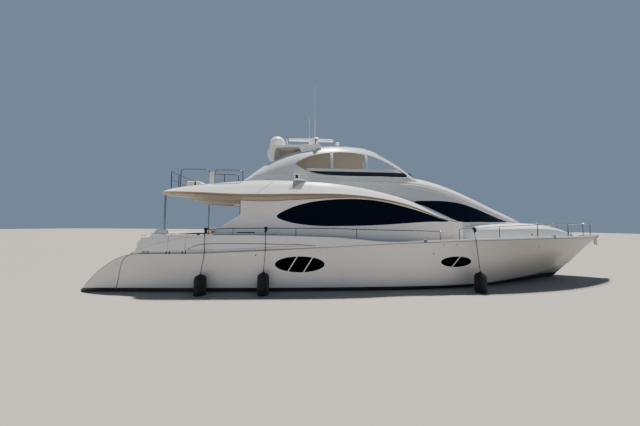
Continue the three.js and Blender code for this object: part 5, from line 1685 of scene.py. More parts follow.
def cleat_form() -> Obj:
    """A two-horned cleat that stands on its foot."""
    horns = tubes("horns", [[(-0.13, 0, 0.052), (-0.06, 0, 0.060), (0.06, 0, 0.060), (0.13, 0, 0.052)]], 0.013,
                  STEEL, 10)
    feet = [turned("foot", [(0.030, 0.0), (0.028, 0.006), (0.014, 0.02), (0.014, 0.058)], (x, 0, 0), segments=14)
            for x in (-0.05, 0.05)]
    return joined("cleat_form", horns, *feet)


def base_form(radius: float) -> Obj:
    """The round flange at the foot of a post, with a welded neck."""
    profile = [(0.0, 0.0), (radius * 2.3, 0.0), (radius * 2.3, 0.004), (radius * 2.0, 0.008), (radius * 1.15, 0.010),
               (radius * 1.05, 0.022), (0.0, 0.022)]
    return turned("base_form", profile, segments=18)


def flanges(name: str, spots: Sequence[Point]) -> Obj:
    """The round flanges at the feet of a rail's posts, as one piece."""
    return repeated(name, base_form(RAIL_RADIUS), [(spot, UP) for spot in spots], STEEL)


@dataclass
class Bulwark:
    """Raised bulwark aft, toe rail forward, the boarding gates and the fittings on them."""

    sill: float = 0.09
    hinge: tuple[float, float, float, float, float] = (-8.404, 2.672, 0.016, 2.18, 2.22)

    def gate_box(self, clearance: float) -> Obj:
        """The gate's opening, shrunk by a clearance."""
        sill = SHEER.z(GATE_FORE_X) + self.sill
        return block("gate_box", (GATE_AFT_X + clearance, 2.3, sill + clearance), (GATE_FORE_X - clearance, 3.2, 2.6))

    def build(self) -> None:
        """Builds bulwark, gates, band marks, fairleads and the quarter winglet."""
        body = loft("bulwark_form", bulwark_rings())
        gate = carve(twin(body, "gate_form"), self.gate_box(SEAM), how=Cut.SHARED)
        carve(body, self.gate_box(0.0))
        skin = Skin(body)
        body.name = "bulwark_side"
        by_face(body, (GELCOAT, SHADE_GEL), self.paint_at)
        pair(body, GELCOAT, "bulwark", angle=26)
        gate.name = "boarding_gate_leaf"
        by_face(gate, (GELCOAT, SHADE_GEL), self.paint_at)
        pair(gate, GELCOAT, "boarding_gate", "gate_", angle=26)
        x, y, radius, low, high = self.hinge
        knuckle = turned("gate_knuckle", [(0.0, low), (radius, low), (radius, high), (0.0, high)], (x, y, 0))
        leaf = block("gate_arm", (x - 0.046, y - 0.008, low), (x, y + 0.023, high))
        pair(joined("gate_hinge", knuckle, leaf), STEEL, body="gate_")
        self.marks(skin)
        # Lines on the side: the tan-brown first is painted shade and warm reflected light under the recess's upper
        # ledge, the grey second is painted shade along its lower edge, the white third is a ridge below the cap, and
        # the last two are the gate's seams.
        lines = [([(-8.38, 1.65), (-8.0, 1.85), (-7.53, 1.925), (-5.24, 1.935), (-3.2, 1.885)], 0.022, GROOVE_SHADE_AND_BOUNCE),
                 ([(-8.25, 1.66), (-7.66, 1.675), (-5.83, 1.76), (-4.64, 1.815), (-3.3, 1.875)], 0.013, SHADE_GEL),
                 ([(x, BULWARK.z(x) - 0.022) for x in spread(-7.65, -5.3, 30)], 0.011, GELCOAT),
                 ([(GATE_AFT_X - 0.009, z) for z in (1.60, 1.9, 2.22)], 0.006, SHADE_GEL),
                 ([(GATE_FORE_X + 0.009, z) for z in (1.62, 1.9, 2.22)], 0.006, SHADE_GEL)]
        for number, (spots, radius, finish) in enumerate(lines):
            pair(seam_on(f"bulwark_line_{number}", skin, spots, radius, finish, -0.6 * radius), finish)

    @staticmethod
    def paint_at(spot: Vector, normal: Vector) -> int:
        """Painted shade: grey on the narrow band at the foot, which tapers away forward."""
        sheer = SHEER.z(spot.x)
        band = foot_band(spot.x, BULWARK.z(spot.x) - sheer)
        return int(normal.y > 0.5 and spot.x < -3.2 and spot.z < sheer + band)

    def marks(self, skin: Skin) -> None:
        """Hinge marks by the gate, fairleads, hawses and the winglet at the quarter."""
        plates = [block("mark", (x - 0.02, SHEER.half(x) - 0.004, SHEER.z(x) - 0.03),
                        (x + 0.02, SHEER.half(x) + 0.006, SHEER.z(x) + 0.085)) for x in (-9.12, -8.37, -9.0, -8.49)]
        pair(joined("gate_marks", *[eased(p, 0.004) for p in plates]), BLACK)
        leads = [skin.side(x, 1.585) for x in (-10.02, -9.86)]
        pair(repeated("quarter_fairleads", self.hawse(0.055), leads, STEEL), STEEL)
        mouths = [skin.side(1.35, 2.075), skin.side(7.81, 2.225)]
        pair(repeated("hawse_rings", self.hawse(0.075), mouths, STEEL), STEEL)
        # The quarter winglet is light grey: painted shade.
        winglet = [(-9.74, 2.29), (-9.22, 2.29), (-9.18, 2.34), (-9.20, 2.43), (-9.31, 2.51), (-9.62, 2.49),
                   (-9.73, 2.38)]
        pair(eased(prism("quarter_winglet", winglet, 2.58, 2.66), 0.018, 3), SHADE_LIGHT)
        pair(eased(block("winglet_foot", (-9.50, 2.59, 2.20), (-9.34, 2.645, 2.30)), 0.008), BLACK)
        pair(repeated("hawse_throats", plug_form(0.052, 0.048, 0.004, 0.002, 20), mouths, BLACK), BLACK)
        pair(repeated("fairlead_throats", plug_form(0.036, 0.034, 0.004, 0.002, 20), leads, BLACK), BLACK)
        cleats = [((x, rail_line(x) - 0.02, BULWARK.z(x) + 0.001), UP) for x in (-9.75, -4.9, 7.9)]
        pair(repeated("deck_cleats", cleat_form(), cleats, STEEL), STEEL)

    @staticmethod
    def hawse(radius: float) -> Obj:
        """A polished ring round the hole that a line runs through."""
        profile = [(radius * 0.66, -0.004), (radius, -0.004), (radius * 1.02, 0.008), (radius * 0.92, 0.02),
                   (radius * 0.78, 0.02), (radius * 0.66, 0.008)]
        return turned("hawse_form", profile, segments=26)


def twin(obj: Obj, name: str) -> Obj:
    """A second object with a copy of the same mesh."""
    return linked(name, obj.data.copy())


def glazed(name: str, layer: Obj, outline: Sequence[tuple[float, float]], low: float, high: float,
           axis: Axis = Axis.Y) -> Obj:
    """A pane: the part of a thin layer that lies inside an outline."""
    return carve(prism(name, shrunk(outline, 0.0012), low, high, axis), layer, how=Cut.SHARED)


@dataclass
class Saloon:
    """Sides of the saloon with their long windows, and the aft bulkhead with its door."""

    bulkhead_half: float = 2.19
    opening_half: float = 1.75
    door_span: tuple[float, float] = (-0.7, 0.25)
    door_high: float = 3.56

    @staticmethod
    def top(x: float) -> float:
        """Upper edge of the cabin side."""
        if x < -6.42:
            return SALOON_AFT.top(x)
        return SILL_Z if x > WING_FORE_X + 0.005 else WING.soffit(x) - 0.012

    def wall(self, name: str, inset: float, thickness: float) -> Obj:
        """The cabin side as a wall with a depth under its outer face."""
        places = sorted({*spread(-7.56, -6.3, 40), *spread(-6.3, SIDE_SEAM_X - AIR, 120), -6.42, -6.4201})
        rings = []
        for x in places:
            outer, low, high = WALL.half(x) - inset, SHEER.z(x) + AIR, self.top(x)
            ease = 0.012 if inset == 0.0 else 0.0
            rings.append([(x, outer, low), (x, outer, high - ease), (x, outer - ease, high),
                          (x, outer - thickness, high), (x, outer - thickness, low)])
        return loft(name, rings)

    def build(self) -> None:
        """Builds the sides, their glass and seals, the bulkhead, its glass and door."""
        outline = smooth_outline(SALOON_WINDOW)
        side = carve(self.wall("saloon_wall", 0.0, SHELL), prism("window_cut", outline, 1.5, 3.0))
        slot = [(-6.54, 2.342), (-5.80, 2.345), (-5.795, 2.39), (-6.535, 2.387)]
        carve(side, prism("vent_cut", slot, 2.245, 3.0))
        pair(side, GELCOAT, "saloon_side")
        pair(glazed("saloon_glass", self.wall("layer", 0.010, 0.024), outline, 1.5, 3.0), DARK_GLASS, "saloon_window")
        ring = [(x, WALL.half(x) - 0.004, z) for x, z in [*outline, outline[0]]]
        pair(tubes("saloon_window_seal", [ring], 0.009, BLACK, 10), BLACK)
        slats = [block("slat", (-6.53, 2.252, z), (-5.805, 2.262, z + 0.008)) for z in (2.35, 2.364, 2.378)]
        back = block("vent_back", (-6.545, 2.244, 2.338), (-5.79, 2.248, 2.394))
        pair(joined("vent_louvres", back, *slats), BLACK)
        edge = [(-6.43, 2.225, 3.13), (-6.43, 2.225, 3.73)]
        pair(tubes("saloon_edge_strip", [edge], 0.034, BLACK, 14), BLACK)
        # A grey line along the side panel's crease: painted shade.
        crease = [(x, WALL.half(x) + 0.0005, z) for x, z in catmull([(-6.3, 3.36), (-5.9, 3.47), (-5.3, 3.66)], 8)]
        pair(tubes("side_panel_line", [crease], 0.003, SHADE_GEL, 8), SHADE_GEL)
        joint = [(SIDE_SEAM_X - 0.002, WALL.half(SIDE_SEAM_X) + 0.0005, z) for z in spread(2.15, 2.89, 8)]
        pair(tubes("side_joint_line", [joint], 0.004, SHADE_GEL, 8), SHADE_GEL)
        self.bulkhead()

    def bulkhead(self) -> None:
        """Bulkhead across the cockpit with fixed glass and a sliding door."""
        x, low = BULKHEAD_X, 1.69
        foot = max(SHEER.z(x), SHEER.z(x + 0.05)) + AIR
        plate = block("saloon_bulkhead_wall", (x, -self.bulkhead_half, foot), (x + 0.05, self.bulkhead_half, 3.725))
        half = self.opening_half
        carve(plate, block("opening", (x - 0.01, -half, low), (x + 0.08, half, self.door_high)))
        settle(eased(plate, 0.006), GELCOAT, nodes=("saloon_bulkhead",))
        pane = block("saloon_aft_pane", (x + 0.005, AIR - half, low + AIR),
                     (x + 0.02, half - AIR, self.door_high - AIR))
        start, end = self.door_span
        carve(pane, block("door_cut", (x, start - 0.01, 0), (x + 0.03, end + 0.01, self.door_high - 0.1)))
        settle(pane, DARK_GLASS, nodes=("saloon_aft_glass",))
        frames = []
        for y in (-half, start - 0.01, end + 0.01, 1.0, half):
            wide = 0.03
            inner = min(max(y, wide - half), half - wide)
            frames.append(block("frame", (x - 0.004, inner - wide, low), (x + 0.004, inner + wide, self.door_high)))
        settle(joined("aft_glass_frames", *[eased(f, 0.003) for f in frames]), STEEL)
        low, high = 1.6905, self.door_high - 0.005
        start, end = start - 0.02, end + 0.04
        leaf = block("saloon_door_frame", (x + 0.026, start, low), (x + 0.046, end, high))
        carve(leaf, block("cut", (x, start + 0.08, low + 0.08), (x + 0.08, end - 0.08, high - 0.08)))
        settle(eased(leaf, 0.003), STEEL, "saloon_door", ("saloon_door",))
        glass = block("saloon_door_glass", (x + 0.032, start + 0.075, low + 0.075),
                      (x + 0.04, end - 0.075, high - 0.075))
        settle(glass, DARK_GLASS, "saloon_door")
        sole = block("saloon_sole", (x + 0.062, -2.118, 1.6003), (SALOON_FORE_X - 0.002, 2.118, 1.606))
        settle(sole, OAK)


def above_wing(start: float, end: float) -> list[tuple[float, float]]:
    """Side view of the wing's upper edge between two places, 2 mm clear of it."""
    return [(x, WING.top(x) + 0.002) for x in spread(start, end, 80)]


@dataclass
class Deckhouse:
    """Wheelhouse with its glass, the flybridge coamings and the lower helm."""

    passage_half: float = 1.35
    passage_fore: float = -4.35

    def build(self) -> None:
        """Builds coamings, wheelhouse, glass, seals, wipers and the dash."""
        shell = carve(house_body("house_shell", 0.0), house_body("house_hollow", SHELL, 0.09),
                      block("aft_cut", (-6.5, -2.04, 3.0), (-6.2, 2.04, 5.0)))
        self.coamings(shell)
        self.wheelhouse(shell)
        self.glass()
        self.dash()

    def coamings(self, shell: Obj) -> None:
        """Flybridge coamings on both sides of the passage to the boat deck."""
        start, end = -6.38, HOUSE_SEAM_X - AIR
        region = [*above_wing(start, end), (end, COAMING_TOP), (start, COAMING_TOP)]
        side = carve(twin(shell, "fly_coaming_side"), prism("region", region, 0.0, 3.0), how=Cut.SHARED)
        carve(side, block("passage", (start - 0.1, -0.1, 3.0), (self.passage_fore, self.passage_half, 5.3)))
        skin = Skin(side)
        pair(side, HOUSE_GEL_SHADED_SIDES, "fly_coaming")
        # A grey line along the coaming's crease: painted shade.
        pair(seam_on("coaming_crease", skin, [(-5.9, 4.66), (-5.2, 4.76), (-4.4, 4.84)]), SHADE_GEL)

    def wheelhouse(self, shell: Obj) -> None:
        """The forward house, its windows and the flybridge well cut."""
        region = [*above_wing(HOUSE_SEAM_X, WING_FORE_X), (SIDE_SEAM_X, SILL_Z + 0.002), (SIDE_SEAM_X, 1.9),
                  (8.2, 1.9), (8.2, 5.6), (HOUSE_SEAM_X, 5.6)]
        body = carve(shell, prism("region", region, -3.0, 3.0), how=Cut.SHARED)
        side = prism("side_cut", smooth_outline(WHEELHOUSE_WINDOW), 0.9, 3.0)
        carve(body, side, mirrored(side, "side_cut_starboard"),
              prism("screen_cut", smooth_outline(WINDSCREEN_PLAN), 2.95, 5.6, Axis.Z),
              block("fly_cut", (-1.0, -1.9, FLY_FLOOR + 0.02), (1.45, 1.9, 4.76)),
              block("well_cut", (HOUSE_SEAM_X - 0.01, -1.55, 4.7), (1.5, 1.55, 5.6)))
        body.name = "wheelhouse_shell"
        settle(body, HOUSE_GEL_SHADED_SIDES, nodes=("wheelhouse",), angle=28)

    def glass(self) -> None:
        """Side windows and windscreen with black seals, mullions and wipers."""
        outline = smooth_outline(WHEELHOUSE_WINDOW)
        layer = house_skin("layer", 0.010, 0.034)
        outer = Skin(house_body("seal_form", 0.0))
        pair(glazed("wheelhouse_glass", twin(layer, "side_layer"), outline, 0.9, 3.0), DARK_GLASS, "wheelhouse_window",
             angle=50)
        ring = [outer.side(x, z, -0.003)[0] for x, z in [*outline, outline[0]]]
        pair(tubes("wheelhouse_seal", [ring], 0.009, BLACK, 10), BLACK)
        brow = [(0.65, 4.61), (1.6, 4.54), (2.57, 4.33), (4.1, 3.85), (5.0, 3.55), (5.88, 3.27), (6.9, 2.99)]
        pair(seam_on("house_brow_line", outer, brow, 0.032, GELCOAT, -0.014), GELCOAT)
        pair(seam_on("wheelhouse_pane_joint", outer, [(3.97, 2.93), (3.97, 3.3), (3.98, 3.64)], 0.007, BLACK, -0.008),
             BLACK)
        plan = smooth_outline(WINDSCREEN_PLAN)
        pane = glazed("windscreen_glass", layer, plan, 2.9, 5.6, Axis.Z)
        settle(pane, DARK_GLASS, nodes=("windscreen",), angle=50)
        rim = [outer.top(x, y, -0.003)[0] for x, y in [*plan, plan[0]]]
        bars = [[outer.top(x, y, 0.001)[0] for x, y in straight_run((4.25, y0), (6.62, 0.62 * y0), 24)]
                for y0 in (-0.42, 0.42)]
        settle(tubes("windscreen_seal", [rim], 0.010, BLACK, 10), BLACK)
        settle(tubes("windscreen_mullions", bars, 0.014, BLACK, 10), BLACK)
        arms, blades = [], []
        for y in (-0.75, 0.0, 0.75):
            foot, mid = (7.15 - 0.35 * abs(y), 0.8 * y), (6.2 - 0.25 * abs(y), 0.9 * y + 0.18)
            arms.append([outer.top(x, v, 0.030)[0] for x, v in straight_run(foot, mid, 10)])
            blade = ((6.55 - 0.25 * abs(y), 0.9 * y + 0.30), (5.75 - 0.25 * abs(y), 0.9 * y + 0.10))
            blades.append([outer.top(x, v, 0.014)[0] for x, v in straight_run(*blade, 12)])
        settle(joined("wipers", tubes("arms", arms, 0.009, BLACK, 8), tubes("blades", blades, 0.012, BLACK, 6)), BLACK)
        discard(*[o for o in bpy.data.objects if o.name.startswith("seal_form")])

    def dash(self) -> None:
        """Lower helm: a dark dash with screens."""
        base = SHEER.z(6.1) + 0.0195
        profile = [(4.3, base), (4.3, 2.78), (4.5, 2.87), (6.1, 2.87), (6.1, base)]
        settle(eased(prism("lower_dash", profile, -1.15, 1.15), 0.03, 4), DASH, nodes=("helm_dash",))
        panels = []
        for y in (-0.72, -0.22, 0.28):
            panel = eased(block("panel", (-0.17, -0.21, 0.0), (0.17, 0.21, 0.012)), 0.005)
            panel.data.transform(Matrix.Translation((4.40, y, 2.825)) @ Matrix.Rotation(-0.42, 4, "Y")
                                 @ Matrix.Scale(0.45, 4, (1, 0, 0)))
            panels.append(panel)
        settle(joined("lower_screens", *panels), SCREEN)


def straight_run(start: tuple[float, float], end: tuple[float, float], count: int) -> list[tuple[float, float]]:
    """Evenly spaced plan points between two places."""
    return [(start[0] + (end[0] - start[0]) * i / count, start[1] + (end[1] - start[1]) * i / count)
            for i in range(count + 1)]


@dataclass
class FlyDeck:
    """Flybridge deck with its long wings, soffit lights, side lights and overhang posts."""

    def build(self) -> None:
        """Builds the deck and what is fitted on it."""
        places = sorted({*spread(FLY_AFT_X, -9.0, 24), *spread(-9.0, WING_FORE_X, 150)})
        wing = loft("wing_form", [wing_ring(x) for x in places])
        skin = Skin(wing)
        floor = loft("floor_form", [self.floor_ring(x) for x in
                                    sorted({*spread(FLY_AFT_X, HOUSE_SEAM_X, 90), -1.5501, -1.5499})])
        other = mirrored(wing, "wing_starboard")
        deck = carve(floor, wing, other, how=Cut.ADDED)
        aft, fore, inner, outer = STAIR_WELL
        carve(deck, block("stair_well", (aft, inner, 3.5), (fore, outer, 4.8)))
        deck.name = "fly_deck_shell"
        by_face(deck, (GELCOAT, SOFFIT, CEILING_SHADE, TEAK), self.paint_at)
        settle(deck, GELCOAT, nodes=("fly_deck",), angle=30)
        self.side_lights()
        self.lights()
        self.posts()
        self.seams(skin)

    @staticmethod
    def floor_ring(x: float) -> list[Point]:
        """The deck's section between the wings, with its raised soffit panel."""
        over = x > HEADLINER_AFT_X
        low = HEADLINER_Z if over else WING.soffit(x)
        edge = min(WING.half(x) - 0.1, SOFFIT_HALF)
        side = 1.918 - 0.016 * max(x, 0.0) if over else WING.half(x) - 0.06
        raised = low if over else low + 0.06
        return both_sides([
            (x, 0.0, raised), (x, edge - 0.42, raised), (x, edge - 0.38, low if over else low + 0.02),
            (x, edge - 0.36, low), (x, side, low if over else (low + WING.low(x)) / 2),
            (x, side if over else wing_inner(x) - 0.01, fly_floor(x)), (x, 0.0, fly_floor(x))])

    @staticmethod
    def paint_at(spot: Vector, normal: Vector) -> int:
        """Soffit below in painted warm reflected light, its middle panel darker for painted shade, teak on the deck
        between the wings.
        """
        if normal.z < -0.5 or (spot.z < WING.low(spot.x) - 0.001 and abs(spot.y) < WING.half(spot.x) - 0.03):
            middle = (abs(spot.y) < min(WING.half(spot.x) - 0.1, SOFFIT_HALF) - 0.4
                      and spot.x < HEADLINER_AFT_X)
            return 2 if middle and normal.z < -0.5 else 1
        if normal.z > 0.9 and abs(spot.y) < WING.half(spot.x) - 0.42 and spot.z < fly_floor(spot.x) + 0.01:
            return 3
        return 0

    def side_lights(self) -> None:
        """Navigation light in its housing, its shelf and the scoop under it, grey for painted shade."""
        housing = eased(block("side_light_housing", (-4.16, 2.06, 4.66), (-3.93, 2.28, 4.93)), 0.02)
        pair(housing, GELCOAT)
        lens = eased(block("side_light_lens", (-4.10, 2.27, 4.73), (-3.97, 2.292, 4.90)), 0.008)
        pair(lens, BLACK)
        shelf = [(-4.22, 2.08), (-3.50, 2.08), (-3.58, 2.28), (-3.80, 2.50), (-4.18, 2.50)]
        pair(eased(prism("side_light_shelf", shelf, 4.615, 4.645, Axis.Z), 0.010), GELCOAT)
        wedge = [(-4.18, 4.63), (-3.66, 4.63), (-3.97, 4.42), (-4.15, 4.25), (-4.24, 4.16), (-4.34, 4.19),
                 (-4.36, 4.30), (-4.32, 4.45)]
        outline = [(p[0], p[1]) for p in rounded_path([(x, z, 0.0) for x, z in [*wedge, *wedge[:2]]], 0.05)[1:-4]]
        scoop = prism("side_scoop", outline, 2.2, 2.9)
        shell = loft("scoop_layer", [[(x, y + (0.006 if y > 2.2 else -0.03), z) for x, y, z in wing_ring(x)]
                                     for x in spread(-4.5, -3.4, 40)])
        pair(carve(scoop, shell, how=Cut.SHARED), SHADE_GEL)

    def lights(self) -> None:
        """Downlights in the soffit over the cockpit."""
        spots = []
        for x in (-9.1, -8.3, -7.5, -6.8):
            for y in (-1.2, -0.4, 0.4, 1.2):
                spots.append(((x, y, WING.soffit(x) + 0.0605), (0, 0, -1)))
        ring = turned("ring", [(0.026, -0.003), (0.040, -0.003), (0.042, 0.004), (0.036, 0.008), (0.027, 0.006)],
                      segments=20)
        settle(repeated("soffit_light_rings", ring, spots, STEEL), STEEL)
        settle(repeated("soffit_light_lenses", plug_form(0.029, 0.027, 0.003, 0.003, 16), spots, LAMP), LAMP)

    def posts(self) -> None:
        """Slim posts from the quarters up to the overhang."""
        x, y = -9.56, 2.25
        foot, top = SHEER.z(x) + AIR, WING.soffit(x) - 0.005
        post = tubes("post", [[(x, y, foot), (x, y, top)]], 0.038, STEEL, 24)
        carve(post, block("trim", (x - 1, y - 1, foot - 1), (x + 1, y + 1, foot)))
        base = base_form(0.037)
        base.data.transform(Matrix.Translation((x, y, foot)))
        head = turned("head", [(0.0, 0.0), (0.06, 0.0), (0.075, 0.012), (0.0, 0.012)], (x, y, top - 0.014))
        pair(joined("overhang_post_tube", post, base, head), STEEL, "overhang_post")

    @staticmethod
    def seams(skin: Skin) -> None:
        """Moulding joints across the wings."""
        joint = [(-5.02, 4.58), (-5.16, 4.44), (-5.40, 4.24), (-5.62, 4.02)]
        pair(seam_on("wing_joint", skin, joint, 0.009), SHADE_GEL)


@dataclass
class Hardtop:
    """Hardtop with its side openings, tinted screens, windscreen and aerials."""

    mullions: tuple[float, float] = (-2.46, -0.85)

    def build(self) -> None:
        """Builds the shell, its screens and everything that stands on it."""
        outline = smooth_outline(FLY_OPENING)
        hole = prism("opening", outline, -3.0, 3.0)
        carve(hole, *[block("mullion", (x - 0.06, -3.1, 5.29), (x + 0.06, 3.1, 6.3)) for x in self.mullions])
        aft = [(-7.0, -1.35), (-4.7, -1.35), (-4.25, -0.9), (-4.25, 0.9), (-4.7, 1.35), (-7.0, 1.35)]
        fore = [(-0.42, -1.05), (-0.15, -1.52), (2.0, -1.62), (2.0, 1.62), (-0.15, 1.52), (-0.42, 1.05)]
        body = arch_body("hardtop_form", 0.0)
        outside = Skin(body)
        carve(body, arch_body("hollow", 0.09, 0.2), hole, block("below", (-7.0, -3.0, 3.0), (2.0, 3.0, 4.42)),
              *[prism("end_cut", o, 4.0, 7.0, Axis.Z) for o in (aft, fore)])
        carve(body, house_body("seat_cut", -AIR, -0.001, 90))
        carve(body, block("floor_cut", (-7.0, -3.0, 4.0), (2.0, 3.0, FLY_FLOOR + AIR)))
        body.name = "hardtop_shell"

        # Faces that lie inside the shell, away from its outside, take the darker lining: painted shade.
        by_face(body, (ROOF_GEL_SHADED_SIDES, LINING_SHADE), lambda spot, _: int(outside.tree.find_nearest(spot)[3] > 0.06))
        settle(body, ROOF_GEL_SHADED_SIDES, nodes=("hardtop",), angle=30)
        self.screens(outline)
        self.rims(outline, outside)
        self.windscreen()
        self.roof_fittings(outside)
        line = [(-6.01, 4.90), (-5.57, 4.94), (-5.01, 4.99), (-4.35, 5.03), (-4.08, 5.05)]
        pair(seam_on("hardtop_side_line", outside, line, 0.008, SHADE_GEL), SHADE_GEL)

    def rims(self, outline: Sequence[tuple[float, float]], outside: Skin) -> None:
        """Rounded lip round each side opening, with grey groove lines and a darker inner lip as painted shade."""
        ring = [outside.side(x, z, -0.002)[0] for x, z in [*outline, outline[0]]]
        pair(tubes("opening_lip", [ring], 0.012, HOUSE_GEL_SHADED_SIDES, 12), HOUSE_GEL_SHADED_SIDES)
        turn = len(outline) // 2
        bend = [outside.side(x, z, 0.003)[0] for x, z in [*outline[turn:], *outline[:turn]]
                if x < -3.25 or (x < -2.4 and z < 5.3)]
        pair(tubes("opening_groove", [bend, [(x + 0.05, y - 0.03, z) for x, y, z in bend]], 0.017, SHADE_GEL, 10),
             SHADE_GEL)
        inner = [(x, y - 0.086, z) for x, y, z in ring]
        pair(tubes("opening_lip_inner", [inner], 0.010, LINING_SHADE, 12), LINING_SHADE)

    def screens(self, outline: Sequence[tuple[float, float]]) -> None:
        """Tinted strip at the foot of each opening, under a padded bar."""
        opening = shrunk(outline, 0.0006)
        layer = arch_skin("screen_layer", 0.025, 0.060)
        strip = carve(prism("side_screen_pane", opening, 1.0, 3.0), layer,
                      block("foot", (-3.62, 1.0, 4.8), (1.5, 3.0, 5.15)), how=Cut.SHARED)
        pair(strip, TINT, "side_screen")
        bar_layer = arch_skin("bar_layer", 0.018, 0.068)
        bar = carve(prism("side_screen_bar", opening, 1.0, 3.0), bar_layer,
                    block("foot", (-3.62, 1.0, 5.15), (1.5, 3.0, 5.28)), how=Cut.SHARED)
        pair(eased(bar, 0.014), SHADE_LIGHT)

    def windscreen(self) -> None:
        """Low raked screen round the front of the flybridge, with a rail on its edge."""
        rings, edge = [], []
        for y in spread(-1.45, 1.45, 60):
            front, top = 1.76 - 0.11 * y * y, 5.32 - 0.035 * y * y
            rings.append([(front + 0.147, y, top - 0.365), (front - 0.21, y, top), (front - 0.234, y, top),
                          (front + 0.123, y, top - 0.365)])
            edge.append((front - 0.222, y, top - 0.003))
        pane = carve(loft("fly_screen_pane", rings), house_body("screen_foot", -AIR, -0.001, 90))
        settle(pane, TINT, nodes=("fly_windscreen",))
        settle(tubes("fly_screen_rail", [edge], 0.013, STEEL), STEEL)

    def roof_fittings(self, outside: Skin) -> None:
        """Whip aerials, satellite compass, small aerials, horn and the roof's lip."""
        whips, bases, tips = [], [], []
        for x, y in ((-3.49, 1.6), (-3.25, -1.6)):
            whips.append([(x, y, 5.99), (x, y, 7.70)])
            tips.append([(x, y, 7.66), (x - 0.004, y, 8.4), (x - 0.01, y, 9.28)])
            bases.append((outside.top(x, y)[0], UP))
        settle(tubes("whip_lower", whips, 0.019, DOME, 16), DOME)
        settle(tubes("whip_upper", tips, 0.0075, DOME, 10), DOME)
        settle(repeated("whip_feet", base_form(0.03), bases, STEEL), STEEL)
        for label, gx, gy, radius in (("compass", -2.10, -1.0, 0.10), ("beacon", -2.3, 0.9, 0.06)):
            foot = outside.top(gx, gy)[0]
            dome = [(radius * 0.3, -0.02), (radius * 0.3, 0.10), (radius * 0.85, 0.105), (radius, 0.13),
                    (radius * 0.97, 0.16), (radius * 0.7, 0.19), (radius * 0.3, 0.205), (0.0, 0.207)]
            settle(turned(f"roof_{label}", dome, foot, segments=32), DOME)
        horn = turned("horn_bell", [(0.0, -0.18), (0.018, -0.17), (0.020, -0.02), (0.032, 0.04), (0.060, 0.075),
                                    (0.052, 0.075), (0.016, 0.03)], (-1.2, 0.45, outside.top(-1.2, 0.45)[0][2] + 0.06),
                      Axis.X, 28)
        settle(horn, STEEL)
        lip = [outside.top(x, y, 0.004)[0] for x, y in straight_run((-1.75, -1.15), (-1.75, 1.15), 30)]
        fore = [outside.top(x, y, 0.004)[0] for x, y in straight_run((-0.75, 1.05), (-0.75, -1.05), 30)]
        loop = [*lip, *fore, lip[0]]
        settle(tubes("sunroof_frame", [loop], 0.022, GELCOAT), GELCOAT)


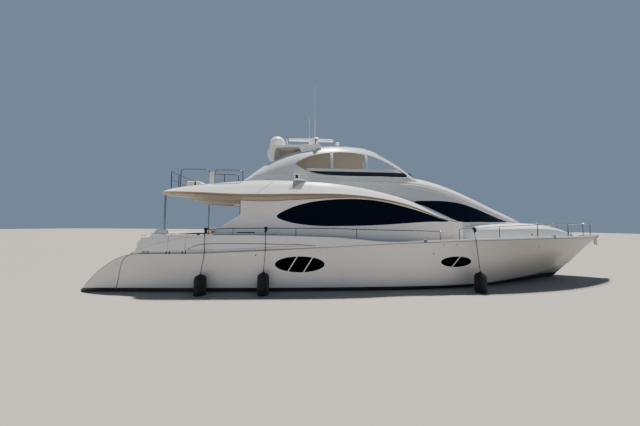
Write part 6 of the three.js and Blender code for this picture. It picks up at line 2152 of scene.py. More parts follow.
@dataclass
class Mast:
    """Broad hoop over the hardtop with the dome, the scanner, the searchlight and small aerials."""

    half: float = 1.48
    crown_half: float = 1.05
    top: float = 6.58
    scanner_x: float = -3.4
    scanner_z: float = 7.255
    profile: Sequence[tuple[float, float]] = (
        (-2900, 6200), (-2930, 6470), (-3060, 6545), (-3680, 6535), (-3840, 6495), (-4500, 6480), (-5180, 6480),
        (-5300, 6400), (-5440, 6230), (-5480, 6040), (-5410, 5820), (-5280, 5600), (-5080, 5600), (-5140, 5800),
        (-5130, 6190), (-5060, 6345), (-4520, 6385), (-3980, 6380), (-3850, 6100))
    crown: Sequence[tuple[float, float]] = (
        (-3160, 6500), (-3200, 6640), (-3600, 6660), (-4300, 6580), (-5180, 6580), (-5240, 6380))

    def build(self) -> None:
        """Builds the hoop with painted shade on its inner faces, the pedestal, small aerials, dome, scanner and
        searchlight.
        """
        roof = arch_body("roof_cut", -AIR, 0.0, 80)
        hoop = eased(prism("mast_hoop", self.outline(self.profile, 0.045), -self.half, self.half), 0.03, 4, 50)
        crown = eased(prism("crown", self.outline(self.crown, 0.03), -self.crown_half, self.crown_half), 0.03, 4, 50)
        carve(hoop, crown, how=Cut.ADDED)
        carve(hoop, roof)
        pedestal = turned("mast_pedestal", [(0.14, 6.62), (0.138, 6.72), (0.105, 7.0), (0.095, 7.10), (0.094, 7.168),
                                            (0.0, 7.17)], (self.scanner_x, 0, 0))
        by_face(hoop, (GELCOAT, SHADE_LIGHT), self.paint_at)
        settle(joined("mast_frame", hoop, pedestal), GELCOAT, nodes=("mast",), angle=30)
        settle(tubes("mast_aerial", [[(-4.62, 0.25, self.top - 0.02), (-4.73, 0.25, 7.44)]], 0.018, DOME, 12), DOME)
        settle(tubes("mast_aerial_tip", [[(-4.729, 0.25, 7.435), (-4.737, 0.25, 7.50)]], 0.019, BLACK, 12), BLACK)
        box = eased(block("aerial_box", (-4.78, 0.16, self.top - 0.005), (-4.50, 0.36, self.top + 0.36)), 0.03, 3)
        settle(box, DOME)
        light = turned("masthead_light", [(0.05, 0.0), (0.05, 0.02), (0.036, 0.03), (0.036, 0.11), (0.048, 0.12),
                                          (0.0, 0.14)], (-4.10, -0.4, self.top - 0.005), segments=28)
        settle(light, BLACK)
        self.dome()
        self.scanner()
        self.searchlight()

    @staticmethod
    def paint_at(spot: Vector, normal: Vector) -> int:
        """Painted shade: grey on the inner faces of the hoop."""
        inside = spot.z < 6.39 and -5.155 < spot.x < -3.9
        return int(inside and abs(normal.y) < 0.7)

    @staticmethod
    def outline(profile: Sequence[tuple[float, float]], radius: float) -> list[tuple[float, float]]:
        """A side view with its bends rounded."""
        corners = [(x / 1000, z / 1000, 0.0) for x, z in profile]
        looped = rounded_path([*corners, *corners[:2]], radius, 6)
        return [(p[0], p[1]) for p in looped[1:-8]]

    def searchlight(self) -> None:
        """White searchlight on the hoop's shoulder, with its dark yoke and lens."""
        x, y, z = -3.2, -1.33, 6.77
        foot = turned("foot", [(0.09, -0.26), (0.088, -0.22), (0.07, -0.20), (0.066, -0.13), (0.075, -0.12)], (x, y, z),
                      segments=28)
        can = turned("can", [(0.0, -0.15), (0.06, -0.148), (0.11, -0.115), (0.14, -0.06), (0.15, 0.0), (0.145, 0.06),
                             (0.135, 0.115), (0.125, 0.12), (0.118, 0.105), (0.0, 0.10)], (x, y, z), Axis.X, 40)
        settle(joined("searchlight_can", foot, can), DOME)
        yoke = rounded_path([(x, y - 0.152, z + 0.02), (x, y - 0.152, z - 0.13), (x, y + 0.152, z - 0.13),
                             (x, y + 0.152, z + 0.02)], 0.08)
        hub = [turned("hub", [(0.0, -0.01), (0.045, -0.01), (0.045, 0.012), (0.0, 0.014)], (x, y + s * 0.150, z),
                      Axis.Y, 20) for s in (-1, 1)]
        settle(joined("searchlight_yoke", tubes("yoke", [yoke], 0.020, BLACK), *hub), BLACK)
        settle(turned("searchlight_lens", [(0.0, 0.10), (0.118, 0.098), (0.117, 0.108), (0.0, 0.118)], (x, y, z),
                      Axis.X, 32), SCREEN)

    def dome(self) -> None:
        """Satellite dome on its foot, with the joint round its skirt."""
        z, r = self.top + AIR, 0.41
        profile = [(0.29, 0.0), (0.30, 0.006), (0.30, 0.085), (0.33, 0.11), (0.385, 0.15), (r - 0.004, 0.21),
                   (r, 0.235), (r, 0.29), (r - 0.004, 0.296), (r - 0.004, 0.304), (r, 0.31), (r, 0.45),
                   (r * 0.985, 0.53), (r * 0.93, 0.61), (r * 0.86, 0.667), (r * 0.76, 0.725), (r * 0.64, 0.772),
                   (r * 0.5, 0.81), (r * 0.36, 0.835), (r * 0.22, 0.850), (r * 0.1, 0.858), (0.0, 0.860)]
        profile = [(r, 0.94 * h) for r, h in profile]
        settle(turned("satellite_dome_shell", profile, (-5.18, 0, z), segments=72), DOME, nodes=("satellite_dome",))

    def scanner(self) -> None:
        """Open array of the radar on its turning hub."""
        x, z = self.scanner_x, self.scanner_z
        beam = eased(block("scanner_beam", (x - 1.18, -0.065, z - 0.045), (x + 1.18, 0.065, z + 0.065)), 0.03, 5)
        hub = turned("scanner_hub", [(0.088, -0.08), (0.09, -0.078), (0.09, -0.01), (0.10, 0.0), (0.10, 0.012)],
                     (x, 0, z - 0.0046), segments=40)
        settle(joined("scanner_array", beam, hub), DOME, "radar_scanner", ("radar_scanner",))
        window = eased(block("scanner_face", (x - 1.12, 0.060, z - 0.025), (x + 1.12, 0.0665, z + 0.045)), 0.004)
        caps = [eased(block("cap", (end - 0.012, -0.058, z - 0.036), (end + 0.006, 0.058, z + 0.056)), 0.004)
                for end in (x - 1.175, x + 1.175)]
        settle(joined("scanner_trim", window, *caps), SHADE_LIGHT, "radar_scanner")


@dataclass
class Rails:
    """Every rail of the yacht, with the flanges at the feet of its posts."""

    bow: Sequence[tuple[float, float]] = (
        (2.86, 2.56), (3.71, 2.62), (4.7, 2.69), (6.81, 2.78), (8.87, 2.83), (10.3, 2.86), (11.3, 2.89))
    side: Sequence[tuple[float, float]] = (
        (-7.7, 2.5), (-6.27, 2.55), (-2.63, 2.57), (-1.52, 2.54), (-0.42, 2.52), (1.34, 2.49), (2.04, 2.465))

    def build(self) -> None:
        """Builds the flybridge rails, the side deck rails and the bow rail."""
        self.fly_sides()
        self.fly_aft()
        self.inner()
        self.side_decks()
        self.bows()

    @staticmethod
    def loop(x0: float, x1: float, y: float, foot0: float, foot1: float, top: float) -> list[Point]:
        """A hoop with round shoulders."""
        return rounded_path([(x0, y, foot0), (x0, y, top), (x1, y, top), (x1, y, foot1)], 0.17, 10)

    def fly_sides(self) -> None:
        """Two hoops a side with a white panel between them."""
        y = 2.23
        spans = ((-8.97, -7.77, 5.06), (-7.56, -6.36, 5.05))
        loops, feet = [], []
        for x0, x1, top in spans:
            loops.append(self.loop(x0, x1, y, WING.top(x0) - 0.05, WING.top(x1) - 0.05, top))
            feet += [(x, y, WING.top(x) - 0.002) for x in (x0, x1)]
        pair(tubes("fly_rail_tube", loops, RAIL_RADIUS, SHADED_STEEL, 16), SHADED_STEEL, "fly_rail")
        pair(flanges("fly_rail_feet", feet), STEEL)
        panel = block("fly_rail_panel", (-7.775, y - 0.02, WING.top(-7.56) + 0.02), (-7.555, y + 0.02, 4.95))
        pair(eased(panel, 0.015, 4), GELCOAT)

    def fly_aft(self) -> None:
        """The rail round the aft edge of the flybridge deck."""
        half, top = 2.15, 4.97

        def bow(y: float) -> float:
            """The rail's place along the yacht."""
            return -9.4 - 0.15 * (1 - (y / half) ** 2)

        places = (-half, -1.4, 0.0, 1.4, half)
        rails = [[(bow(y), y, top) for y in spread(-half, half, 40)]]
        posts = [[(bow(y), y, fly_floor(bow(y)) - 0.02), (bow(y), y, top)] for y in places]
        lower = [[(bow(y), y, 4.6) for y in spread(-half, half, 40)]]
        made = joined("fly_rail_aft_tube", tubes("rail", rails + posts, RAIL_RADIUS, SHADED_STEEL, 16),
                      tubes("lower", lower, 0.012, SHADED_STEEL, 12))
        settle(made, SHADED_STEEL, nodes=("fly_rail_aft",))
        settle(flanges("fly_rail_aft_feet", [(bow(y), y, fly_floor(bow(y))) for y in places]), STEEL)
        knobs = turned("knob", [(0.0, -0.02), (0.020, -0.014), (0.024, 0.0), (0.020, 0.014), (0.0, 0.02)], segments=16)
        settle(repeated("fly_rail_aft_knobs", knobs, [((bow(y), y, top), UP) for y in places], STEEL), STEEL)

    def inner(self) -> None:
        """Guard rails inboard of the stair well and its opposite."""
        y, foot, top = 1.18, FLY_FLOOR + AIR, 5.08
        aft, middle, fore = -8.12, -7.5, -6.84
        loop = rounded_path([(aft, y, foot), (aft, y, top), (fore, y, top), (fore, y, foot)], 0.14, 8)
        bars = [[(aft, y, z), (fore, y, z)] for z in (4.55, 4.81)]
        post = [(middle, y, foot), (middle, y, top)]
        made = joined("inner_rail_tube", tubes("loop", [loop, post], RAIL_RADIUS, SHADED_STEEL),
                      tubes("bars", bars, 0.008, SHADED_STEEL, 10))
        pair(made, SHADED_STEEL, "inner_rail")
        pair(flanges("inner_rail_feet", [(x, y, foot) for x in (aft, middle, fore)]), STEEL)

    def side_decks(self) -> None:
        """Rail along each side deck, from the cockpit to amidships."""
        top = hermite([p[0] for p in self.side], [p[1] for p in self.side])
        run = [(x, rail_line(x), top(x)) for x in spread(-7.7, 2.04, 140)]
        places = (-7.69, -6.55, -4.02, -1.53, 2.03)
        posts = [[(x, rail_line(x), BULWARK.z(x) + AIR), (x, rail_line(x), top(x))] for x in places]
        pair(joined("side_rail_tube", tubes("run", [run], RAIL_RADIUS, SHADED_STEEL, 16),
                    tubes("posts", posts, RAIL_RADIUS - 0.002, SHADED_STEEL, 14)), SHADED_STEEL, "side_rail")
        pair(flanges("side_rail_feet", [(x, rail_line(x), BULWARK.z(x) - 0.001) for x in places]), STEEL)
        ends = turned("end", [(0.0, -0.022), (0.022, -0.016), (0.027, 0.0), (0.022, 0.016), (0.0, 0.022)], segments=18)
        pair(repeated("side_rail_ends", ends, [(run[0], (1, 0, 0)), (run[-1], (1, 0, 0))], STEEL), STEEL)

    def bows(self) -> None:
        """Bow rail that meets round the stem."""
        top = hermite([p[0] for p in self.bow], [p[1] for p in self.bow])
        port = [(x, rail_line(x), top(x)) for x in spread(2.86, 11.3, 130)]
        port += [p for p in catmull([port[-1], (11.75, 0.45, 2.897), (12.05, 0.17, 2.904), (12.1, 0.0, 2.905)], 8)[1:]]
        run = port + [(x, -y, z) for x, y, z in reversed(port[:-1])]
        places = (2.88, 4.77, 6.85, 8.91, 10.3, 11.2)
        posts = [[(x, s * rail_line(x), BULWARK.z(x) + AIR), (x, s * rail_line(x), top(x))]
                 for x in places for s in (-1, 1)]
        made = joined("bow_rail_tube", tubes("run", [run], RAIL_RADIUS + 0.002, STEEL, 16),
                      tubes("posts", posts, RAIL_RADIUS, SHADED_STEEL, 14))
        settle(made, STEEL, nodes=("bow_rail",))
        feet = [(x, s * rail_line(x), BULWARK.z(x) - 0.001) for x in places for s in (-1, 1)]
        settle(flanges("bow_rail_feet", feet), STEEL)


@dataclass
class Foredeck:
    """Foredeck trunk with its hatch, the windlass, the anchor in its roller and deck fittings."""

    hatch_x: float = 9.05
    hatch_half: float = 0.3
    pin_z: float = 2.7716
    windlass_x: float = 11.0
    grip_inset: float = 0.42
    vents: Sequence[tuple[float, float]] = ((8.2, 0.9), (8.2, -0.9), (9.75, 0.28), (9.75, -0.28))

    def build(self) -> None:
        """Builds everything forward of the wheelhouse."""
        rings = []
        for x in spread(SIDE_SEAM_X + SEAM, 10.45, 110):
            base, half = SHEER.z(x) + AIR, TRUNK.half(x)
            top = max(TRUNK.top(x), base + 0.04)
            arc = rounded_top(x, half - 0.04, base + (top - base) * 0.35, top, 3.4, 18)
            rings.append(both_sides([(x, 0.0, base), (x, half, base), *arc]))
        body = loft("trunk_form", rings)
        skin = Skin(body)
        x, half = self.hatch_x, self.hatch_half
        carve(body, house_body("house_cut", -0.0006, -0.001, 100),
              block("hatch_cut", (x - half, -half, 2.5), (x + half, half, 3.2)))
        body.name = "foredeck_trunk_shell"
        by_face(body, (HOUSE_GEL_SHADED_SIDES, NONSKID), lambda spot, normal: int(normal.z > 0.975 and spot.x < 9.9))
        settle(body, HOUSE_GEL_SHADED_SIDES, nodes=("foredeck_trunk",), angle=28)
        studs = [skin.side(px, 2.33) for px in (6.96, 7.31)]
        pair(repeated("trunk_studs", Bulwark.hawse(0.045), studs, STEEL), STEEL)
        self.hatch()
        self.windlass()
        self.anchor()
        cup = turned("cup", [(0.075, -0.01), (0.075, 0.012), (0.055, 0.02), (0.05, 0.055), (0.062, 0.065),
                             (0.04, 0.082), (0.0, 0.085)], segments=28)
        settle(repeated("foredeck_vents", cup, [skin.top(*place) for place in self.vents], STEEL), STEEL)
        grips = []
        for s in (-1, 1):
            line = [skin.top(px, s * (TRUNK.half(px) - self.grip_inset), 0.07)[0] for px in spread(7.3, 8.7, 12)]
            grips.append([skin.top(7.25, s * (TRUNK.half(7.3) - self.grip_inset), -0.01)[0], *line,
                          skin.top(8.75, s * (TRUNK.half(8.7) - self.grip_inset), -0.01)[0]])
        settle(tubes("trunk_grab_rails", grips, 0.014, STEEL), STEEL)

    def hatch(self) -> None:
        """Acrylic hatch lid in a metal frame, with its hinge pin."""
        x, half = self.hatch_x, self.hatch_half - SEAM
        top = [(px, TRUNK.top(px) + 0.025) for px in (x - half, x + half)]
        outline = [top[0], top[1], (top[1][0], top[1][1] - 0.09), (top[0][0], top[0][1] - 0.09)]
        frame = eased(prism("foredeck_hatch_frame", outline, -half, half), 0.012)
        slope = (top[1][1] - top[0][1]) / (2 * half)
        tool = block("cut", (x - half + 0.05, 0.05 - half, 2.0), (x + half - 0.05, half - 0.05, 3.5))
        carve(frame, tool)
        pin = turned("pin", [(0.0, -0.1), (0.005, -0.1), (0.005, 0.1), (0.0, 0.1)],
                     (x - self.hatch_half + 0.002, 0, self.pin_z), Axis.Y, 20)
        settle(joined("foredeck_hatch_rim", frame, pin), STEEL, "foredeck_hatch", ("foredeck_hatch",))
        low = [(px, top[0][1] + slope * (px - top[0][0]) - 0.004) for px in (x - half + 0.045, x + half - 0.045)]
        pane = prism("foredeck_hatch_pane", [*low, (low[1][0], low[1][1] - 0.02), (low[0][0], low[0][1] - 0.02)],
                     0.045 - half, half - 0.045)
        settle(eased(pane, 0.003), TINT, "foredeck_hatch")

    def windlass(self) -> None:
        """Windlass with its drum, gipsy and foot switches."""
        x, deck = self.windlass_x, SHEER.z(self.windlass_x) + AIR
        profile = [(0.19, 0.0), (0.19, 0.04), (0.18, 0.058), (0.125, 0.062), (0.12, 0.07), (0.103, 0.10), (0.090, 0.14),
                   (0.088, 0.18), (0.095, 0.22), (0.13, 0.238), (0.135, 0.25), (0.13, 0.268), (0.06, 0.274),
                   (0.0, 0.275)]
        settle(turned("windlass_drum", profile, (x, 0, deck), segments=56), STEEL, nodes=("windlass",))
        feet = turned("foot", [(0.0, 0.0), (0.045, 0.0), (0.045, 0.012), (0.03, 0.022), (0.0, 0.024)], segments=22)
        spots = [((x - 0.35, y, deck), UP) for y in (-0.12, 0.12)]
        settle(repeated("windlass_switches", feet, spots, BLACK), BLACK)
        bitts = [((11.45, y, SHEER.z(11.45)), UP) for y in (-0.32, 0.32)]
        settle(repeated("foredeck_cleats", cleat_form(), bitts, STEEL), STEEL)

    def anchor(self) -> None:
        """Anchor in its roller channel on the stem."""
        deck = 2.156
        cutter = deck_cutter()
        channel = block("channel", (11.65, -0.095, deck), (12.62, 0.095, deck + 0.11))
        carve(channel, block("cut", (11.6, -0.07, deck + 0.025), (12.7, 0.07, deck + 0.2)))
        shank = eased(block("shank", (11.85, -0.03, deck + 0.02), (12.56, 0.03, deck + 0.08)), 0.012)
        outline = [(12.42, deck + 0.05), (12.58, deck + 0.06), (12.6, 1.7), (12.25, 1.79), (12.4, 1.96)]
        rings = []
        for y, keep in ((-0.045, 0.86), (-0.035, 0.97), (0.0, 1.0), (0.035, 0.97), (0.045, 0.86)):
            mx, mz = 12.47, 1.93
            rings.append([(mx + (px - mx) * keep, y, mz + (pz - mz) * keep) for px, pz in outline])
        flukes = loft("flukes", rings)
        stem = block("stem", (12.0, -0.4, 1.4), (BOW_X + 0.002, 0.4, SHEER.z(BOW_X) + 0.0015))
        made = carve(eased(channel, 0.006), shank, how=Cut.ADDED)
        made = carve(made, eased(flukes, 0.01), how=Cut.ADDED)
        carve(made, cutter, stem)
        made.name = "anchor_body"
        settle(made, STEEL, nodes=("anchor",))
        roller = turned("anchor_roller", [(0.0, -0.066), (0.042, -0.066), (0.030, -0.03), (0.026, 0.0), (0.030, 0.03),
                                          (0.042, 0.066), (0.0, 0.066)], (12.56, 0, deck + 0.006), Axis.Y, 28)
        settle(roller, BLACK)


def plumped(name: str, size: Point, swell: float = 0.022, voxel: float = 0.019) -> Obj:
    """A padded cushion that stands on the origin, blown up by a cloth simulation.

    Args:
        name: Name of the cushion.
        size: Length, depth and thickness.
        swell: Furthest that a point may move.
        voxel: Grain of the mesh that is simulated.

    Returns:
        The cushion, its foot flat.
    """
    half_x, half_y, tall = size[0] / 2 - 0.008, size[1] / 2 - 0.008, size[2] - 0.012
    rings = []
    for z, keep in ((0.0, 0.030), (0.012, 0.008), (0.03, 0.0), (tall - 0.035, 0.0), (tall - 0.012, 0.010),
                    (tall, 0.034)):
        corners = (squared(turn, CUSHION_CORNER) for turn in turns(64))
        rings.append([((half_x - keep) * a, (half_y - keep) * b, z) for a, b in corners])
    made = loft(name, rings)
    remesh = made.modifiers.new("remesh", "REMESH")
    remesh.mode = "VOXEL"
    remesh.voxel_size = voxel
    bake_modifiers(made)
    start = np.array([v.co[:] for v in made.data.vertices])
    pinned = made.vertex_groups.new(name="pinned")
    pinned.add([i for i, p in enumerate(start) if p[2] < 0.006], 1.0, "REPLACE")
    cloth = made.modifiers.new("cloth", "CLOTH")
    cloth.settings.use_pressure = True
    cloth.settings.uniform_pressure_force = 4.0
    cloth.settings.effector_weights.gravity = 0.0
    cloth.settings.vertex_group_mass = "pinned"
    cloth.collision_settings.use_collision = False
    scene = bpy.context.scene
    for frame in range(1, 21):
        scene.frame_set(frame)
    graph = bpy.context.evaluated_depsgraph_get()
    result = bpy.data.meshes.new_from_object(made.evaluated_get(graph))
    made.modifiers.clear()
    scene.frame_set(1)
    end = np.array([v.co[:] for v in result.vertices])
    move = end - start
    far = np.linalg.norm(move, axis=1, keepdims=True)
    move *= np.minimum(1.0, swell / np.maximum(far, 1e-9))
    move[:, 2] = np.where(start[:, 2] < 0.006, 0.0, move[:, 2])
    result.vertices.foreach_set("co", (start + move).ravel())
    old, made.data = made.data, result
    bpy.data.meshes.remove(old)
    made.vertex_groups.clear()
    smooth = made.modifiers.new("finer", "SUBSURF")
    smooth.levels = smooth.render_levels = 1
    return bake_modifiers(made)


def set_down(pattern: Obj, name: str, where: Matrix) -> Obj:
    """A copy of a cushion, moved to its place."""
    made = twin(pattern, name)
    made.data.transform(where)
    return made


def piping(name: str, size: Point, level: float) -> Obj:
    """The welted seam round a cushion that stands on the origin."""
    corners = (squared(turn, CUSHION_CORNER) for turn in spread(0, 2 * math.pi, 80))
    loop = [((size[0] / 2 - 0.002) * a, (size[1] / 2 - 0.002) * b, level) for a, b in corners]
    return tubes(name, [loop], 0.0055, VINYL, 8)


@dataclass
class Cushions:
    """One size of cushion, made once and laid in several places."""

    label: str
    size: Point
    places: Sequence[Matrix] = field(default_factory=list)

    def lay(self, *replaced: str) -> None:
        """Makes the cushion with its piping and sets a copy down in each place."""
        pattern = plumped(f"{self.label}_pattern", self.size)
        welt = piping(f"{self.label}_welt", self.size, self.size[2] - 0.03)
        for number, where in enumerate(self.places, start=1):
            piece = set_down(pattern, f"{self.label}_{number}", where)
            settle(piece, VINYL, nodes=replaced if number == 1 else (), angle=60)
            settle(set_down(welt, f"{self.label}_piping_{number}", where), VINYL)
        discard(pattern, welt)


def laid(x: float, y: float, z: float) -> Matrix:
    """A place for a cushion that lies flat."""
    return Matrix.Translation((x, y, z))


def leaned(x: float, y: float, z: float, about: float, lean: float) -> Matrix:
    """A place for a back cushion: it stands on edge, facing about, leaned back.

    Args:
        x: Place along the yacht.
        y: Place across it.
        z: Height of its lower edge.
        about: Heading that its face looks to, in degrees from the bow.
        lean: Lean back in degrees.

    Returns:
        The placement of a cushion whose length runs across the heading.
    """
    return (Matrix.Translation((x, y, z)) @ Matrix.Rotation(math.radians(about), 4, "Z")
            @ Matrix.Rotation(math.radians(90 - lean), 4, "Y"))


@dataclass
class Cockpit:
    """Cockpit settee and table, and the stair up to the flybridge."""

    def build(self) -> None:
        """Builds the cockpit's furniture."""
        plinth = eased(block("cockpit_settee_plinth", (-10.4147, -1.3, 1.52), (-9.86, 1.3, 1.83)), 0.012)
        carve(plinth, deck_cutter())
        back = eased(block("settee_back", (-10.4147, -1.35, 1.84), (-10.36, 1.35, 2.30)), 0.02)
        settle(joined("cockpit_settee_base", plinth, back), GELCOAT)
        Cushions("cockpit_seat", (0.60, 0.892, 0.165),
                 [laid(-10.105, y, 1.832) for y in (-0.9, 0.0, 0.9)]).lay("cockpit_settee")
        Cushions("cockpit_back", (0.34, 0.892, 0.10),
                 [leaned(-10.355, y, 2.155, 0, 4) for y in (-0.9, 0.0, 0.9)]).lay()
        self.table()
        self.stair()

    def table(self) -> None:
        """Teak table on a steel pedestal."""
        x, foot = -9.15, SHEER.z(-9.15) + 0.002
        top = [(x - 0.38, -0.8), (x + 0.38, -0.8), (x + 0.38, 0.8), (x - 0.38, 0.8)]
        board = eased(prism("cockpit_table_top", top, foot + 0.68, foot + 0.73, Axis.Z), 0.014, 4)
        settle(board, TEAK, nodes=("cockpit_table",))
        profile = [(0.26, 0.002), (0.255, 0.018), (0.12, 0.03), (0.064, 0.05), (0.06, 0.08), (0.06, 0.62), (0.09, 0.66),
                   (0.16, 0.681)]
        settle(turned("cockpit_table_pedestal", profile, (x, 0, foot), segments=48), STEEL)

    def stair(self) -> None:
        """Open stair with teak treads between two strings."""
        aft, fore, inner, outer = STAIR_WELL
        foot, top = max(SHEER.z(aft + 0.02), SHEER.z(aft + 0.2)) + AIR, FLY_FLOOR - 0.02
        run = fore - AIR - (aft + 0.2)
        string = [(aft + 0.02, foot), (aft + 0.2, foot), (aft + 0.2 + run, top), (aft + 0.02 + run, top)]
        sides = [eased(prism("string", string, a, b), 0.008) for a, b in ((inner + 0.03, inner + 0.065),
                                                                          (outer - 0.065, outer - 0.03))]
        settle(joined("fly_stair_strings", *sides), GELCOAT, nodes=("fly_stair",))
        treads = []
        for step in range(1, 9):
            z = foot + step * (top - foot) / 9
            x = aft + 0.04 + run * (z - foot) / (top - foot)
            tread = block("tread", (x - 0.09, inner + 0.05, z - 0.035), (x + 0.15, outer - 0.05, z))
            treads.append(eased(tread, 0.008))
        settle(joined("fly_stair_treads", *treads), TEAK)


@dataclass
class FlyFittings:
    """Flybridge helm, its seat, the settee and the box under a white cover."""

    def build(self) -> None:
        """Builds the furniture of the flybridge."""
        profile = [(0.35, FLY_FLOOR + AIR), (0.35, 4.8), (0.48, 5.06), (0.86, 5.16), (0.9, FLY_FLOOR + AIR)]
        settle(eased(prism("fly_helm_console", profile, -1.25, 0.65), 0.03, 4), GELCOAT, nodes=("fly_helm",))
        self.helm()
        self.seats()
        self.box()

    def helm(self) -> None:
        """Wheel, screens, throttles and compass on the console."""
        turn = Matrix.Translation((0.30, -0.42, 4.93)) @ Matrix.Rotation(-0.45, 4, "Y")

        def rim(angle: float) -> Point:
            """A point of the wheel's rim."""
            return tuple(turn @ Vector((0.0, 0.19 * math.cos(angle), 0.19 * math.sin(angle))))

        ring = [rim(a) for a in spread(0, 2 * math.pi, 48)]
        spokes = [[tuple(turn @ Vector(ORIGIN)), rim(a)] for a in (math.pi / 2, math.pi * 7 / 6, math.pi * 11 / 6)]
        settle(tubes("helm_wheel_rim", [ring], 0.016, DASH), DASH)
        hub = [[(0.30, -0.42, 4.93), (0.47, -0.42, 4.98)]]
        settle(joined("helm_wheel_spokes", tubes("spokes", spokes, 0.008, STEEL), tubes("hub", hub, 0.036, STEEL)),
               STEEL)
        lean = Matrix.Translation((0.667, 0, 5.112)) @ Matrix.Rotation(-0.257, 4, "Y")
        panels = []
        for y0, y1 in ((-1.12, -0.72), (-0.62, -0.16), (-0.06, 0.34)):
            panel = eased(block("panel", (-0.14, y0, -0.004), (0.14, y1, 0.010)), 0.004)
            panel.data.transform(lean)
            panels.append(panel)
        settle(joined("helm_screens", *panels), SCREEN)
        levers = [[tuple(lean @ Vector((0.0, y, 0.0))), tuple(lean @ Vector((-0.03, y, 0.11)))] for y in (0.44, 0.49)]
        settle(tubes("helm_throttles", levers, 0.011, STEEL), STEEL)
        settle(turned("helm_compass", [(0.06, -0.01), (0.06, 0.02), (0.055, 0.045), (0.04, 0.068), (0.02, 0.08),
                                       (0.0, 0.083)], (0.82, -0.42, 5.15), segments=32), BLACK)

    def seats(self) -> None:
        """Helm seat for two and an L-shaped settee, on moulded bases."""
        leg = eased(block("helm_seat_base", (-0.42, -0.9, FLY_FLOOR + AIR), (-0.08, 0.08, 4.83)), 0.02)
        settle(leg, GELCOAT)
        Cushions("helm_seat_pad", (0.52, 0.578, 0.13),
                 [laid(-0.245, y, 4.825) for y in (-0.70, -0.115)]).lay("helm_seat")
        Cushions("helm_seat_back", (0.50, 0.578, 0.12),
                 [leaned(-0.60, y, 5.19, 0, 12) for y in (-0.70, -0.115)]).lay()
        base = FLY_FLOOR + AIR
        blocks = [block("long", (-3.4, 1.08, base), (-0.7, 1.66, base + 0.29)),
                  block("short", (-3.4, 0.3, base), (-2.84, 1.08, base + 0.29))]
        settle(joined("fly_settee_base", *[eased(b, 0.015) for b in blocks]), GELCOAT)
        Cushions("fly_seat_long", (0.895, 0.52, 0.135),
                 [laid(x, 1.32, base + 0.292) for x in (-2.95, -2.05, -1.15)]).lay("fly_settee")
        Cushions("fly_seat_short", (0.56, 0.745, 0.135), [laid(-3.12, 0.68, base + 0.292)]).lay()
        Cushions("fly_seat_back", (0.26, 0.895, 0.08),
                 [leaned(x, 1.65, base + 0.455, -90, 3) for x in (-2.95, -2.05, -1.15)]).lay()

    def box(self) -> None:
        """Low box under a fitted white cover, with a black strap across it."""
        low, high = FLY_FLOOR - 0.02, FLY_FLOOR + 0.3
        rings = []
        for z, keep in ((low, 0.0), (low + 0.16, -0.004), (high - 0.06, 0.004), (high - 0.02, 0.016), (high, 0.05),
                        (high + 0.008, 0.16)):
            ring = []
            for turn in turns(80):
                a, b = squared(turn, BOX_CORNER)
                ripple = 0.004 * math.sin(9 * turn + 3.0 * z) if z < high - 0.05 else 0.0
                ring.append((-8.58 + (0.3 - keep + ripple) * a, -1.65 + (0.3 - keep + ripple) * b, z))
            rings.append(ring)
        cover = loft("fly_box_cover", rings)
        smooth = cover.modifiers.new("finer", "SUBSURF")
        smooth.levels = smooth.render_levels = 1
        settle(bake_modifiers(cover), COVER, nodes=("fly_box",), angle=50)
        skin = Skin(cover)
        strap = [skin.touch((-8.50, -1.65 + 0.9 * math.cos(a), 4.42 + 0.9 * math.sin(a)),
                            (0, -math.cos(a), -math.sin(a)), 0.004)[0] for a in spread(-0.12, math.pi + 0.12, 40)]
        band = [[(x + d, y, z) for d in (-0.032, 0.032)] for x, y, z in strap]
        verts = [p for row in band for p in row]
        faces = [(2 * i, 2 * i + 1, 2 * i + 3, 2 * i + 2) for i in range(len(band) - 1)]
        belt = mesh_object("fly_box_strap", verts, faces)
        thick = belt.modifiers.new("thick", "SOLIDIFY")
        thick.thickness = 0.006
        thick.offset = 0.0
        settle(bake_modifiers(belt), BLACK)


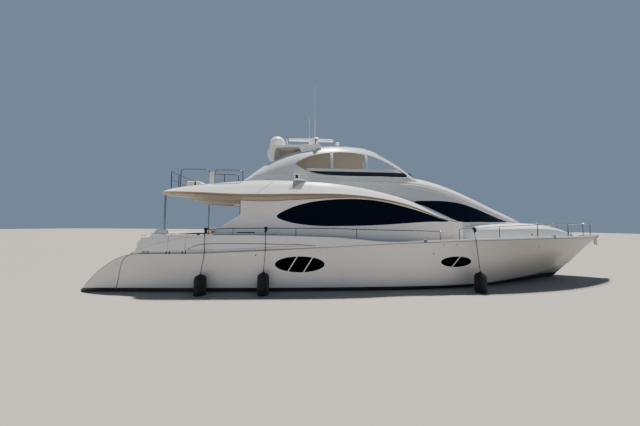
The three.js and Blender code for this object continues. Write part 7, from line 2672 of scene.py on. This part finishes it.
@dataclass
class RunningGear:
    """Shafts with their brackets, the propellers and the rudders."""

    y: float = 1.15
    prop: tuple[float, float] = (-10.25, -1.01)
    slope: float = 0.105
    radius: float = 0.43
    rudder_x: float = -11.05
    rudder_thick: float = 0.028

    def on_shaft(self, x: float) -> Point:
        """A point of the port shaft's centreline."""
        return (x, self.y, self.prop[1] + (x - self.prop[0]) * self.slope)

    def build(self) -> None:
        """Builds shafts, propellers and rudders."""
        line = tubes("line", [[self.on_shaft(self.prop[0] + 0.19), self.on_shaft(-5.2)]], 0.045, STEEL, 24)
        barrel = tubes("barrel", [[self.on_shaft(-10.04), self.on_shaft(-9.72)]], 0.085, STEEL, 28)
        cutter = hull_body("hull_down", drop=AIR, count=110)
        legs = []
        for dy in (-0.225, 0.225):
            legs.append(tubes("leg", [[self.on_shaft(-9.88), (-9.7, self.y + dy, -0.3)]], 0.034, STEEL, 18))
        parts = [carve(part, cutter, keep=True) for part in (line, barrel, *legs)]
        discard(cutter)
        pair(joined("shaft_assembly", *parts), STEEL, "shaft")
        self.propeller()
        self.rudder()

    def propeller(self) -> None:
        """Four wide blades on a tapered hub."""
        x0, z0 = self.prop
        tilt = Matrix.Translation((x0, self.y, z0)) @ Matrix.Rotation(-math.atan(self.slope), 4, "Y")
        hub = turned("hub", [(0.0, -0.165), (0.035, -0.16), (0.06, -0.13), (0.076, -0.06), (0.08, 0.02), (0.08, 0.17),
                             (0.078, 0.1895)], ORIGIN, Axis.X, 40)
        blades = []
        for turn in range(4):
            rings = []
            for t in spread(0.0, 1.0, 14):
                reach = 0.06 + (self.radius - 0.06) * t
                chord = 0.075 + 0.05 * math.sin(math.pi * min(1.0, 0.15 + 0.85 * t))
                chord *= 1.0 if t < 0.6 else math.sqrt(max(0.02, 1 - ((t - 0.6) / 0.4) ** 2))
                twist = 0.95 - 0.45 * reach / self.radius
                thick = 0.013 - 0.009 * t
                ring = []
                for a in turns(16):
                    u, w = chord * math.cos(a), thick * math.sin(a)
                    ring.append((w * math.cos(twist) + u * math.sin(twist), u * math.cos(twist) - w * math.sin(twist),
                                 reach))
                rings.append(ring)
            blade = loft("blade", rings)
            blade.data.transform(Matrix.Rotation(turn * math.pi / 2, 4, "X"))
            blades.append(blade)
        made = joined("propeller_wheel", hub, *blades)
        made.data.transform(tilt)
        pair(made, BRONZE, "propeller", "propeller_", angle=50)

    def rudder(self) -> None:
        """Foil-shaped blade on its stock."""
        x = self.rudder_x
        outline = [(x - 0.33, -0.56), (x + 0.17, -0.60), (x + 0.2, -1.35), (x - 0.24, -1.35)]
        rings = []
        for t in spread(0.0, 1.0, 12):
            aft = outline[0][0] + (outline[3][0] - outline[0][0]) * t
            fore = outline[1][0] + (outline[2][0] - outline[1][0]) * t
            z = -0.575 - 0.775 * t
            ring = []
            for a in turns(32):
                share = 0.5 - 0.5 * math.cos(a)
                thick = min(self.rudder_thick * (2.6 * math.sqrt(share) * (1 - share)), self.rudder_thick)
                ring.append((fore + (aft - fore) * share, self.y + math.copysign(thick, math.sin(a)), z))
            rings.append(ring)
        blade = loft("blade", rings)
        stock = tubes("stock", [[(x, self.y, -1.2), (x, self.y, -0.4402)]], 0.034, BRONZE, 24)
        pair(joined("rudder_blade", blade, stock), BRONZE, "rudder", "rudder_", angle=40)


@dataclass
class Fenders:
    """Three black fenders in knitted covers, hung from the rails on the starboard side."""

    hung: Sequence[tuple[str, float, float, float, float, float]] = (
        ("aft", -7.64, 0.75, 0.9, 2.502, 0.018), ("middle", -5.24, 0.83, 0.9, 2.564, 0.018),
        ("fore", 3.55, 0.80, 0.85, 2.609, 0.020))

    def build(self) -> None:
        """Builds each fender with its line and knots."""
        for label, x, top, length, rail_z, rail_radius in self.hung:
            y, r = -(SHEER.half(x) + FENDER_RADIUS + 0.012), FENDER_RADIUS
            middle = [(r * (1 + 0.006 * math.sin(i * 2.1)), 0.18 + (length - 0.36) * i / 12) for i in range(1, 12)]
            profile = [(0.02, 0.0), (r * 0.3, 0.004), (r * 0.55, 0.016), (r * 0.74, 0.04), (r * 0.88, 0.078),
                       (r * 0.96, 0.125), (r, 0.18), *middle, (r, length - 0.18), (r * 0.96, length - 0.125),
                       (r * 0.88, length - 0.078), (r * 0.74, length - 0.04), (r * 0.5, length - 0.014),
                       (0.075, length), (0.055, length + 0.02), (0.045, length + 0.04)]
            body = turned(f"fender_{label}_cover", profile, (x, y, top - length), segments=64)
            settle(body, KNIT, nodes=(f"fender_{label}",), angle=60)
            edge, line_y = -(SHEER.half(x) + 0.026), -rail_line(x)
            hang = [(x, y, top + 0.02), (x + 0.01, y + 0.06, top + 0.3), (x + 0.02, edge - 0.006, SHEER.z(x) - 0.06),
                    (x + 0.015, edge - 0.004, BULWARK.z(x) - 0.02),
                    (x + 0.01, -(SHEER.half(x) - 0.02), BULWARK.z(x) + 0.06), (x, line_y, rail_z - rail_radius - 0.016)]
            ring = rail_radius + 0.020
            loops = [[(x + shift + 0.006 * math.sin(2 * a), line_y + ring * math.cos(a), rail_z + ring * math.sin(a))
                      for a in spread(0, 2 * math.pi, 24)] for shift in (-0.030, 0.004, 0.038)]
            knot = [(x + 0.012 + 0.04 * math.cos(2 * a), line_y - rail_radius - 0.03 + 0.02 * math.sin(3 * a),
                     rail_z - 0.075 + 0.06 * math.sin(a) + 0.03 * math.cos(3 * a)) for a in spread(0, 2 * math.pi, 40)]
            rope = joined(f"fender_{label}_rope", tubes("hang", [catmull(hang, 10)], 0.0125, ROPE, 10),
                          tubes("turns", [*loops, knot], 0.021, ROPE, 10))
            settle(rope, ROPE)


@dataclass
class Stage:
    """Floor at the waterline, sky, sun and camera."""

    lens: float = 13.5
    place: Point = (-3.54, -12.67, 2.654)
    yaw: float = 2.9
    pitch: float = 3.17
    roll: float = 0.41

    def build(self) -> None:
        """Builds the stage round the yacht."""
        self.floor()
        self.world()
        self.sun()
        self.camera()

    def floor(self) -> None:
        """A plain pale floor at the waterline."""
        wide = 160.0
        verts = [(-wide, -wide, 0.0), (wide, -wide, 0.0), (wide, wide, 0.0), (-wide, wide, 0.0)]
        ground = mesh_object("floor", verts, [(0, 1, 2, 3)])
        made = bpy.data.materials.new("floor")
        made.use_nodes = True
        shader = node_of(made.node_tree)
        shader.inputs["Base Color"].default_value = (0.27, 0.25, 0.225, 1.0)
        shader.inputs["Roughness"].default_value = 0.8
        ground.data.materials.append(made)

    def world(self) -> None:
        """A soft pale blue sky."""
        world = bpy.data.worlds.new("sky")
        world.use_nodes = True
        bpy.context.scene.world = world
        sky = node_of(world.node_tree, "ShaderNodeBackground")
        sky.inputs["Color"].default_value = (0.50, 0.68, 0.96, 1.0)
        sky.inputs["Strength"].default_value = 0.36

    def sun(self) -> None:
        """Soft sunlight from above, behind the yacht and to the right."""
        light = bpy.data.lights.new("sun", "SUN")
        light.energy = 10.0
        light.angle = math.radians(3.0)
        light.color = (1.0, 0.955, 0.88)
        lamp = linked("sun", light)
        lamp.matrix_world = Vector((-0.06, -0.26, -0.96)).to_track_quat("-Z", "Y").to_matrix().to_4x4()

    def camera(self) -> None:
        """The camera that sees the yacht as in the photograph."""
        yaw, pitch, roll = (math.radians(a) for a in (self.yaw, self.pitch, self.roll))
        ahead = Vector((math.sin(yaw) * math.cos(pitch), math.cos(yaw) * math.cos(pitch), math.sin(pitch)))
        right = Vector((math.cos(yaw), -math.sin(yaw), 0.0))
        up = right.cross(ahead)
        right, up = (right * math.cos(roll) + up * math.sin(roll), up * math.cos(roll) - right * math.sin(roll))
        data = bpy.data.cameras.new("camera")
        data.lens = self.lens
        data.sensor_width = 36.0
        data.clip_end = 600.0
        made = linked("camera", data)
        made.matrix_world = Matrix.Translation(self.place) @ Matrix((right, up, -ahead)).transposed().to_4x4()
        bpy.context.scene.camera = made


def main() -> None:
    """Builds the yacht's looks on the frame, then its stage."""
    logging.basicConfig(level=logging.INFO, format="%(message)s")
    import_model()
    for part in (Hull(), Bulwark(), Saloon(), Deckhouse(), FlyDeck(), Hardtop(), Mast(), Rails(), Foredeck(), Cockpit(),
                 FlyFittings(), RunningGear(), Fenders()):
        log.info("== %s", type(part).__name__)
        part.build()
    Stage().build()


if __name__ == "__main__":
    main()
